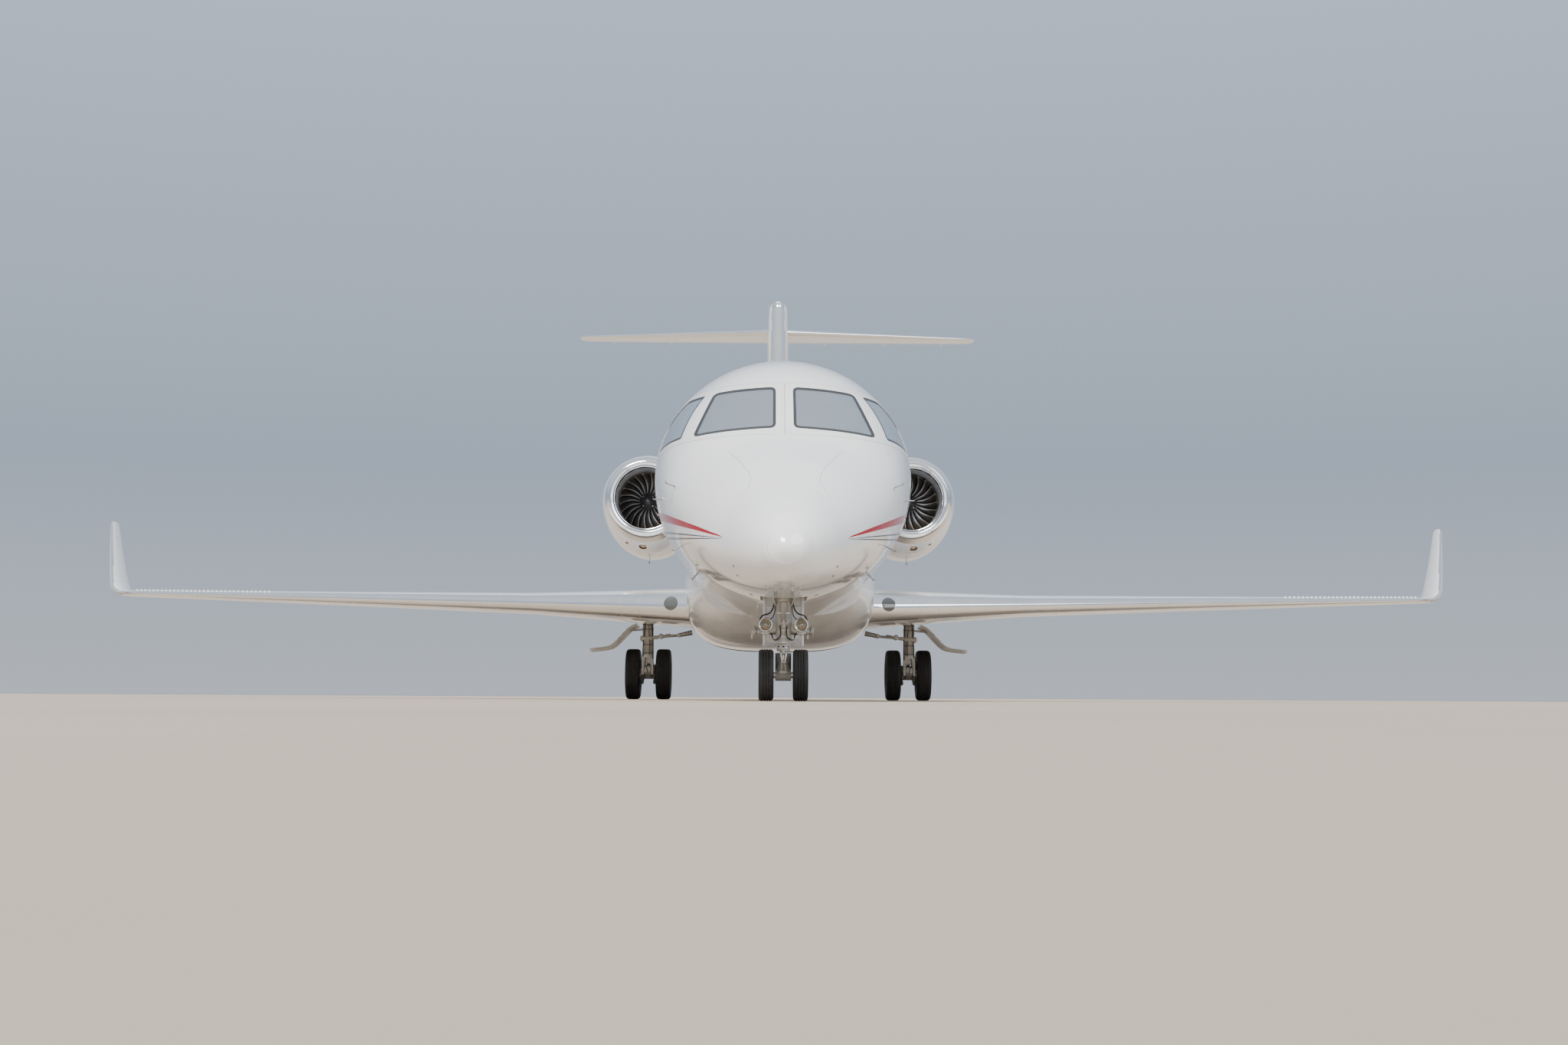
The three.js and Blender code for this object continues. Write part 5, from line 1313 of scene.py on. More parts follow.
def fan_blade(name):
    """A blade that stands up from the axis, around the origin, with +Y as the axis."""
    rings = []
    for k in range(BLADE_ROWS):
        t = k / (BLADE_ROWS - 1)
        radius = FAN_ROOT + (FAN_TIP - FAN_ROOT) * t
        chord = 0.100 + 0.045 * math.sin(math.pi * min(t * 0.72, 0.5)) - 0.012 * max(t - 0.8, 0) * 5
        lean = math.radians(ROOT_LEAN + (TIP_LEAN - ROOT_LEAN) * t ** 0.9)
        sweep = 0.022 * math.sin(math.pi * t * 1.15) - 0.016 * t ** 3
        skew = 0.03 * math.sin(math.pi * t) - 0.035 * t ** 2
        thick = 0.0048 * (1 - t) + 0.0014
        ring = []
        for face in (1, -1):
            for j in range(BLADE_POINTS):
                a = face * (2 * j / (BLADE_POINTS - 1) - 1)
                camber = 0.011 * (1 - a * a) * (1 - 0.55 * t)
                body = thick * (1 - a * a) ** 0.5 + 0.0003
                c, d = a * chord / 2, camber + face * body / 2
                across = c * math.sin(lean) + d * math.cos(lean) + skew
                along = c * math.cos(lean) - d * math.sin(lean) - sweep
                turn = across / radius
                ring.append((radius * math.sin(turn), along, radius * math.cos(turn)))
        rings.append(ring)
    return wrap(name, rings)


blade = fan_blade("blade")
blades = [copied(blade, "blade", Matrix.Rotation(2 * math.pi * i / FAN_BLADES, 4, "Y"))
          for i in range(FAN_BLADES)]
bpy.data.objects.remove(blade)
blade_set = joined("blade_set", blades)
SPINNER = [[12.652, 0.0008], [12.6545, 0.010], [12.662, 0.022], [12.68, 0.040], [12.70, 0.055],
           [12.74, 0.080], [12.78, 0.102], [12.81, 0.115], [12.84, 0.1195], [12.90, 0.1200], [13.0, 0.1200]]
BOLT_CIRCLE = 0.092
for side, word in SIDES:
    hub_place = Matrix.Translation((side * ENGINE_X, at(FAN_STATION), ENGINE_Z))
    finish(copied(blade_set, f"fan_blades_{word}", hub_place), f"fan_{word}",
           titanium, f"fan_{word}")
    spinner = turned(f"spinner_{word}", [[s - FAN_STATION, r] for s, r in SPINNER],
                     (side * ENGINE_X, at(FAN_STATION), ENGINE_Z), (0, 1, 0), 72)
    finish(spinner, f"fan_{word}", spinner_paint)
    bolts = []
    for k in range(4):
        angle = math.pi / 4 + k * math.pi / 2
        radial = Vector((math.cos(angle), 0, math.sin(angle)))
        foot = spot(side * ENGINE_X, 12.765, ENGINE_Z) + radial * BOLT_CIRCLE
        out = (radial - Vector((0, 1.9, 0))).normalized()
        bolts.append(bar("bolt", foot - out * 0.008, foot + out * 0.006, 0.0075, sides=6, edge=0.001))
    finish(joined(f"spinner_bolts_{word}", bolts), f"fan_{word}", chrome)
bpy.data.objects.remove(blade_set)

# %% Guide vanes and the core behind the fan
VANES, VANE_TURN = 44, 12       # how many, and degrees from the axis
HOT_FRONT = 15.4                # where the core's hot metal begins
# Columns: station, radius
CORE = [[13.08, 0.118], [13.25, 0.20], [13.7, 0.32], [14.9, 0.30], [15.5, 0.235], [15.905, 0.20],
        [16.25, 0.04]]
for side, word in SIDES:
    middle = Vector((side * ENGINE_X, 0, ENGINE_Z))
    profile = [[at(s), r] for s, r in finer(CORE, 6, smooth)] + [[at(16.256), 0.002]]
    core = turned(f"core_case_{word}", profile, middle, (0, 1, 0), 64)
    finish(core, "airframe", [core_metal, hot_metal], f"engine_core_{word}")
    for face in core.data.polygons:
        face.material_index = int(face.center.y > at(HOT_FRONT))
    vanes = []
    ring_place = Matrix.Translation(middle + Vector((0, at(13.07), 0)))
    for k in range(VANES):
        vane = block("vane", (-0.0016, -0.04, 0.13), (0.0016, 0.04, 0.435))
        vane.data.transform(ring_place @ Matrix.Rotation(2 * math.pi * k / VANES, 4, "Y")
                            @ Matrix.Rotation(math.radians(VANE_TURN), 4, "Z"))
        vanes.append(vane)
    finish(joined(f"guide_vanes_{word}", vanes), "airframe", core_metal)

# %% [markdown]
# ## Wheels
# A tyre is a profile turned about the axle. Aircraft tyres have plain grooves that run round the tread, and
# a nose tyre has a chine on its outer shoulder, which throws the water away from the engines. The rubber
# and the dusty tread are two materials of one mesh. The wheel inside has a dished face, bolts, and a cap on
# the axle.

# %% Tyres
rubber = surface("tyre rubber", (0.016, 0.016, 0.017), 0.60, tint=0.2, cloud=10.0, grain=300.0, lift=1e-4)
tread_rubber = surface("dusty tread", (0.026, 0.025, 0.024), 0.82, tint=0.3,
                       cloud=14.0, grain=420.0, lift=3e-4)
CHINE_RISE = 0.008
TREAD_SHARE = 0.978     # share of the radius beyond which the rubber is dusty
# Half of a tyre's section, from the bead to the tread. Columns: share of the half width, share of the
# radius
TYRE_SECTION = [(-0.60, 0.575), (-0.69, 0.590), (-0.80, 0.640), (-0.91, 0.710), (-0.975, 0.775),
                (-0.995, 0.835), (-0.975, 0.890), (-0.915, 0.937), (-0.82, 0.966), (-0.70, 0.984),
                (-0.60, 0.992)]
# One groove. Columns: distance across, depth
GROOVE = [(-0.0045, 0.0), (-0.0032, 0.0055), (0.0032, 0.0055), (0.0045, 0.0)]


def tyre(name, centre, radius, width, grooves, chine=0):
    """A tyre whose axle lies across the aircraft. Chine is the side on which the water ridge sits, or 0."""
    half = width / 2
    profile = [(h * half, r * radius) for h, r in TYRE_SECTION]
    for groove in grooves:
        crown = 1 - 0.008 * abs(groove)
        profile += [(groove * half + across, radius * crown - depth) for across, depth in GROOVE]
    profile += [(-h, r) for h, r in reversed(profile[:len(TYRE_SECTION)])]
    profile += [(0.56 * half, 0.555 * radius), (-0.56 * half, 0.555 * radius)]
    if chine:
        profile = [(h, r + (CHINE_RISE if 0.86 < h * chine / half < 0.95 and r > 0.9 * radius else 0))
                   for h, r in profile]
    return turned(name, profile, centre, (1, 0, 0), 96, looped=True)


def tread_faces(piece, centre, radius):
    for face in piece.data.polygons:
        away = math.hypot(face.center.y - centre.y, face.center.z - centre.z)
        face.material_index = int(away > TREAD_SHARE * radius)


NOSE_WHEEL = spot(0, 2.40, 0.222)
NOSE_TYRE_X, NOSE_TYRE_RADIUS, NOSE_TYRE_WIDTH = 0.147, 0.222, 0.130
MAIN_X, MAIN_TYRE_X, MAIN_TYRE_RADIUS, MAIN_TYRE_WIDTH = 1.647, 0.192, 0.320, 0.185
MAIN_AXLE = 10.9        # station of the main wheels' axles
for side, word in SIDES:
    centre = NOSE_WHEEL + Vector((side * NOSE_TYRE_X, 0, 0))
    made = tyre(f"nose_tyre_rubber_{word}", centre, NOSE_TYRE_RADIUS, NOSE_TYRE_WIDTH,
                (-0.35, 0.0, 0.35), side)
    finish(made, "nose_wheels", [rubber, tread_rubber], f"nose_tyre_{word}", angle=28)
    tread_faces(made, centre, NOSE_TYRE_RADIUS)
    for place, offset in (("outer", side * MAIN_TYRE_X), ("inner", -side * MAIN_TYRE_X)):
        centre = spot(side * MAIN_X + offset, MAIN_AXLE, MAIN_TYRE_RADIUS)
        made = tyre(f"main_tyre_rubber_{word}_{place}", centre, MAIN_TYRE_RADIUS, MAIN_TYRE_WIDTH,
                    (-0.45, -0.15, 0.15, 0.45))
        finish(made, f"main_wheels_{word}", [rubber, tread_rubber],
               f"main_tyre_{word}_{place}", angle=28)
        tread_faces(made, centre, MAIN_TYRE_RADIUS)


# %% Wheels with their bolts
def around(centre, radius, count, start=0.0):
    """Spots on a circle about the axle."""
    return [centre + Vector((0, radius * math.cos(a), radius * math.sin(a)))
            for a in (start + 2 * math.pi * k / count for k in range(count))]


# Columns: share of the tyre's half width, share of the rim's radius
WHEEL_SECTION = [
    (0.70, 1.02), (0.66, 1.075), (0.62, 1.07), (0.60, 0.985), (0.56, 0.93), (0.42, 0.885), (0.34, 0.80),
    (0.30, 0.62), (0.33, 0.46), (0.40, 0.36), (0.46, 0.33), (0.46, 0.20), (0.20, 0.20), (0.16, 0.34),
    (0.14, 0.62), (0.06, 0.80), (-0.60, 0.86), (-0.66, 1.07), (-0.70, 1.02), (-0.60, 0.975), (0.56, 0.975),
]
CAP_SECTION = [(0.30, 0.30), (0.52, 0.30), (0.58, 0.285), (0.62, 0.22), (0.635, 0.10), (0.637, 0.004)]


def wheel(centre, outward, tyre_radius, width, holes):
    """A rim with a dished outer face, open towards the brake. Outward is +1 or -1 along X."""
    rim, half = tyre_radius * 0.562, width / 2
    body = turned("wheel", [(outward * h * half, r * rim) for h, r in WHEEL_SECTION], centre, (1, 0, 0), 72,
                  looped=True)
    through = Vector((0.25, 0, 0))
    for hole in around(centre, 0.70 * rim, holes):
        carve(body, bar("hole", hole - through, hole + through, 0.085 * rim, sides=20))
    bolts = []
    face = Vector((outward * 0.40 * half, 0, 0))
    for bolt_spot in around(centre, 0.905 * rim, 2 * holes, 0.2):
        foot = bolt_spot + Vector((outward * 0.50 * half, 0, 0))
        bolts.append(bar("bolt", foot - face * 0.3, foot + Vector((outward * 0.007, 0, 0)), 0.0055, sides=6))
    cap = [(outward * h * half, r * rim) for h, r in CAP_SECTION]
    bolts.append(turned("cap", cap, centre, (1, 0, 0), 48))
    return body, bolts


nose_bodies, nose_bolts = [], []
for side, _ in SIDES:
    body, bolts = wheel(NOSE_WHEEL + Vector((side * NOSE_TYRE_X, 0, 0)), side,
                        NOSE_TYRE_RADIUS, NOSE_TYRE_WIDTH, 8)
    nose_bodies.append(body)
    nose_bolts += bolts
finish(joined("nose_wheel_rims", nose_bodies), "nose_wheels", hub_paint, "nose_wheel_hubs")
half_axle = Vector((0.166, 0, 0))
nose_bolts.append(bar("axle", NOSE_WHEEL - half_axle, NOSE_WHEEL + half_axle, 0.0265, sides=40))
finish(joined("nose_wheel_bolts", nose_bolts), "nose_wheels", steel)
DISC_COUNT, DISC_PITCH = 4, 0.016
DISC_SECTION = [(0, 0.06), (0, 0.143), (0.001, 0.145), (0.010, 0.145), (0.011, 0.143), (0.011, 0.06)]
for side, word in SIDES:
    bodies, bolts, discs = [], [], []
    centre = spot(side * MAIN_X, MAIN_AXLE, MAIN_TYRE_RADIUS)
    for outward in (1, -1):
        hub = centre + Vector((outward * MAIN_TYRE_X, 0, 0))
        body, more = wheel(hub, outward, MAIN_TYRE_RADIUS, MAIN_TYRE_WIDTH, 9)
        bodies.append(body)
        bolts += more
        for k in range(DISC_COUNT):
            start = hub - Vector((outward * (0.064 - DISC_PITCH * k), 0, 0))
            discs.append(turned("disc", DISC_SECTION, start, (outward, 0, 0), 64, looped=True))
    finish(joined(f"main_wheel_rims_{word}", bodies), f"main_wheels_{word}", hub_paint,
           f"main_wheel_hubs_{word}")
    bolts.append(bar("axle", centre - Vector((0.20, 0, 0)), centre + Vector((0.20, 0, 0)), 0.031, sides=40))
    finish(joined(f"main_wheel_bolts_{word}", bolts), f"main_wheels_{word}", steel)
    finish(joined(f"brake_discs_{word}", discs), f"main_wheels_{word}", brake)

# %% [markdown]
# ## Nose gear
# The leg is a forged cylinder that turns nothing itself: inside it a chromed piston slides and steers.
# Round the leg sit the steering motors, two lamps on brackets, the drag brace to the front of the bay, and
# the hoses. What steers with the wheels rides on another body: piston, torque links, fork, axle barrel and
# spray guard.

# %% Parts that repeat on the gear
def bars(rows, side=1, origin=(0.0, 0.0)):
    """Bars from a table, with x counted outwards and stations backwards from an origin. Columns: what it is,
    x, station and height of the start, the same of the end, and then what bar takes from the radius on."""
    x, station = origin
    return [bar(name, spot(side * (x + x0), station + s0, z0),
                spot(side * (x + x1), station + s1, z1), *rest)
            for name, x0, s0, z0, x1, s1, z1, *rest in rows]


def tubes(rows, side=1, x=0.0):
    """Tubes from a table, with x counted outwards from the one given. Columns: name, radius, points."""
    return [tube(name, [spot(side * (x + a), station, z) for a, station, z in points], radius)
            for name, radius, points in rows]


def upright(name, rows, x, station, sides=48):
    """A turned part about a vertical line. Rows: height, radius."""
    return turned(name, rows, (x, at(station), 0), (0, 0, 1), sides)


def level(degrees):
    """A direction in the level plane. Straight ahead is -90 degrees."""
    return Vector((math.cos(math.radians(degrees)), math.sin(math.radians(degrees)), 0))


def hex_bolt(place, direction, size=0.008, length=0.010):
    direction = Vector(direction).normalized()
    return [bar("washer", place, place + direction * length * 0.25, size * 1.35, sides=20),
            bar("bolt", place, place + direction * length, size, sides=6, edge=size * 0.12)]


def ring_clamp(x, station, z, radius, height=0.010):
    return bar("clamp", spot(x, station, z), spot(x, station, z + height), radius, sides=32, edge=0.0015)


def kit(name, body, finishes, pieces, replaces=()):
    return finish(joined(name, pieces), body, finishes, replaces)


# %% Leg, trunnion and brackets
NOSE = 2.40         # station of the leg
# The leg's cylinder. Columns: height, radius
CYLINDER = [(0.425, 0.0300), (0.425, 0.0550), (0.430, 0.0575), (0.478, 0.0575), (0.484, 0.0560),
            (0.487, 0.0590), (0.492, 0.0650), (0.512, 0.0655), (0.516, 0.0620), (0.560, 0.0640),
            (0.660, 0.0690), (0.668, 0.0745), (0.700, 0.0750), (0.708, 0.0700), (0.820, 0.0680),
            (1.060, 0.0620), (1.095, 0.0600)]
leg = [upright("cylinder", CYLINDER, 0, NOSE, 64),
       block("rear_lug", (-0.046, at(2.46), 0.644), (0.046, at(2.552), 0.716), 0.006)]
leg += bars([("trunnion", -0.199, NOSE, 1.05, 0.199, NOSE, 1.05, 0.033, None, 40, 0.003),
             ("trunnion_collar", -0.095, NOSE, 1.05, 0.095, NOSE, 1.05, 0.050, None, 40, 0.006),
             ("brace_lug", -0.034, 2.352, 0.662, 0.034, 2.352, 0.662, 0.024, None, 32, 0.003)])
MOTOR_END, MOTOR_BOLTS = Vector((0.256, 2.44, 0.6)), 0.032
motors = []
for side, _ in SIDES:
    leg += [
        block("lamp_shelf", (side * 0.157 - 0.030, at(2.335), 0.570),
              (side * 0.157 + 0.030, at(2.448), 0.590), 0.004),
        block("shelf_web", (side * 0.128 - 0.005, at(2.372), 0.560),
              (side * 0.128 + 0.005, at(2.446), 0.645), 0.003),
        prism("gusset", [(side * 0.066, 0.60), (side * 0.132, 0.572), (side * 0.132, 0.640),
                         (side * 0.066, 0.668)],
              "y", at(2.385), at(2.415)),
    ]
    leg += bars([("stop", 0.062, 2.355, 0.535, 0.080, 2.318, 0.535, 0.010, None, 20, 0.001)], side)
    motors += bars([("motor", 0.040, 2.44, 0.596, 0.236, 2.44, 0.596, 0.0295, None, 36, 0.003),
                    ("motor_end", 0.232, 2.44, 0.6, 0.258, 2.44, 0.6, 0.0415, None, 36, 0.004),
                    ("motor_rib", 0.180, 2.44, 0.596, 0.190, 2.44, 0.596, 0.034, None, 36, 0.0015),
                    ("motor_port", 0.205, 2.44, 0.62, 0.205, 2.425, 0.655, 0.009, None, 16)], side)
    for k in range(6):
        angle = k * math.pi / 3
        motors += hex_bolt(spot(side * MOTOR_END.x, MOTOR_END.y + MOTOR_BOLTS * math.cos(angle),
                                MOTOR_END.z + MOTOR_BOLTS * math.sin(angle)), (side, 0, 0), 0.0045, 0.006)
kit("nose_leg_casting", "airframe", gear_paint, leg, "nose_leg")
kit("steering_motors", "airframe", gear_grey, motors)
rings = [ring_clamp(0, NOSE, z, r)
         for z, r in ((0.447, 0.0605), (0.545, 0.0655), (0.600, 0.0685), (0.745, 0.0705), (0.86, 0.069))]
for angle in (-90, -35, -145, 35, 145):
    for z, radius in ((0.502, 0.064), (0.684, 0.073)):
        rings += hex_bolt(spot(0, NOSE, z) + level(angle) * radius, level(angle), 0.007, 0.009)
kit("nose_leg_rings", "airframe", steel, rings)
port = spot(0, NOSE, 0.462)
holes = [bar("hole", port + level(angle) * 0.050, port + level(angle) * 0.0582, 0.0085, sides=24)
         for angle in (-90, -42, -138)]
kit("nose_leg_ports", "airframe", shadow, holes)

# %% Drag brace and bay fittings
brace = bars([("brace_lower", 0, 2.345, 0.664, 0, 2.215, 0.862, 0.017, 0.0185, 32, 0.002),
              ("brace_upper", 0, 2.215, 0.862, 0, 2.062, 1.118, 0.0195, 0.018, 32, 0.002),
              ("brace_joint", -0.030, 2.215, 0.862, 0.030, 2.215, 0.862, 0.026, None, 32, 0.003),
              ("brace_foot", -0.026, 2.342, 0.666, 0.026, 2.342, 0.666, 0.027, None, 32, 0.003),
              ("brace_cross", -0.1985, 2.06, 1.12, 0.1985, 2.06, 1.12, 0.021, None, 32, 0.002),
              ("front_strut", 0, 2.322, 0.632, 0, 2.322, 0.782, 0.0145, None, 28, 0.002),
              ("front_strut_foot", 0, 2.322, 0.622, 0, 2.322, 0.652, 0.021, None, 28, 0.002)])
bay_parts = [block("bay_rib", (-0.198, at(station) - 0.006, 1.165),
                   (0.198, at(station) + 0.006, 1.199), 0.002)
             for station in (2.12, 2.25, 2.52, 2.64)]
bay_lines = []
for side, _ in SIDES:
    brace += bars([("side_stay", 0.062, 2.40, 0.80, 0.150, 2.16, 1.05, 0.010, None, 20)], side)
    brace += hex_bolt(spot(side * 0.030, 2.215, 0.862), (side, 0, 0), 0.013, 0.010)
    bay_parts += [block("bay_stringer", (side * 0.194 - 0.006, at(2.03), z),
                        (side * 0.194 + 0.006, at(2.75), z + 0.014), 0.002) for z in (0.93, 1.02)]
    for x, radius in ((0.175, 0.004), (0.160, 0.005), (0.147, 0.006)):
        path = [(x, 2.05, 1.155), (x, 2.30, 1.15), (x - 0.03, 2.45, 1.13), (x - 0.01, 2.72, 1.15)]
        bay_lines += tubes([("line", radius, path)], side)
kit("nose_drag_brace", "airframe", gear_grey, brace)
kit("nose_bay_ribs", "airframe", primer, bay_parts)
kit("nose_bay_lines", "airframe", hose, bay_lines)

# %% Rear door of the nose gear
door_parts = [block("panel", (-0.177, at(2.551), 0.471), (0.177, at(2.571), 0.899), 0.006)]
door_parts += [block("rib", (-0.150, at(2.541), z), (0.150, at(2.553), z + 0.016), 0.003)
               for z in (0.53, 0.66, 0.80)]
door_parts += [block("edge", (side * 0.158 - 0.006, at(2.543), 0.485),
                     (side * 0.158 + 0.006, at(2.553), 0.885), 0.003)
               for side, _ in SIDES]
kit("nose_gear_door_panel", "airframe", paint, door_parts, "nose_gear_door")

# %% Lamps
# Columns: distance behind the lamp's front, radius
LAMP_CAN = [(0.0, 0.0520), (0.0, 0.0565), (0.010, 0.0570), (0.030, 0.0540), (0.060, 0.0500),
            (0.078, 0.0380), (0.088, 0.0200), (0.088, 0.0010), (0.084, 0.0010), (0.083, 0.0200),
            (0.074, 0.0350), (0.056, 0.0465), (0.012, 0.0525)]
LAMP_RIM = [(-0.004, 0.0485), (-0.006, 0.0520), (-0.004, 0.0580), (0.004, 0.0600), (0.013, 0.0595),
            (0.016, 0.0570), (0.010, 0.0530), (0.004, 0.0500)]
LAMP_BOWL = [(0.004, 0.0490), (0.016, 0.0460), (0.030, 0.0390), (0.041, 0.0290), (0.048, 0.0180),
             (0.051, 0.0070), (0.051, 0.0010), (0.0535, 0.0010), (0.0505, 0.0190), (0.0430, 0.0310),
             (0.0320, 0.0410), (0.018, 0.0480)]
LAMP_BULB = [(0.022, 0.0008), (0.024, 0.0055), (0.030, 0.0080), (0.050, 0.0075)]
LAMP_PANE = [(-0.0035, 0.0008), (-0.0030, 0.0200), (-0.0015, 0.0380), (0.0015, 0.0500), (0.0035, 0.0500),
             (0.0005, 0.0380), (-0.0010, 0.0200), (-0.0015, 0.0008)]
BACK, TAB_RADIUS = Vector((0, 1, 0)), 0.055
for side, word in SIDES:
    middle = spot(side * 0.153, 2.312, 0.650)
    kit(f"lamp_housing_{word}", "airframe", steel,
        [turned("can", LAMP_CAN, middle, BACK, 56, looped=True)], f"gear_lamp_{word}")
    rims = [turned("rim", LAMP_RIM, middle, BACK, 56, looped=True)]
    for k in range(3):
        a = math.radians(30 + 120 * k)
        foot = middle + Vector((math.cos(a), 0, math.sin(a))) * TAB_RADIUS
        rims.append(bar("tab", foot - BACK * 0.008, foot + BACK * 0.004, 0.0055, sides=16))
    kit(f"lamp_rim_{word}", "airframe", chrome, rims)
    kit(f"lamp_reflector_{word}", "airframe", reflector,
        [turned("bowl", LAMP_BOWL, middle, BACK, 56, looped=True)])
    kit(f"lamp_bulb_{word}", "airframe", lamp_glass,
        [turned("bulb", LAMP_BULB, middle, BACK, 32)])
    kit(f"lamp_pane_{word}", "airframe", lamp_glass,
        [turned("pane", LAMP_PANE, middle, BACK, 56)])

# %% Hoses down the leg
NOSE_HOSES = [
    ("hose", 0.0065, [(0.205, 2.425, 0.655), (0.190, 2.41, 0.72), (0.110, 2.39, 0.76), (0.078, 2.40, 0.90),
                      (0.090, 2.42, 1.05)]),
    ("hose", 0.0055, [(0.120, 2.45, 0.605), (0.098, 2.39, 0.56), (0.070, 2.345, 0.52),
                      (0.030, 2.330, 0.555), (0.032, 2.325, 0.64)]),
    ("cable", 0.004, [(0.153, 2.40, 0.650), (0.120, 2.42, 0.69), (0.085, 2.40, 0.73), (0.074, 2.37, 0.86),
                      (0.08, 2.35, 1.02)]),
]
kit("nose_leg_hoses", "airframe", hose, tubes(NOSE_HOSES, 1) + tubes(NOSE_HOSES, -1))

# %% Piston, torque links and fork, which steer
kit("nose_piston", "nose_steering", chrome,
    bars([("piston", 0, NOSE, 0.305, 0, NOSE, 0.60, 0.0268, None, 48, 0.001)]))
FORK_CONE = [(0.224, 0.0500), (0.240, 0.0600), (0.262, 0.0600), (0.290, 0.0520), (0.318, 0.0450),
             (0.332, 0.0440), (0.336, 0.0410), (0.352, 0.0400), (0.354, 0.0360)]
fork = [upright("fork_cone", FORK_CONE, 0, NOSE, 56),
        block("guard_arm", (-0.034, at(2.430), 0.208), (0.034, at(2.498), 0.246), 0.006),
        block("link_lug", (-0.025, at(2.312), 0.228), (0.025, at(2.360), 0.260), 0.005)]
fork += bars([("axle_barrel", -0.0675, NOSE, 0.222, 0.0675, NOSE, 0.222, 0.0495, None, 48, 0.004),
              ("tow_pin", -0.046, 2.335, 0.243, 0.046, 2.335, 0.243, 0.009, None, 20, 0.001),
              ("link_pin", -0.033, 2.318, 0.244, 0.033, 2.318, 0.244, 0.013, None, 24, 0.001)])
kit("nose_fork_casting", "nose_steering", gear_paint, fork, "nose_fork")
links = [ring_clamp(0, NOSE, 0.395, 0.041, 0.020),
         block("clamp_lug", (-0.022, at(2.334), 0.397), (0.022, at(2.365), 0.413), 0.003)]
for side, _ in SIDES:
    links += bars([("lower_link", 0.022, 2.318, 0.244, 0.012, 2.298, 0.330, 0.0085, 0.007, 20),
                   ("upper_link", 0.012, 2.298, 0.330, 0.024, 2.328, 0.408, 0.007, 0.0085, 20),
                   ("stay", 0.046, 2.375, 0.334, 0.028, 2.33, 0.404, 0.0045, None, 16)], side)
links += bars([("apex", -0.020, 2.298, 0.330, 0.020, 2.298, 0.330, 0.0115, None, 24, 0.001),
               ("top_pin", -0.034, 2.330, 0.408, 0.034, 2.330, 0.408, 0.010, None, 24, 0.001)])
kit("nose_torque_links", "nose_steering", gear_grey, links)
kit("nose_spray_guard", "nose_steering", dark_steel,
    [block("guard", (-0.069, at(2.4955), 0.180), (0.069, at(2.5065), 0.413), 0.004)])

# %% [markdown]
# ## Main gear
# Each main leg is an upright with a trailing arm: the arm turns on a pin in the clevis at the foot of the
# leg and carries the axle behind it, and a shock strut between the two takes the landing. A side brace
# holds the leg to the wing. The door is a thin curved panel, seen edge-on from ahead.

# %% Leg, clevis and braces
LEG, PIN_Z = 10.69, 0.372       # station of the leg, height of the trailing arm's pin
# Columns: height, radius
STRUT = [(0.515, 0.066), (0.521, 0.0735), (0.565, 0.0735), (0.572, 0.0640), (0.600, 0.0620),
         (0.690, 0.0620), (0.700, 0.0655), (0.818, 0.0655), (0.830, 0.0695), (0.905, 0.0695),
         (0.915, 0.0665), (1.040, 0.0665)]
# Columns: x from the leg, height
CLEVIS = [(-0.074, 0.312), (-0.074, 0.470), (-0.066, 0.508), (-0.040, 0.534), (0.040, 0.534),
          (0.066, 0.508), (0.074, 0.470), (0.074, 0.312), (0.045, 0.312), (0.045, 0.425), (0.030, 0.449),
          (-0.030, 0.449), (-0.045, 0.425), (-0.045, 0.312)]
# Columns as for bars, with stations counted from the leg
LEG_BARS = [
    ("pin_boss", -0.078, -0.005, PIN_Z, -0.045, -0.005, PIN_Z, 0.036, None, 36, 0.004),
    ("pin_boss", 0.045, -0.005, PIN_Z, 0.078, -0.005, PIN_Z, 0.036, None, 36, 0.004),
    ("brace_boss", -0.055, -0.04, 0.772, 0.088, -0.04, 0.762, 0.037, None, 36, 0.005),
    ("brace_arm", 0, -0.04, 0.770, -0.135, -0.04, 0.782, 0.026, 0.022, 32, 0.003),
]
BRACE_BARS = [
    ("knuckle", -0.168, -0.075, 0.792, -0.168, -0.005, 0.792, 0.034, None, 36, 0.004),
    ("link", -0.160, -0.040, 0.788, -0.395, -0.040, 0.806, 0.0185, 0.0165, 28, 0.002),
    ("elbow", -0.397, -0.068, 0.808, -0.397, -0.012, 0.808, 0.029, None, 36, 0.003),
    ("far_link", -0.402, -0.040, 0.810, -0.559, -0.040, 0.844, 0.026, 0.033, 32, 0.003),
    ("sensor", -0.215, -0.060, 0.812, -0.290, -0.060, 0.822, 0.008, None, 20),
]
# Side of the trailing arm. Columns: station, height
ARM_SIDE = [(10.630, 0.345), (10.630, 0.405), (10.690, 0.435), (10.75, 0.438), (10.865, 0.398),
            (10.955, 0.378), (10.958, 0.268), (10.855, 0.262), (10.690, 0.305)]
# Columns: what it is, radius, points, with x from the leg
MAIN_HOSES = [
    ("brake_line", 0.006, [(-0.068, 10.84, 0.42), (-0.058, 10.74, 0.47), (-0.068, 10.66, 0.50),
                           (-0.070, 10.64, 0.62), (-0.064, 10.64, 0.84), (-0.05, 10.66, 1.0)]),
    ("brake_line", 0.006, [(0.068, 10.84, 0.42), (0.056, 10.72, 0.50), (0.060, 10.635, 0.56),
                           (0.055, 10.625, 0.70), (0.040, 10.625, 0.86), (0.03, 10.64, 1.0)]),
    ("cable", 0.004, [(-0.02, 10.622, 0.55), (-0.028, 10.618, 0.66), (-0.020, 10.62, 0.80),
                      (0, 10.63, 0.98)]),
    ("drain", 0.005, [(0.02, 10.618, 0.53), (0.03, 10.60, 0.47), (0.01, 10.60, 0.40),
                      (-0.005, 10.612, 0.33)]),
]
BRAKE_PISTONS, PISTON_CIRCLE = 6, 0.100
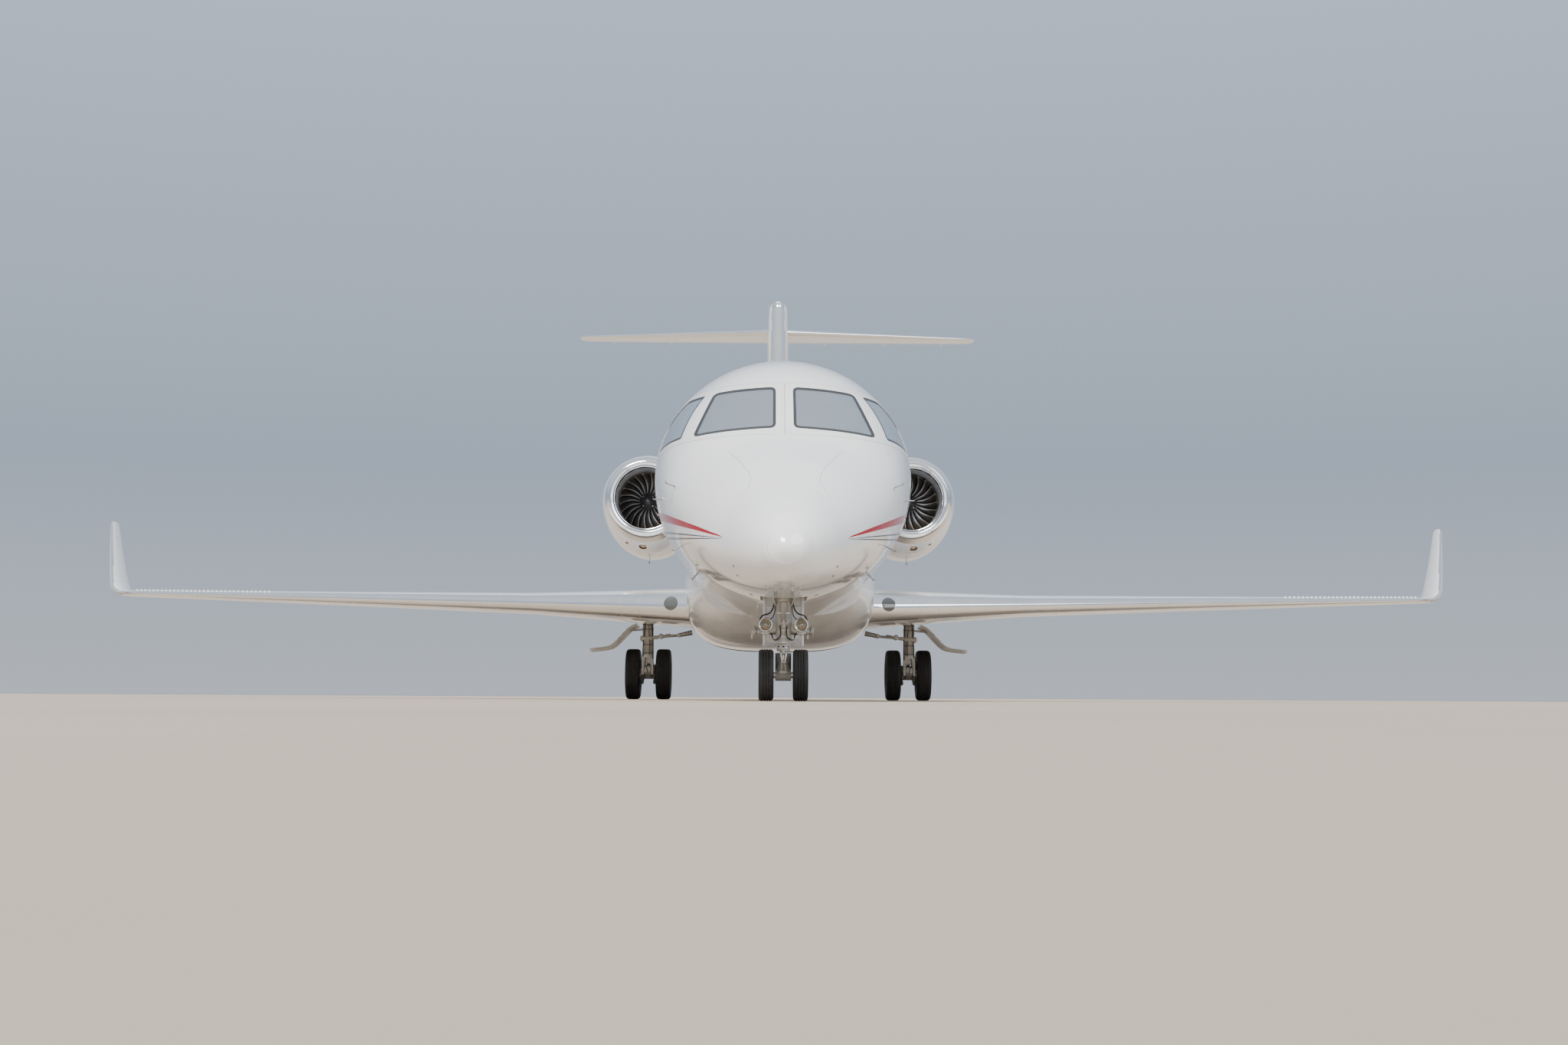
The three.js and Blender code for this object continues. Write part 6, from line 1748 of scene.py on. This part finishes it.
for side, word in SIDES:
    x = side * MAIN_X
    leg = [upright("strut", STRUT, x, LEG, 56),
           bevel(prism("clevis", [(x + a, z) for a, z in CLEVIS], "y", at(LEG - 0.062), at(LEG + 0.056)),
                 0.006)]
    kit(f"main_leg_casting_{word}", "airframe", gear_paint,
        leg + bars(LEG_BARS, side, (MAIN_X, LEG)), f"main_leg_{word}")
    brace = bars(BRACE_BARS, side, (MAIN_X, LEG))
    brace += hex_bolt(spot(x + side * 0.086, LEG - 0.04, 0.762), (side, 0, 0), 0.020, 0.012)
    brace += hex_bolt(spot(x - side * 0.168, LEG - 0.073, 0.792), (0, -1, 0), 0.015, 0.010)
    brace += hex_bolt(spot(x - side * 0.397, LEG - 0.066, 0.808), (0, -1, 0), 0.013, 0.010)
    for end in (1, -1):
        brace += hex_bolt(spot(x + end * 0.077, LEG - 0.005, PIN_Z), (end, 0, 0), 0.018, 0.009)
    kit(f"main_side_brace_{word}", "airframe", gear_grey, brace)
    rings = [ring_clamp(x, LEG, z, r, 0.012)
             for z, r in ((0.578, 0.0665), (0.683, 0.0680), (0.878, 0.0725), (0.935, 0.0700))]
    kit(f"main_leg_rings_{word}", "airframe", dark_steel, rings)

    # The shock strut, with its chromed rod
    upper, lower = spot(x, LEG + 0.022, 0.785), spot(x, LEG + 0.150, 0.515)
    run = lower - upper
    shock = [bar("cylinder", upper, upper + run * 0.60, 0.033, sides=36, edge=0.003),
             bar("gland", upper + run * 0.55, upper + run * 0.62, 0.037, sides=36, edge=0.003),
             bar("eye", lower - Vector((0.030, 0, 0)), lower + Vector((0.030, 0, 0)),
                 0.025, sides=32, edge=0.003)]
    kit(f"shock_strut_{word}", "airframe", gear_paint, shock)
    kit(f"shock_rod_{word}", "airframe", chrome,
        [bar("rod", upper + run * 0.58, lower - run * 0.05, 0.0215, sides=36)])

    # The trailing arm and the axle's boss
    arm = [bevel(prism("arm", [(at(s), z) for s, z in rounded(ARM_SIDE, 0.018, 4)], "x",
                       x - 0.040, x + 0.040), 0.007),
           bar("axle_boss", spot(x - 0.069, MAIN_AXLE, MAIN_TYRE_RADIUS),
               spot(x + 0.069, MAIN_AXLE, MAIN_TYRE_RADIUS), 0.061, sides=48, edge=0.006),
           bar("arm_eye", spot(x - 0.043, LEG - 0.005, PIN_Z), spot(x + 0.043, LEG - 0.005, PIN_Z),
               0.040, sides=40, edge=0.003),
           block("shock_post", (x - 0.022, at(LEG + 0.130), 0.40),
                 (x + 0.022, at(LEG + 0.170), 0.492), 0.005)]
    kit(f"trailing_arm_forging_{word}", "airframe", gear_paint, arm, f"trailing_arm_{word}")
    brakes = []
    for outward in (1, -1):
        out = Vector((outward, 0, 0))
        hub = spot(x, MAIN_AXLE, MAIN_TYRE_RADIUS) + out * 0.070
        brakes += [bar("brake_plate", hub, hub + out * 0.014, 0.128, sides=56, edge=0.003),
                   bar("torque_tube", hub, hub + out * 0.042, 0.075, sides=48)]
        for k in range(BRAKE_PISTONS):
            a = 2 * math.pi * k / BRAKE_PISTONS + math.radians(20)
            foot = hub + out * 0.002 + Vector((0, math.cos(a), math.sin(a))) * PISTON_CIRCLE
            brakes.append(bar("piston", foot - out * 0.014, foot, 0.021, sides=28, edge=0.003))
    kit(f"brake_housings_{word}", "airframe", gear_grey, brakes)
    kit(f"main_leg_hoses_{word}", "airframe", hose, tubes(MAIN_HOSES, side, MAIN_X))

# %% Curved doors
# Middle of the panel's thickness, seen from ahead. Columns: x, height
DOOR_LINE = [(1.768, 0.935), (1.860, 0.890), (1.960, 0.790), (2.060, 0.690), (2.150, 0.645), (2.360, 0.618)]
MAIN_DOOR_FRONT, MAIN_DOOR_REAR = at(LEG - 0.23), at(LEG + 0.27)
DOOR_HALF, DOOR_ROUND = 0.0205, 0.004       # half the panel's thickness, and how far its edges are rounded
# A section round the panel. Columns: share of the half thickness, 1 for the rear edge, 1 where it stands
# back
DOOR_CORNERS = [(1, 0, 1), (1, 1, 1), (0.6, 1, 0), (-0.6, 1, 0), (-1, 1, 1), (-1, 0, 1), (-0.6, 0, 0),
                (0.6, 0, 0)]
for side, word in SIDES:
    path = [Vector(row) for row in finer(DOOR_LINE, 7, smooth)]
    rings = []
    for i, here in enumerate(path):
        run = (path[min(i + 1, len(path) - 1)] - path[max(i - 1, 0)]).normalized()
        across = Vector((-run.y, run.x)) * DOOR_HALF
        ring = []
        for share, rear, back in DOOR_CORNERS:
            point = here + across * share
            y = MAIN_DOOR_REAR - DOOR_ROUND * back if rear else MAIN_DOOR_FRONT + DOOR_ROUND * back
            ring.append([side * point.x, y, point.y])
        rings.append(ring)
    panel = kit(f"main_gear_door_panel_{word}", "airframe", [paint, gear_grey],
                [wrap("panel", rings)], f"main_gear_door_{word}")
    for face in panel.data.polygons:
        face.material_index = 0 if face.normal.z > 0.3 else 1
    rods = []
    for offset in (-0.06, 0.06):
        rods += bars([("rod", 0.045, offset * 0.4, 0.880, 0.225, offset, 0.868, 0.0115),
                      ("eye", 0.225, offset - 0.016, 0.868, 0.225, offset + 0.016, 0.868,
                       0.020, None, 24, 0.002)], side, (MAIN_X, LEG))
    kit(f"main_gear_door_rods_{word}", "airframe", gear_grey, rods)

# %% [markdown]
# ## Cabin
# Through the windscreen, the open door and the cabin windows one sees a floor with carpet, seats, ledges
# and the instrument panel. What touches the lining is a box cut to the inside of the fuselage, so it always
# fits the curve. A cushion is a closed, crowned form: a finely divided cube is pushed out to a rounded
# shape, highest in its middle and drawn in at the welt, and the welt is a thin tube along the seam.

# %% Floor, ledges and galley
def fitted(name, low, high):
    """A box cut to the inside of the fuselage's lining."""
    front, rear = low[1] + LENGTH / 2, high[1] + LENGTH / 2
    inside = body_loft("inside", max(front - 0.3, 1.5), rear + 0.3, -WALL - 0.001, 96)
    return carve(block(name, low, high), inside, "INTERSECT")


carpet_plate = fitted("carpet", (-1.2, at(1.951), FLOOR_TOP - 0.04), (1.2, at(12.0), FLOOR_TOP))
carve(carpet_plate, block("doorway", (0.59, at(4.15), 1.0), (1.3, at(5.13), 1.5)))
carve(carpet_plate, block("bay", (-0.26, at(1.9), 1.0), (0.26, at(2.82), 1.26)))
finish(carpet_plate, "airframe", carpet, "cabin_floor")
finish(block("door_sill", (0.592, at(4.16), 1.245), (0.738, at(5.12), 1.279), 0.003),
       "airframe", steel)

LEDGE_LOW, LEDGE_TOP = 1.45, 1.72
ledge_left = fitted("ledge", (0.70, at(6.0), LEDGE_LOW), (1.15, at(10.6), LEDGE_TOP))
kit("side_ledge_left", "airframe", wood, [bevel(ledge_left, 0.008)], "furnishings_left")
ledge_right = [bevel(fitted("ledge", (-1.15, at(5.16), LEDGE_LOW), (-0.72, at(10.6), LEDGE_TOP)), 0.008),
               bevel(fitted("ledge", (-1.15, at(3.0), LEDGE_LOW), (-0.72, at(4.24), LEDGE_TOP)), 0.008)]
kit("side_ledge_right", "airframe", wood, ledge_right, "furnishings_right")
galley = fitted("galley", (-1.15, at(4.25), FLOOR_TOP), (-0.735, at(5.15), 2.85))
kit("galley_cabinet", "airframe", wood, [bevel(galley, 0.006)])
fronts, pulls = [], []
for low, high in ((1.31, 1.68), (1.70, 2.06), (2.10, 2.44), (2.46, 2.80)):
    for front in (4.265, 4.702):
        fronts.append(block("front", (-0.737, at(front), low), (-0.727, at(front + 0.423), high), 0.003))
        pulls.append(block("pull", (-0.727, at(front + 0.17), high - 0.05),
                           (-0.721, at(front + 0.26), high - 0.035), 0.002))
kit("galley_doors", "airframe", wood, fronts)
kit("galley_pulls", "airframe", chrome, pulls)
light_rails = [tube("rail", [spot(side * 0.40, station, 3.12) for station in (5.6, 8.0, 11.6)], 0.018,
                    smooth=False) for side, _ in SIDES]
kit("cabin_light_rails", "airframe", lining, light_rails)


# %% Cushions
BULGE, PLAN_CORNER = 3.2, 6     # powers of the rounded form: low is round, high is boxy
WELT_POINTS, WELT_SIDES, WELT_RADIUS = 28, 6, 0.004


def cushion(low, high, crown=0.10, lean=None):
    """A crowned cushion between two corners with the welt round its widest line. Returns form and welt."""
    low, high = Vector(low), Vector(high)
    middle, half = (low + high) / 2, (high - low) / 2
    thin = min(range(3), key=lambda i: half[i])
    a, b = [i for i in range(3) if i != thin]

    def shaped(p):
        reach = max((abs(p[a]) ** PLAN_CORNER + abs(p[b]) ** PLAN_CORNER) ** (1 / PLAN_CORNER), 1e-6)
        norm = (reach ** BULGE + abs(p[thin]) ** BULGE) ** (1 / BULGE)
        scale = max(abs(p[0]), abs(p[1]), abs(p[2])) / norm
        q = [c * scale for c in p]
        q[thin] *= (1 - crown) + crown * (1 - q[a] ** 2) * (1 - q[b] ** 2)
        point = middle + Vector([q[i] * half[i] for i in range(3)])
        return lean @ point if lean else point

    pick(bpy.context.object)
    bpy.ops.mesh.primitive_cube_add(size=2)
    form = bpy.context.object
    bpy.ops.object.mode_set(mode="EDIT")
    bpy.ops.mesh.subdivide(number_cuts=13)
    bpy.ops.object.mode_set(mode="OBJECT")
    for vertex in form.data.vertices:
        vertex.co = shaped(vertex.co)
    around_seam = []
    for k in range(WELT_POINTS):
        turn = 2 * math.pi * k / WELT_POINTS
        c, s = math.cos(turn), math.sin(turn)
        p = [0.0, 0.0, 0.0]
        edge = max(abs(c), abs(s))
        p[a], p[b] = c / edge, s / edge
        around_seam.append(shaped(Vector(p)))
    rings = []
    for here, out, up in seam_frames(around_seam, middle, thin, lean):
        turns = [2 * math.pi * j / WELT_SIDES for j in range(WELT_SIDES)]
        rings.append([here + (out * math.cos(turn) + up * math.sin(turn)) * WELT_RADIUS for turn in turns])
    return form, wrap("welt", rings, looped=True)


def seam_frames(points, middle, thin, lean):
    """At each point of a seam: the way out from the middle, and the way across the seam."""
    up = Vector([float(i == thin) for i in range(3)])
    centre = middle
    if lean:
        up, centre = (lean.to_3x3() @ up).normalized(), lean @ middle
    frames = []
    for here in points:
        out = here - centre
        frames.append((here, (out - up * out.dot(up)).normalized(), up))
    return frames


SEAT_DEPTH, BACK_LEAN = 0.48, 3.4       # front to back, and degrees of the back


def make_seat(x, station, width, facing):
    """The parts of a seat: base, cushions and welts. Facing is 1 forwards, -1 aft."""
    def run(behind):
        return at(station + (behind if facing > 0 else SEAT_DEPTH - behind))

    def pair(x0, b0, z0, x1, b1, z1):
        """Two corners. x counts from the aircraft's middle, the rest from the seat's front and the floor."""
        y0, y1 = sorted((run(b0), run(b1)))
        return (x0, y0, FLOOR_TOP + z0), (x1, y1, FLOOR_TOP + z1)

    half = width / 2
    base = [block("base", *pair(x - 0.16, 0.11, 0.0, x + 0.16, 0.39, 0.27), 0.012),
            block("pan", *pair(x - half + 0.02, 0.02, 0.268, x + half - 0.02, 0.45, 0.300), 0.008)]
    pivot = Matrix.Translation(Vector((0, run(0.49), FLOOR_TOP + 0.30)))
    lean = pivot @ Matrix.Rotation(math.radians(-facing * BACK_LEAN), 4, "X") @ pivot.inverted()
    shell = block("back_shell", *pair(x - half + 0.015, 0.545, 0.29, x + half - 0.015, 0.572, 0.985), 0.010)
    shell.data.transform(lean)
    base.append(shell)
    cushions = [cushion(*pair(x - half + 0.01, 0.01, 0.298, x + half - 0.01, 0.47, 0.418), 0.16),
                cushion(*pair(x - half + 0.01, 0.462, 0.34, x + half - 0.01, 0.552, 0.82), 0.16, lean),
                cushion(*pair(x - 0.14, 0.458, 0.83, x + 0.14, 0.548, 0.985), 0.18, lean)]
    for arm_x in (x + half - 0.03, x - half + 0.03):
        base += [block("arm", *pair(arm_x - 0.022, 0.10, 0.50, arm_x + 0.022, 0.46, 0.535), 0.010),
                 block("arm_post", *pair(arm_x - 0.012, 0.40, 0.29, arm_x + 0.012, 0.45, 0.51), 0.006)]
    return base, [form for form, _ in cushions], [welt for _, welt in cushions]


# Front station of each seat, and 1 where it faces forwards
SEAT_ROWS = [(6.0, -1), (7.3, 1), (8.7, -1), (10.0, 1)]
for side, word in SIDES:
    base, soft, welts = make_seat(side * 0.40, 2.9, 0.48, 1)
    kit(f"pilot_seat_frame_{word}", "airframe", panel_black, base,
        "pilot_seat_left" if side > 0 else ())
    kit(f"pilot_seat_cushions_{word}", "airframe", leather, soft)
    kit(f"pilot_seat_welts_{word}", "airframe", panel_black, welts)
    bases, softs, seams = [], [], []
    for station, facing in SEAT_ROWS:
        base, soft, welts = make_seat(side * 0.52, station, 0.44, facing)
        bases += base
        softs += soft
        seams += welts
    kit(f"cabin_seat_frames_{word}", "airframe", lining, bases)
    kit(f"cabin_seat_cushions_{word}", "airframe", leather, softs)
    kit(f"cabin_seat_welts_{word}", "airframe", lining, seams)

# %% Instrument panel
panel = fitted("panel", (-1.1, at(2.19), 1.5), (1.1, at(2.405), 2.12))
pedestal = block("pedestal", (-0.148, at(2.40), FLOOR_TOP), (0.148, at(2.85), 1.68), 0.015)
SHIELD_HALF, SHIELD_DROP = 0.93, 0.10       # half its width, and how far its ends hang lower
# A section round the glareshield. Columns: station in the middle, how much further aft a metre out, height
SHIELD_LINE = [(2.02, 0.10, 2.02), (2.10, 0.06, 2.10), (2.30, 0, 2.142), (2.43, 0, 2.138), (2.45, 0, 2.126),
               (2.43, 0, 2.112), (2.2, 0, 2.09), (2.04, 0.1, 2.005)]
shield = []
for x in np.linspace(-SHIELD_HALF, SHIELD_HALF, 25):
    drop = SHIELD_DROP * (x / SHIELD_HALF) ** 4
    shield.append([spot(x, station + swept * abs(x), z - drop) for station, swept, z in SHIELD_LINE])
glareshield = wrap("glareshield", shield)
carve(glareshield, body_loft("inside", 1.5, 3.0, -WALL - 0.003, 96), "INTERSECT")
kit("instrument_panel_body", "airframe", panel_black,
    [bevel(panel, 0.004), pedestal, glareshield], "instrument_panel")
displays, bezels = [], []
for x in (-0.60, -0.20, 0.20, 0.60):
    bezels.append(block("bezel", (x - 0.185, at(2.402), 1.755), (x + 0.185, at(2.414), 2.035), 0.004))
    displays.append(block("display", (x - 0.168, at(2.410), 1.772), (x + 0.168, at(2.4165), 2.018), 0.001))
displays.append(block("display", (-0.105, at(2.46), 1.676), (0.105, at(2.62), 1.684), 0.001))
kit("display_bezels", "airframe", gear_grey, bezels)
kit("displays", "airframe", screen, displays)
levers = []
for x in (-0.035, 0.035):
    levers += [bar("lever", spot(x, 2.70, 1.68), spot(x, 2.68, 1.76), 0.006, sides=12),
               bar("grip", spot(x - 0.022, 2.68, 1.765), spot(x + 0.022, 2.68, 1.765),
                   0.013, sides=20, edge=0.002)]
kit("thrust_levers", "airframe", gear_grey, levers)

# %% [markdown]
# ## Small things on the skin
# At the scale of an aircraft it is the small things that tell its size: joints of hatches, probes that
# stand off the nose, static wicks, the lamps in the wing roots. A joint is a thin dark strip that follows
# the skin, made as a row of small flat sections along a path of stations and angles.

# %% Joints of hatches and panels
def ribbon(rows, width, lift=0.0003):
    """A thin closed strip along a row of spots with their normals."""
    rings = []
    for i, (here, normal) in enumerate(rows):
        run = (rows[min(i + 1, len(rows) - 1)][0] - rows[max(i - 1, 0)][0]).normalized()
        across = run.cross(normal).normalized() * width / 2
        top, low = here + normal * lift, here - normal * 0.001
        rings.append([top + across, top - across, low - across, low + across])
    return wrap("strip", rings)


def strip(path, width, lift=0.0003):
    """A ribbon along a path on the fuselage. Path rows: station, angle in degrees."""
    spots = []
    for (s0, a0), (s1, a1) in zip(path, path[1:]):
        start, end = body_point(s0, math.radians(a0)), body_point(s1, math.radians(a1))
        steps = max(2, int((end - start).length / 0.03))
        spots += [(s0 + (s1 - s0) * k / steps, math.radians(a0 + (a1 - a0) * k / steps))
                  for k in range(steps)]
    spots.append((path[-1][0], math.radians(path[-1][1])))
    return ribbon([(body_point(s, a), body_normal(s, a)) for s, a in spots], width, lift)


def both_sides(pieces):
    return pieces + [copied(piece, "mirrored", MIRROR) for piece in pieces]


# Nose hatches beside the radome's top, and the frame round the windscreen. Columns: station, angle in
# degrees
HATCH = [(1.80, 56.8), (1.45, 60.5), (1.12, 63.0), (1.02, 62.5), (0.92, 59.0), (0.85, 52.0), (0.82, 47.0)]
BAND_SEAM = 0.006
band_edges = []
for z, start in ((BAND_LOW, post_front), (BAND_TOP, post_rear)):
    places = start + (BAND_REAR - start) * np.linspace(0, 1, 60)[1:] ** 2.2
    angles = [(s, angle_at(s, z)) for s in places]
    band_edges.append([(start, 90)] + [(s, math.degrees(angle)) for s, angle in angles if angle is not None])
band_rear = [(BAND_REAR, a) for a in np.linspace(band_edges[0][-1][1], band_edges[1][-1][1], 12)]
strips = both_sides([strip(HATCH, 0.0035)] + [strip(path, BAND_SEAM) for path in (*band_edges, band_rear)])
strips.append(strip([(0.062, a) for a in np.linspace(0, 360, 61)], 0.0025))
strips.append(strip([(s, 90) for s in np.arange(post_front, post_rear, 0.05)], BAND_SEAM))
for station in (1.62, 2.86):
    strips.append(strip([(station, a) for a in np.linspace(180, 360, 61)], 0.0018))
# Across the wing's leading edge, from the top to the underside. Columns: share of the chord, 1 above or -1
# below
NOSE_SHARES = [(k / 100, 1) for k in range(12, 0, -1)] + [(0.001, 1), (0.001, -1)]
NOSE_SHARES += [(k / 100, -1) for k in range(1, 13)]
for x in (1.63, 1.86, 3.4, 4.9, 6.4, 7.9):
    station, chord, ratio, z = (linear(WING, column, x) for column in (1, 2, 3, 4))
    core = spot(x, station + 0.06 * chord, z)
    path = []
    for share, way in NOSE_SHARES:
        rise = WING_CAMBER * 4 * share * (1 - share) + way * half_thickness(share, ratio)
        here = spot(x, station + share * chord, z + rise * chord)
        path.append((here, (here - core).normalized()))
    strips += both_sides([ribbon(path, 0.004)])
for station in (7.5, 8.15, 11.9):
    low = sorted((Vector(p) for p in fairing_ring(station) if p[2] < 1.0), key=lambda p: p.x)
    middle = spot(0, station, 1.2)
    strips.append(ribbon([(p, (p - middle).normalized()) for p in low], 0.004))
kit("skin_joints", "airframe", gear_grey, strips)
SLOTS = [((0.69, -29.0), (0.715, -31.5)), ((0.83, -43.0), (0.86, -45.5)), ((1.765, -46.8), (1.80, -48.4)),
         ((2.02, -72.0), (2.16, -74.0))]
slots = [strip(slot, 0.016, 0.0006) for slot in SLOTS]
kit("skin_slots", "airframe", shadow, both_sides(slots))

# %% Probes on the nose
# Columns: station, angle in degrees, length of the mast, degrees by which the tube points up
PROBES = [(2.12, 13.6, 0.085, 12), (2.62, -2.4, 0.080, 0), (2.16, -25.6, 0.085, -10),
          (3.30, -47.6, 0.070, 0)]
probes, bases = [], []
for station, angle, length, climb in PROBES:
    foot, normal = body_point(station, math.radians(angle)), body_normal(station, math.radians(angle))
    knee = foot + normal * length
    tip = knee + Vector((0, -0.11, math.sin(math.radians(climb)) * 0.02))
    bases.append(bar("probe_base", foot - normal * 0.004, foot + normal * 0.003,
                     0.022, sides=28, edge=0.001))
    probes.append(bar("mast", foot, knee, 0.0065, 0.0050, 20))
    probes.append(bar("tube", knee + Vector((0, 0.012, 0)), tip, 0.0055, 0.0035, 20, 0.001))
kit("air_data_probes", "airframe", dark_steel, both_sides(probes))
kit("probe_bases", "airframe", white_plate, both_sides(bases))

# %% Lamps in the wing roots
ROOT_X, ROOT_Z, ROOT_REAR, ROOT_RADIUS = 1.25, 1.104, 8.56, 0.0815
# Columns: distance behind the front, radius
ROOT_BOWL = [(0.0, 0.0755), (0.03, 0.070), (0.06, 0.052), (0.075, 0.028), (0.078, 0.002), (0.081, 0.002),
             (0.079, 0.031), (0.064, 0.056), (0.032, 0.074), (0.0, 0.0785)]
for side, word in SIDES:
    wing = bpy.data.objects[f"wing_skin_{word}"]
    glass_disc = copied(wing, f"root_lamp_glass_{word}")
    glass_disc.data.materials.clear()
    shaft = [spot(side * ROOT_X, station, ROOT_Z) for station in (8.05, ROOT_REAR)]
    carve(glass_disc, copied(glass_disc, "inner", Matrix.Translation((0, 0.012, 0))))
    carve(glass_disc, bar("core", *shaft, 0.079, sides=56), "INTERSECT")
    carve(wing, bar("core", *shaft, ROOT_RADIUS, sides=56))
    for face in wing.data.polygons:
        off_axis = math.hypot(face.center.x - side * ROOT_X, face.center.z - ROOT_Z)
        on_wall = abs(off_axis - ROOT_RADIUS) < 0.0008
        if on_wall or off_axis < 0.08 and face.center.y > at(ROOT_REAR - 0.001):
            face.material_index = 0
    finish(glass_disc, "airframe", smoked_glass, angle=40)
    kit(f"root_lamp_reflector_{word}", "airframe", reflector,
        [turned("bowl", ROOT_BOWL, spot(side * ROOT_X, 8.435, ROOT_Z), BACK, 56, looped=True)])
    bulbs = [("bulb", dx, 0.01, ROOT_Z + dz, dx, 0.055, ROOT_Z + dz, 0.014, None, 24, 0.004)
             for dx, dz in ((0, 0.026), (0.024, -0.014), (-0.024, -0.014))]
    kit(f"root_lamp_bulbs_{word}", "airframe", steel, bars(bulbs, side, (ROOT_X, 8.435)))

# %% Vents, scoops and drains of the engines
def keel(station):
    """How far the nacelle reaches below its axis."""
    return smooth(NACELLE, 1, station) + smooth(NACELLE, 2, station)


VENT, VENT_X, VENT_RADIUS = 12.52, 0.266, 0.020         # station, outwards from the axis, radius
# Columns: distance out of the skin, share of the radius
VENT_RING = [(-0.01, 0.70), (0.006, 0.74), (0.008, 0.86), (0.004, 1), (-0.01, 1.02)]
DRAIN = 13.2
vents, vent_rings, drains, bulbs = [], [], [], []
for side, word in SIDES:
    lamp = LAMP_SPOT[word]
    bulbs.append(bar("bulb", lamp + LAMP_AXIS * 0.030, lamp - LAMP_AXIS * 0.005, 0.026, 0.020, 32, 0.006))
    angle = -math.acos(VENT_X / smooth(NACELLE, 1, VENT))
    foot = spot(side * (ENGINE_X + VENT_X), VENT, ENGINE_Z + keel(VENT) * math.sin(angle))
    slope = (keel(VENT + 0.02) - keel(VENT - 0.02)) / 0.04
    normal = Vector((side * math.cos(angle), -slope, math.sin(angle))).normalized()
    vents.append(bar("vent", foot - normal * 0.02, foot + normal * 0.003, VENT_RADIUS * 0.72, sides=40))
    profile = [(out, share * VENT_RADIUS) for out, share in VENT_RING]
    vent_rings.append(turned("ring", profile, foot, normal, 40, looped=True))
    low = ENGINE_Z - keel(DRAIN)
    drains += bars([("drain", 0, 0, low + 0.01, 0, 0.03, low - 0.085, 0.014, 0.011, 24, 0.002)], side,
                   (ENGINE_X, DRAIN))
kit("nacelle_vents", "airframe", shadow, vents)
kit("nacelle_vent_rings", "airframe", bronze, vent_rings)
kit("nacelle_drains", "airframe", steel, drains)
kit("inspection_lamps", "airframe", white_plate, bulbs)

# %% Antennas, belly masts and the wing's small parts
CROWN = 3.335       # height of the cabin's roof
antennas = []
for station, height, chord in ((6.6, 0.13, 0.20), (8.2, 0.20, 0.26), (10.4, 0.10, 0.30)):
    fin_rows = [(CROWN - 0.02, station, chord, 0.12),
                (CROWN + height * 0.5, station + 0.05, chord * 0.8, 0.12),
                (CROWN + height, station + 0.12, chord * 0.55, 0.11)]
    antennas.append(wrap("antenna", [fin_ring(row) for row in finer(fin_rows, 3, linear)]))
kit("top_antennas", "airframe", paint, antennas)
MAST = [("mast", 0.315, 7.9, 0.785, 0.315, 7.92, 0.690, 0.010, 0.008, 20, 0.001)]
kit("belly_masts", "airframe", paint, bars(MAST, 1) + bars(MAST, -1))
# The static wicks, by what they ride on: x of each
WICKS = {"flap_outboard": (5.2, 6.0), "aileron": (6.9, 7.6, 8.3), "wing": (8.85,)}
for side, word in SIDES:
    for riding, places in WICKS.items():
        wicks = []
        for x in places:
            station, chord, z = (linear(WING, column, x) for column in (1, 2, 4))
            foot = spot(side * x, station + chord - 0.01, z)
            wicks.append(bar("wick", foot, foot + Vector((0, 0.13, -0.008)), 0.0028, 0.0016, 10))
        body = "airframe" if riding == "wing" else f"{riding}_{word}"
        kit(f"static_wicks_{riding}_{word}", body, hose, wicks)
VANE_COUNT, VANE_START, VANE_PITCH = 32, 6.76, 0.07      # how many, x of the first, x from one to the next
VANE_SHARE, VANE_TOE = 0.10, 0.3        # share of the chord, turn in radians
vortex = []
for side, _ in SIDES:
    for k in range(VANE_COUNT):
        x = VANE_START + VANE_PITCH * k
        station, chord, ratio, z = (linear(WING, column, x) for column in (1, 2, 3, 4))
        rise = WING_CAMBER * 4 * VANE_SHARE * (1 - VANE_SHARE) + half_thickness(VANE_SHARE, ratio)
        place = Matrix.Translation(spot(side * x, station + VANE_SHARE * chord, z + rise * chord))
        vane = block("vane", (-0.0012, -0.022, -0.004), (0.0012, 0.022, 0.017))
        vane.data.transform(place @ Matrix.Rotation(side * VANE_TOE, 4, "Z"))
        vortex.append(vane)
kit("vortex_vanes", "airframe", paint, vortex)

# %% Removing the helper skins
for helper in (guide, plate, seal_plate, cabin_plate):
    bpy.data.objects.remove(helper)
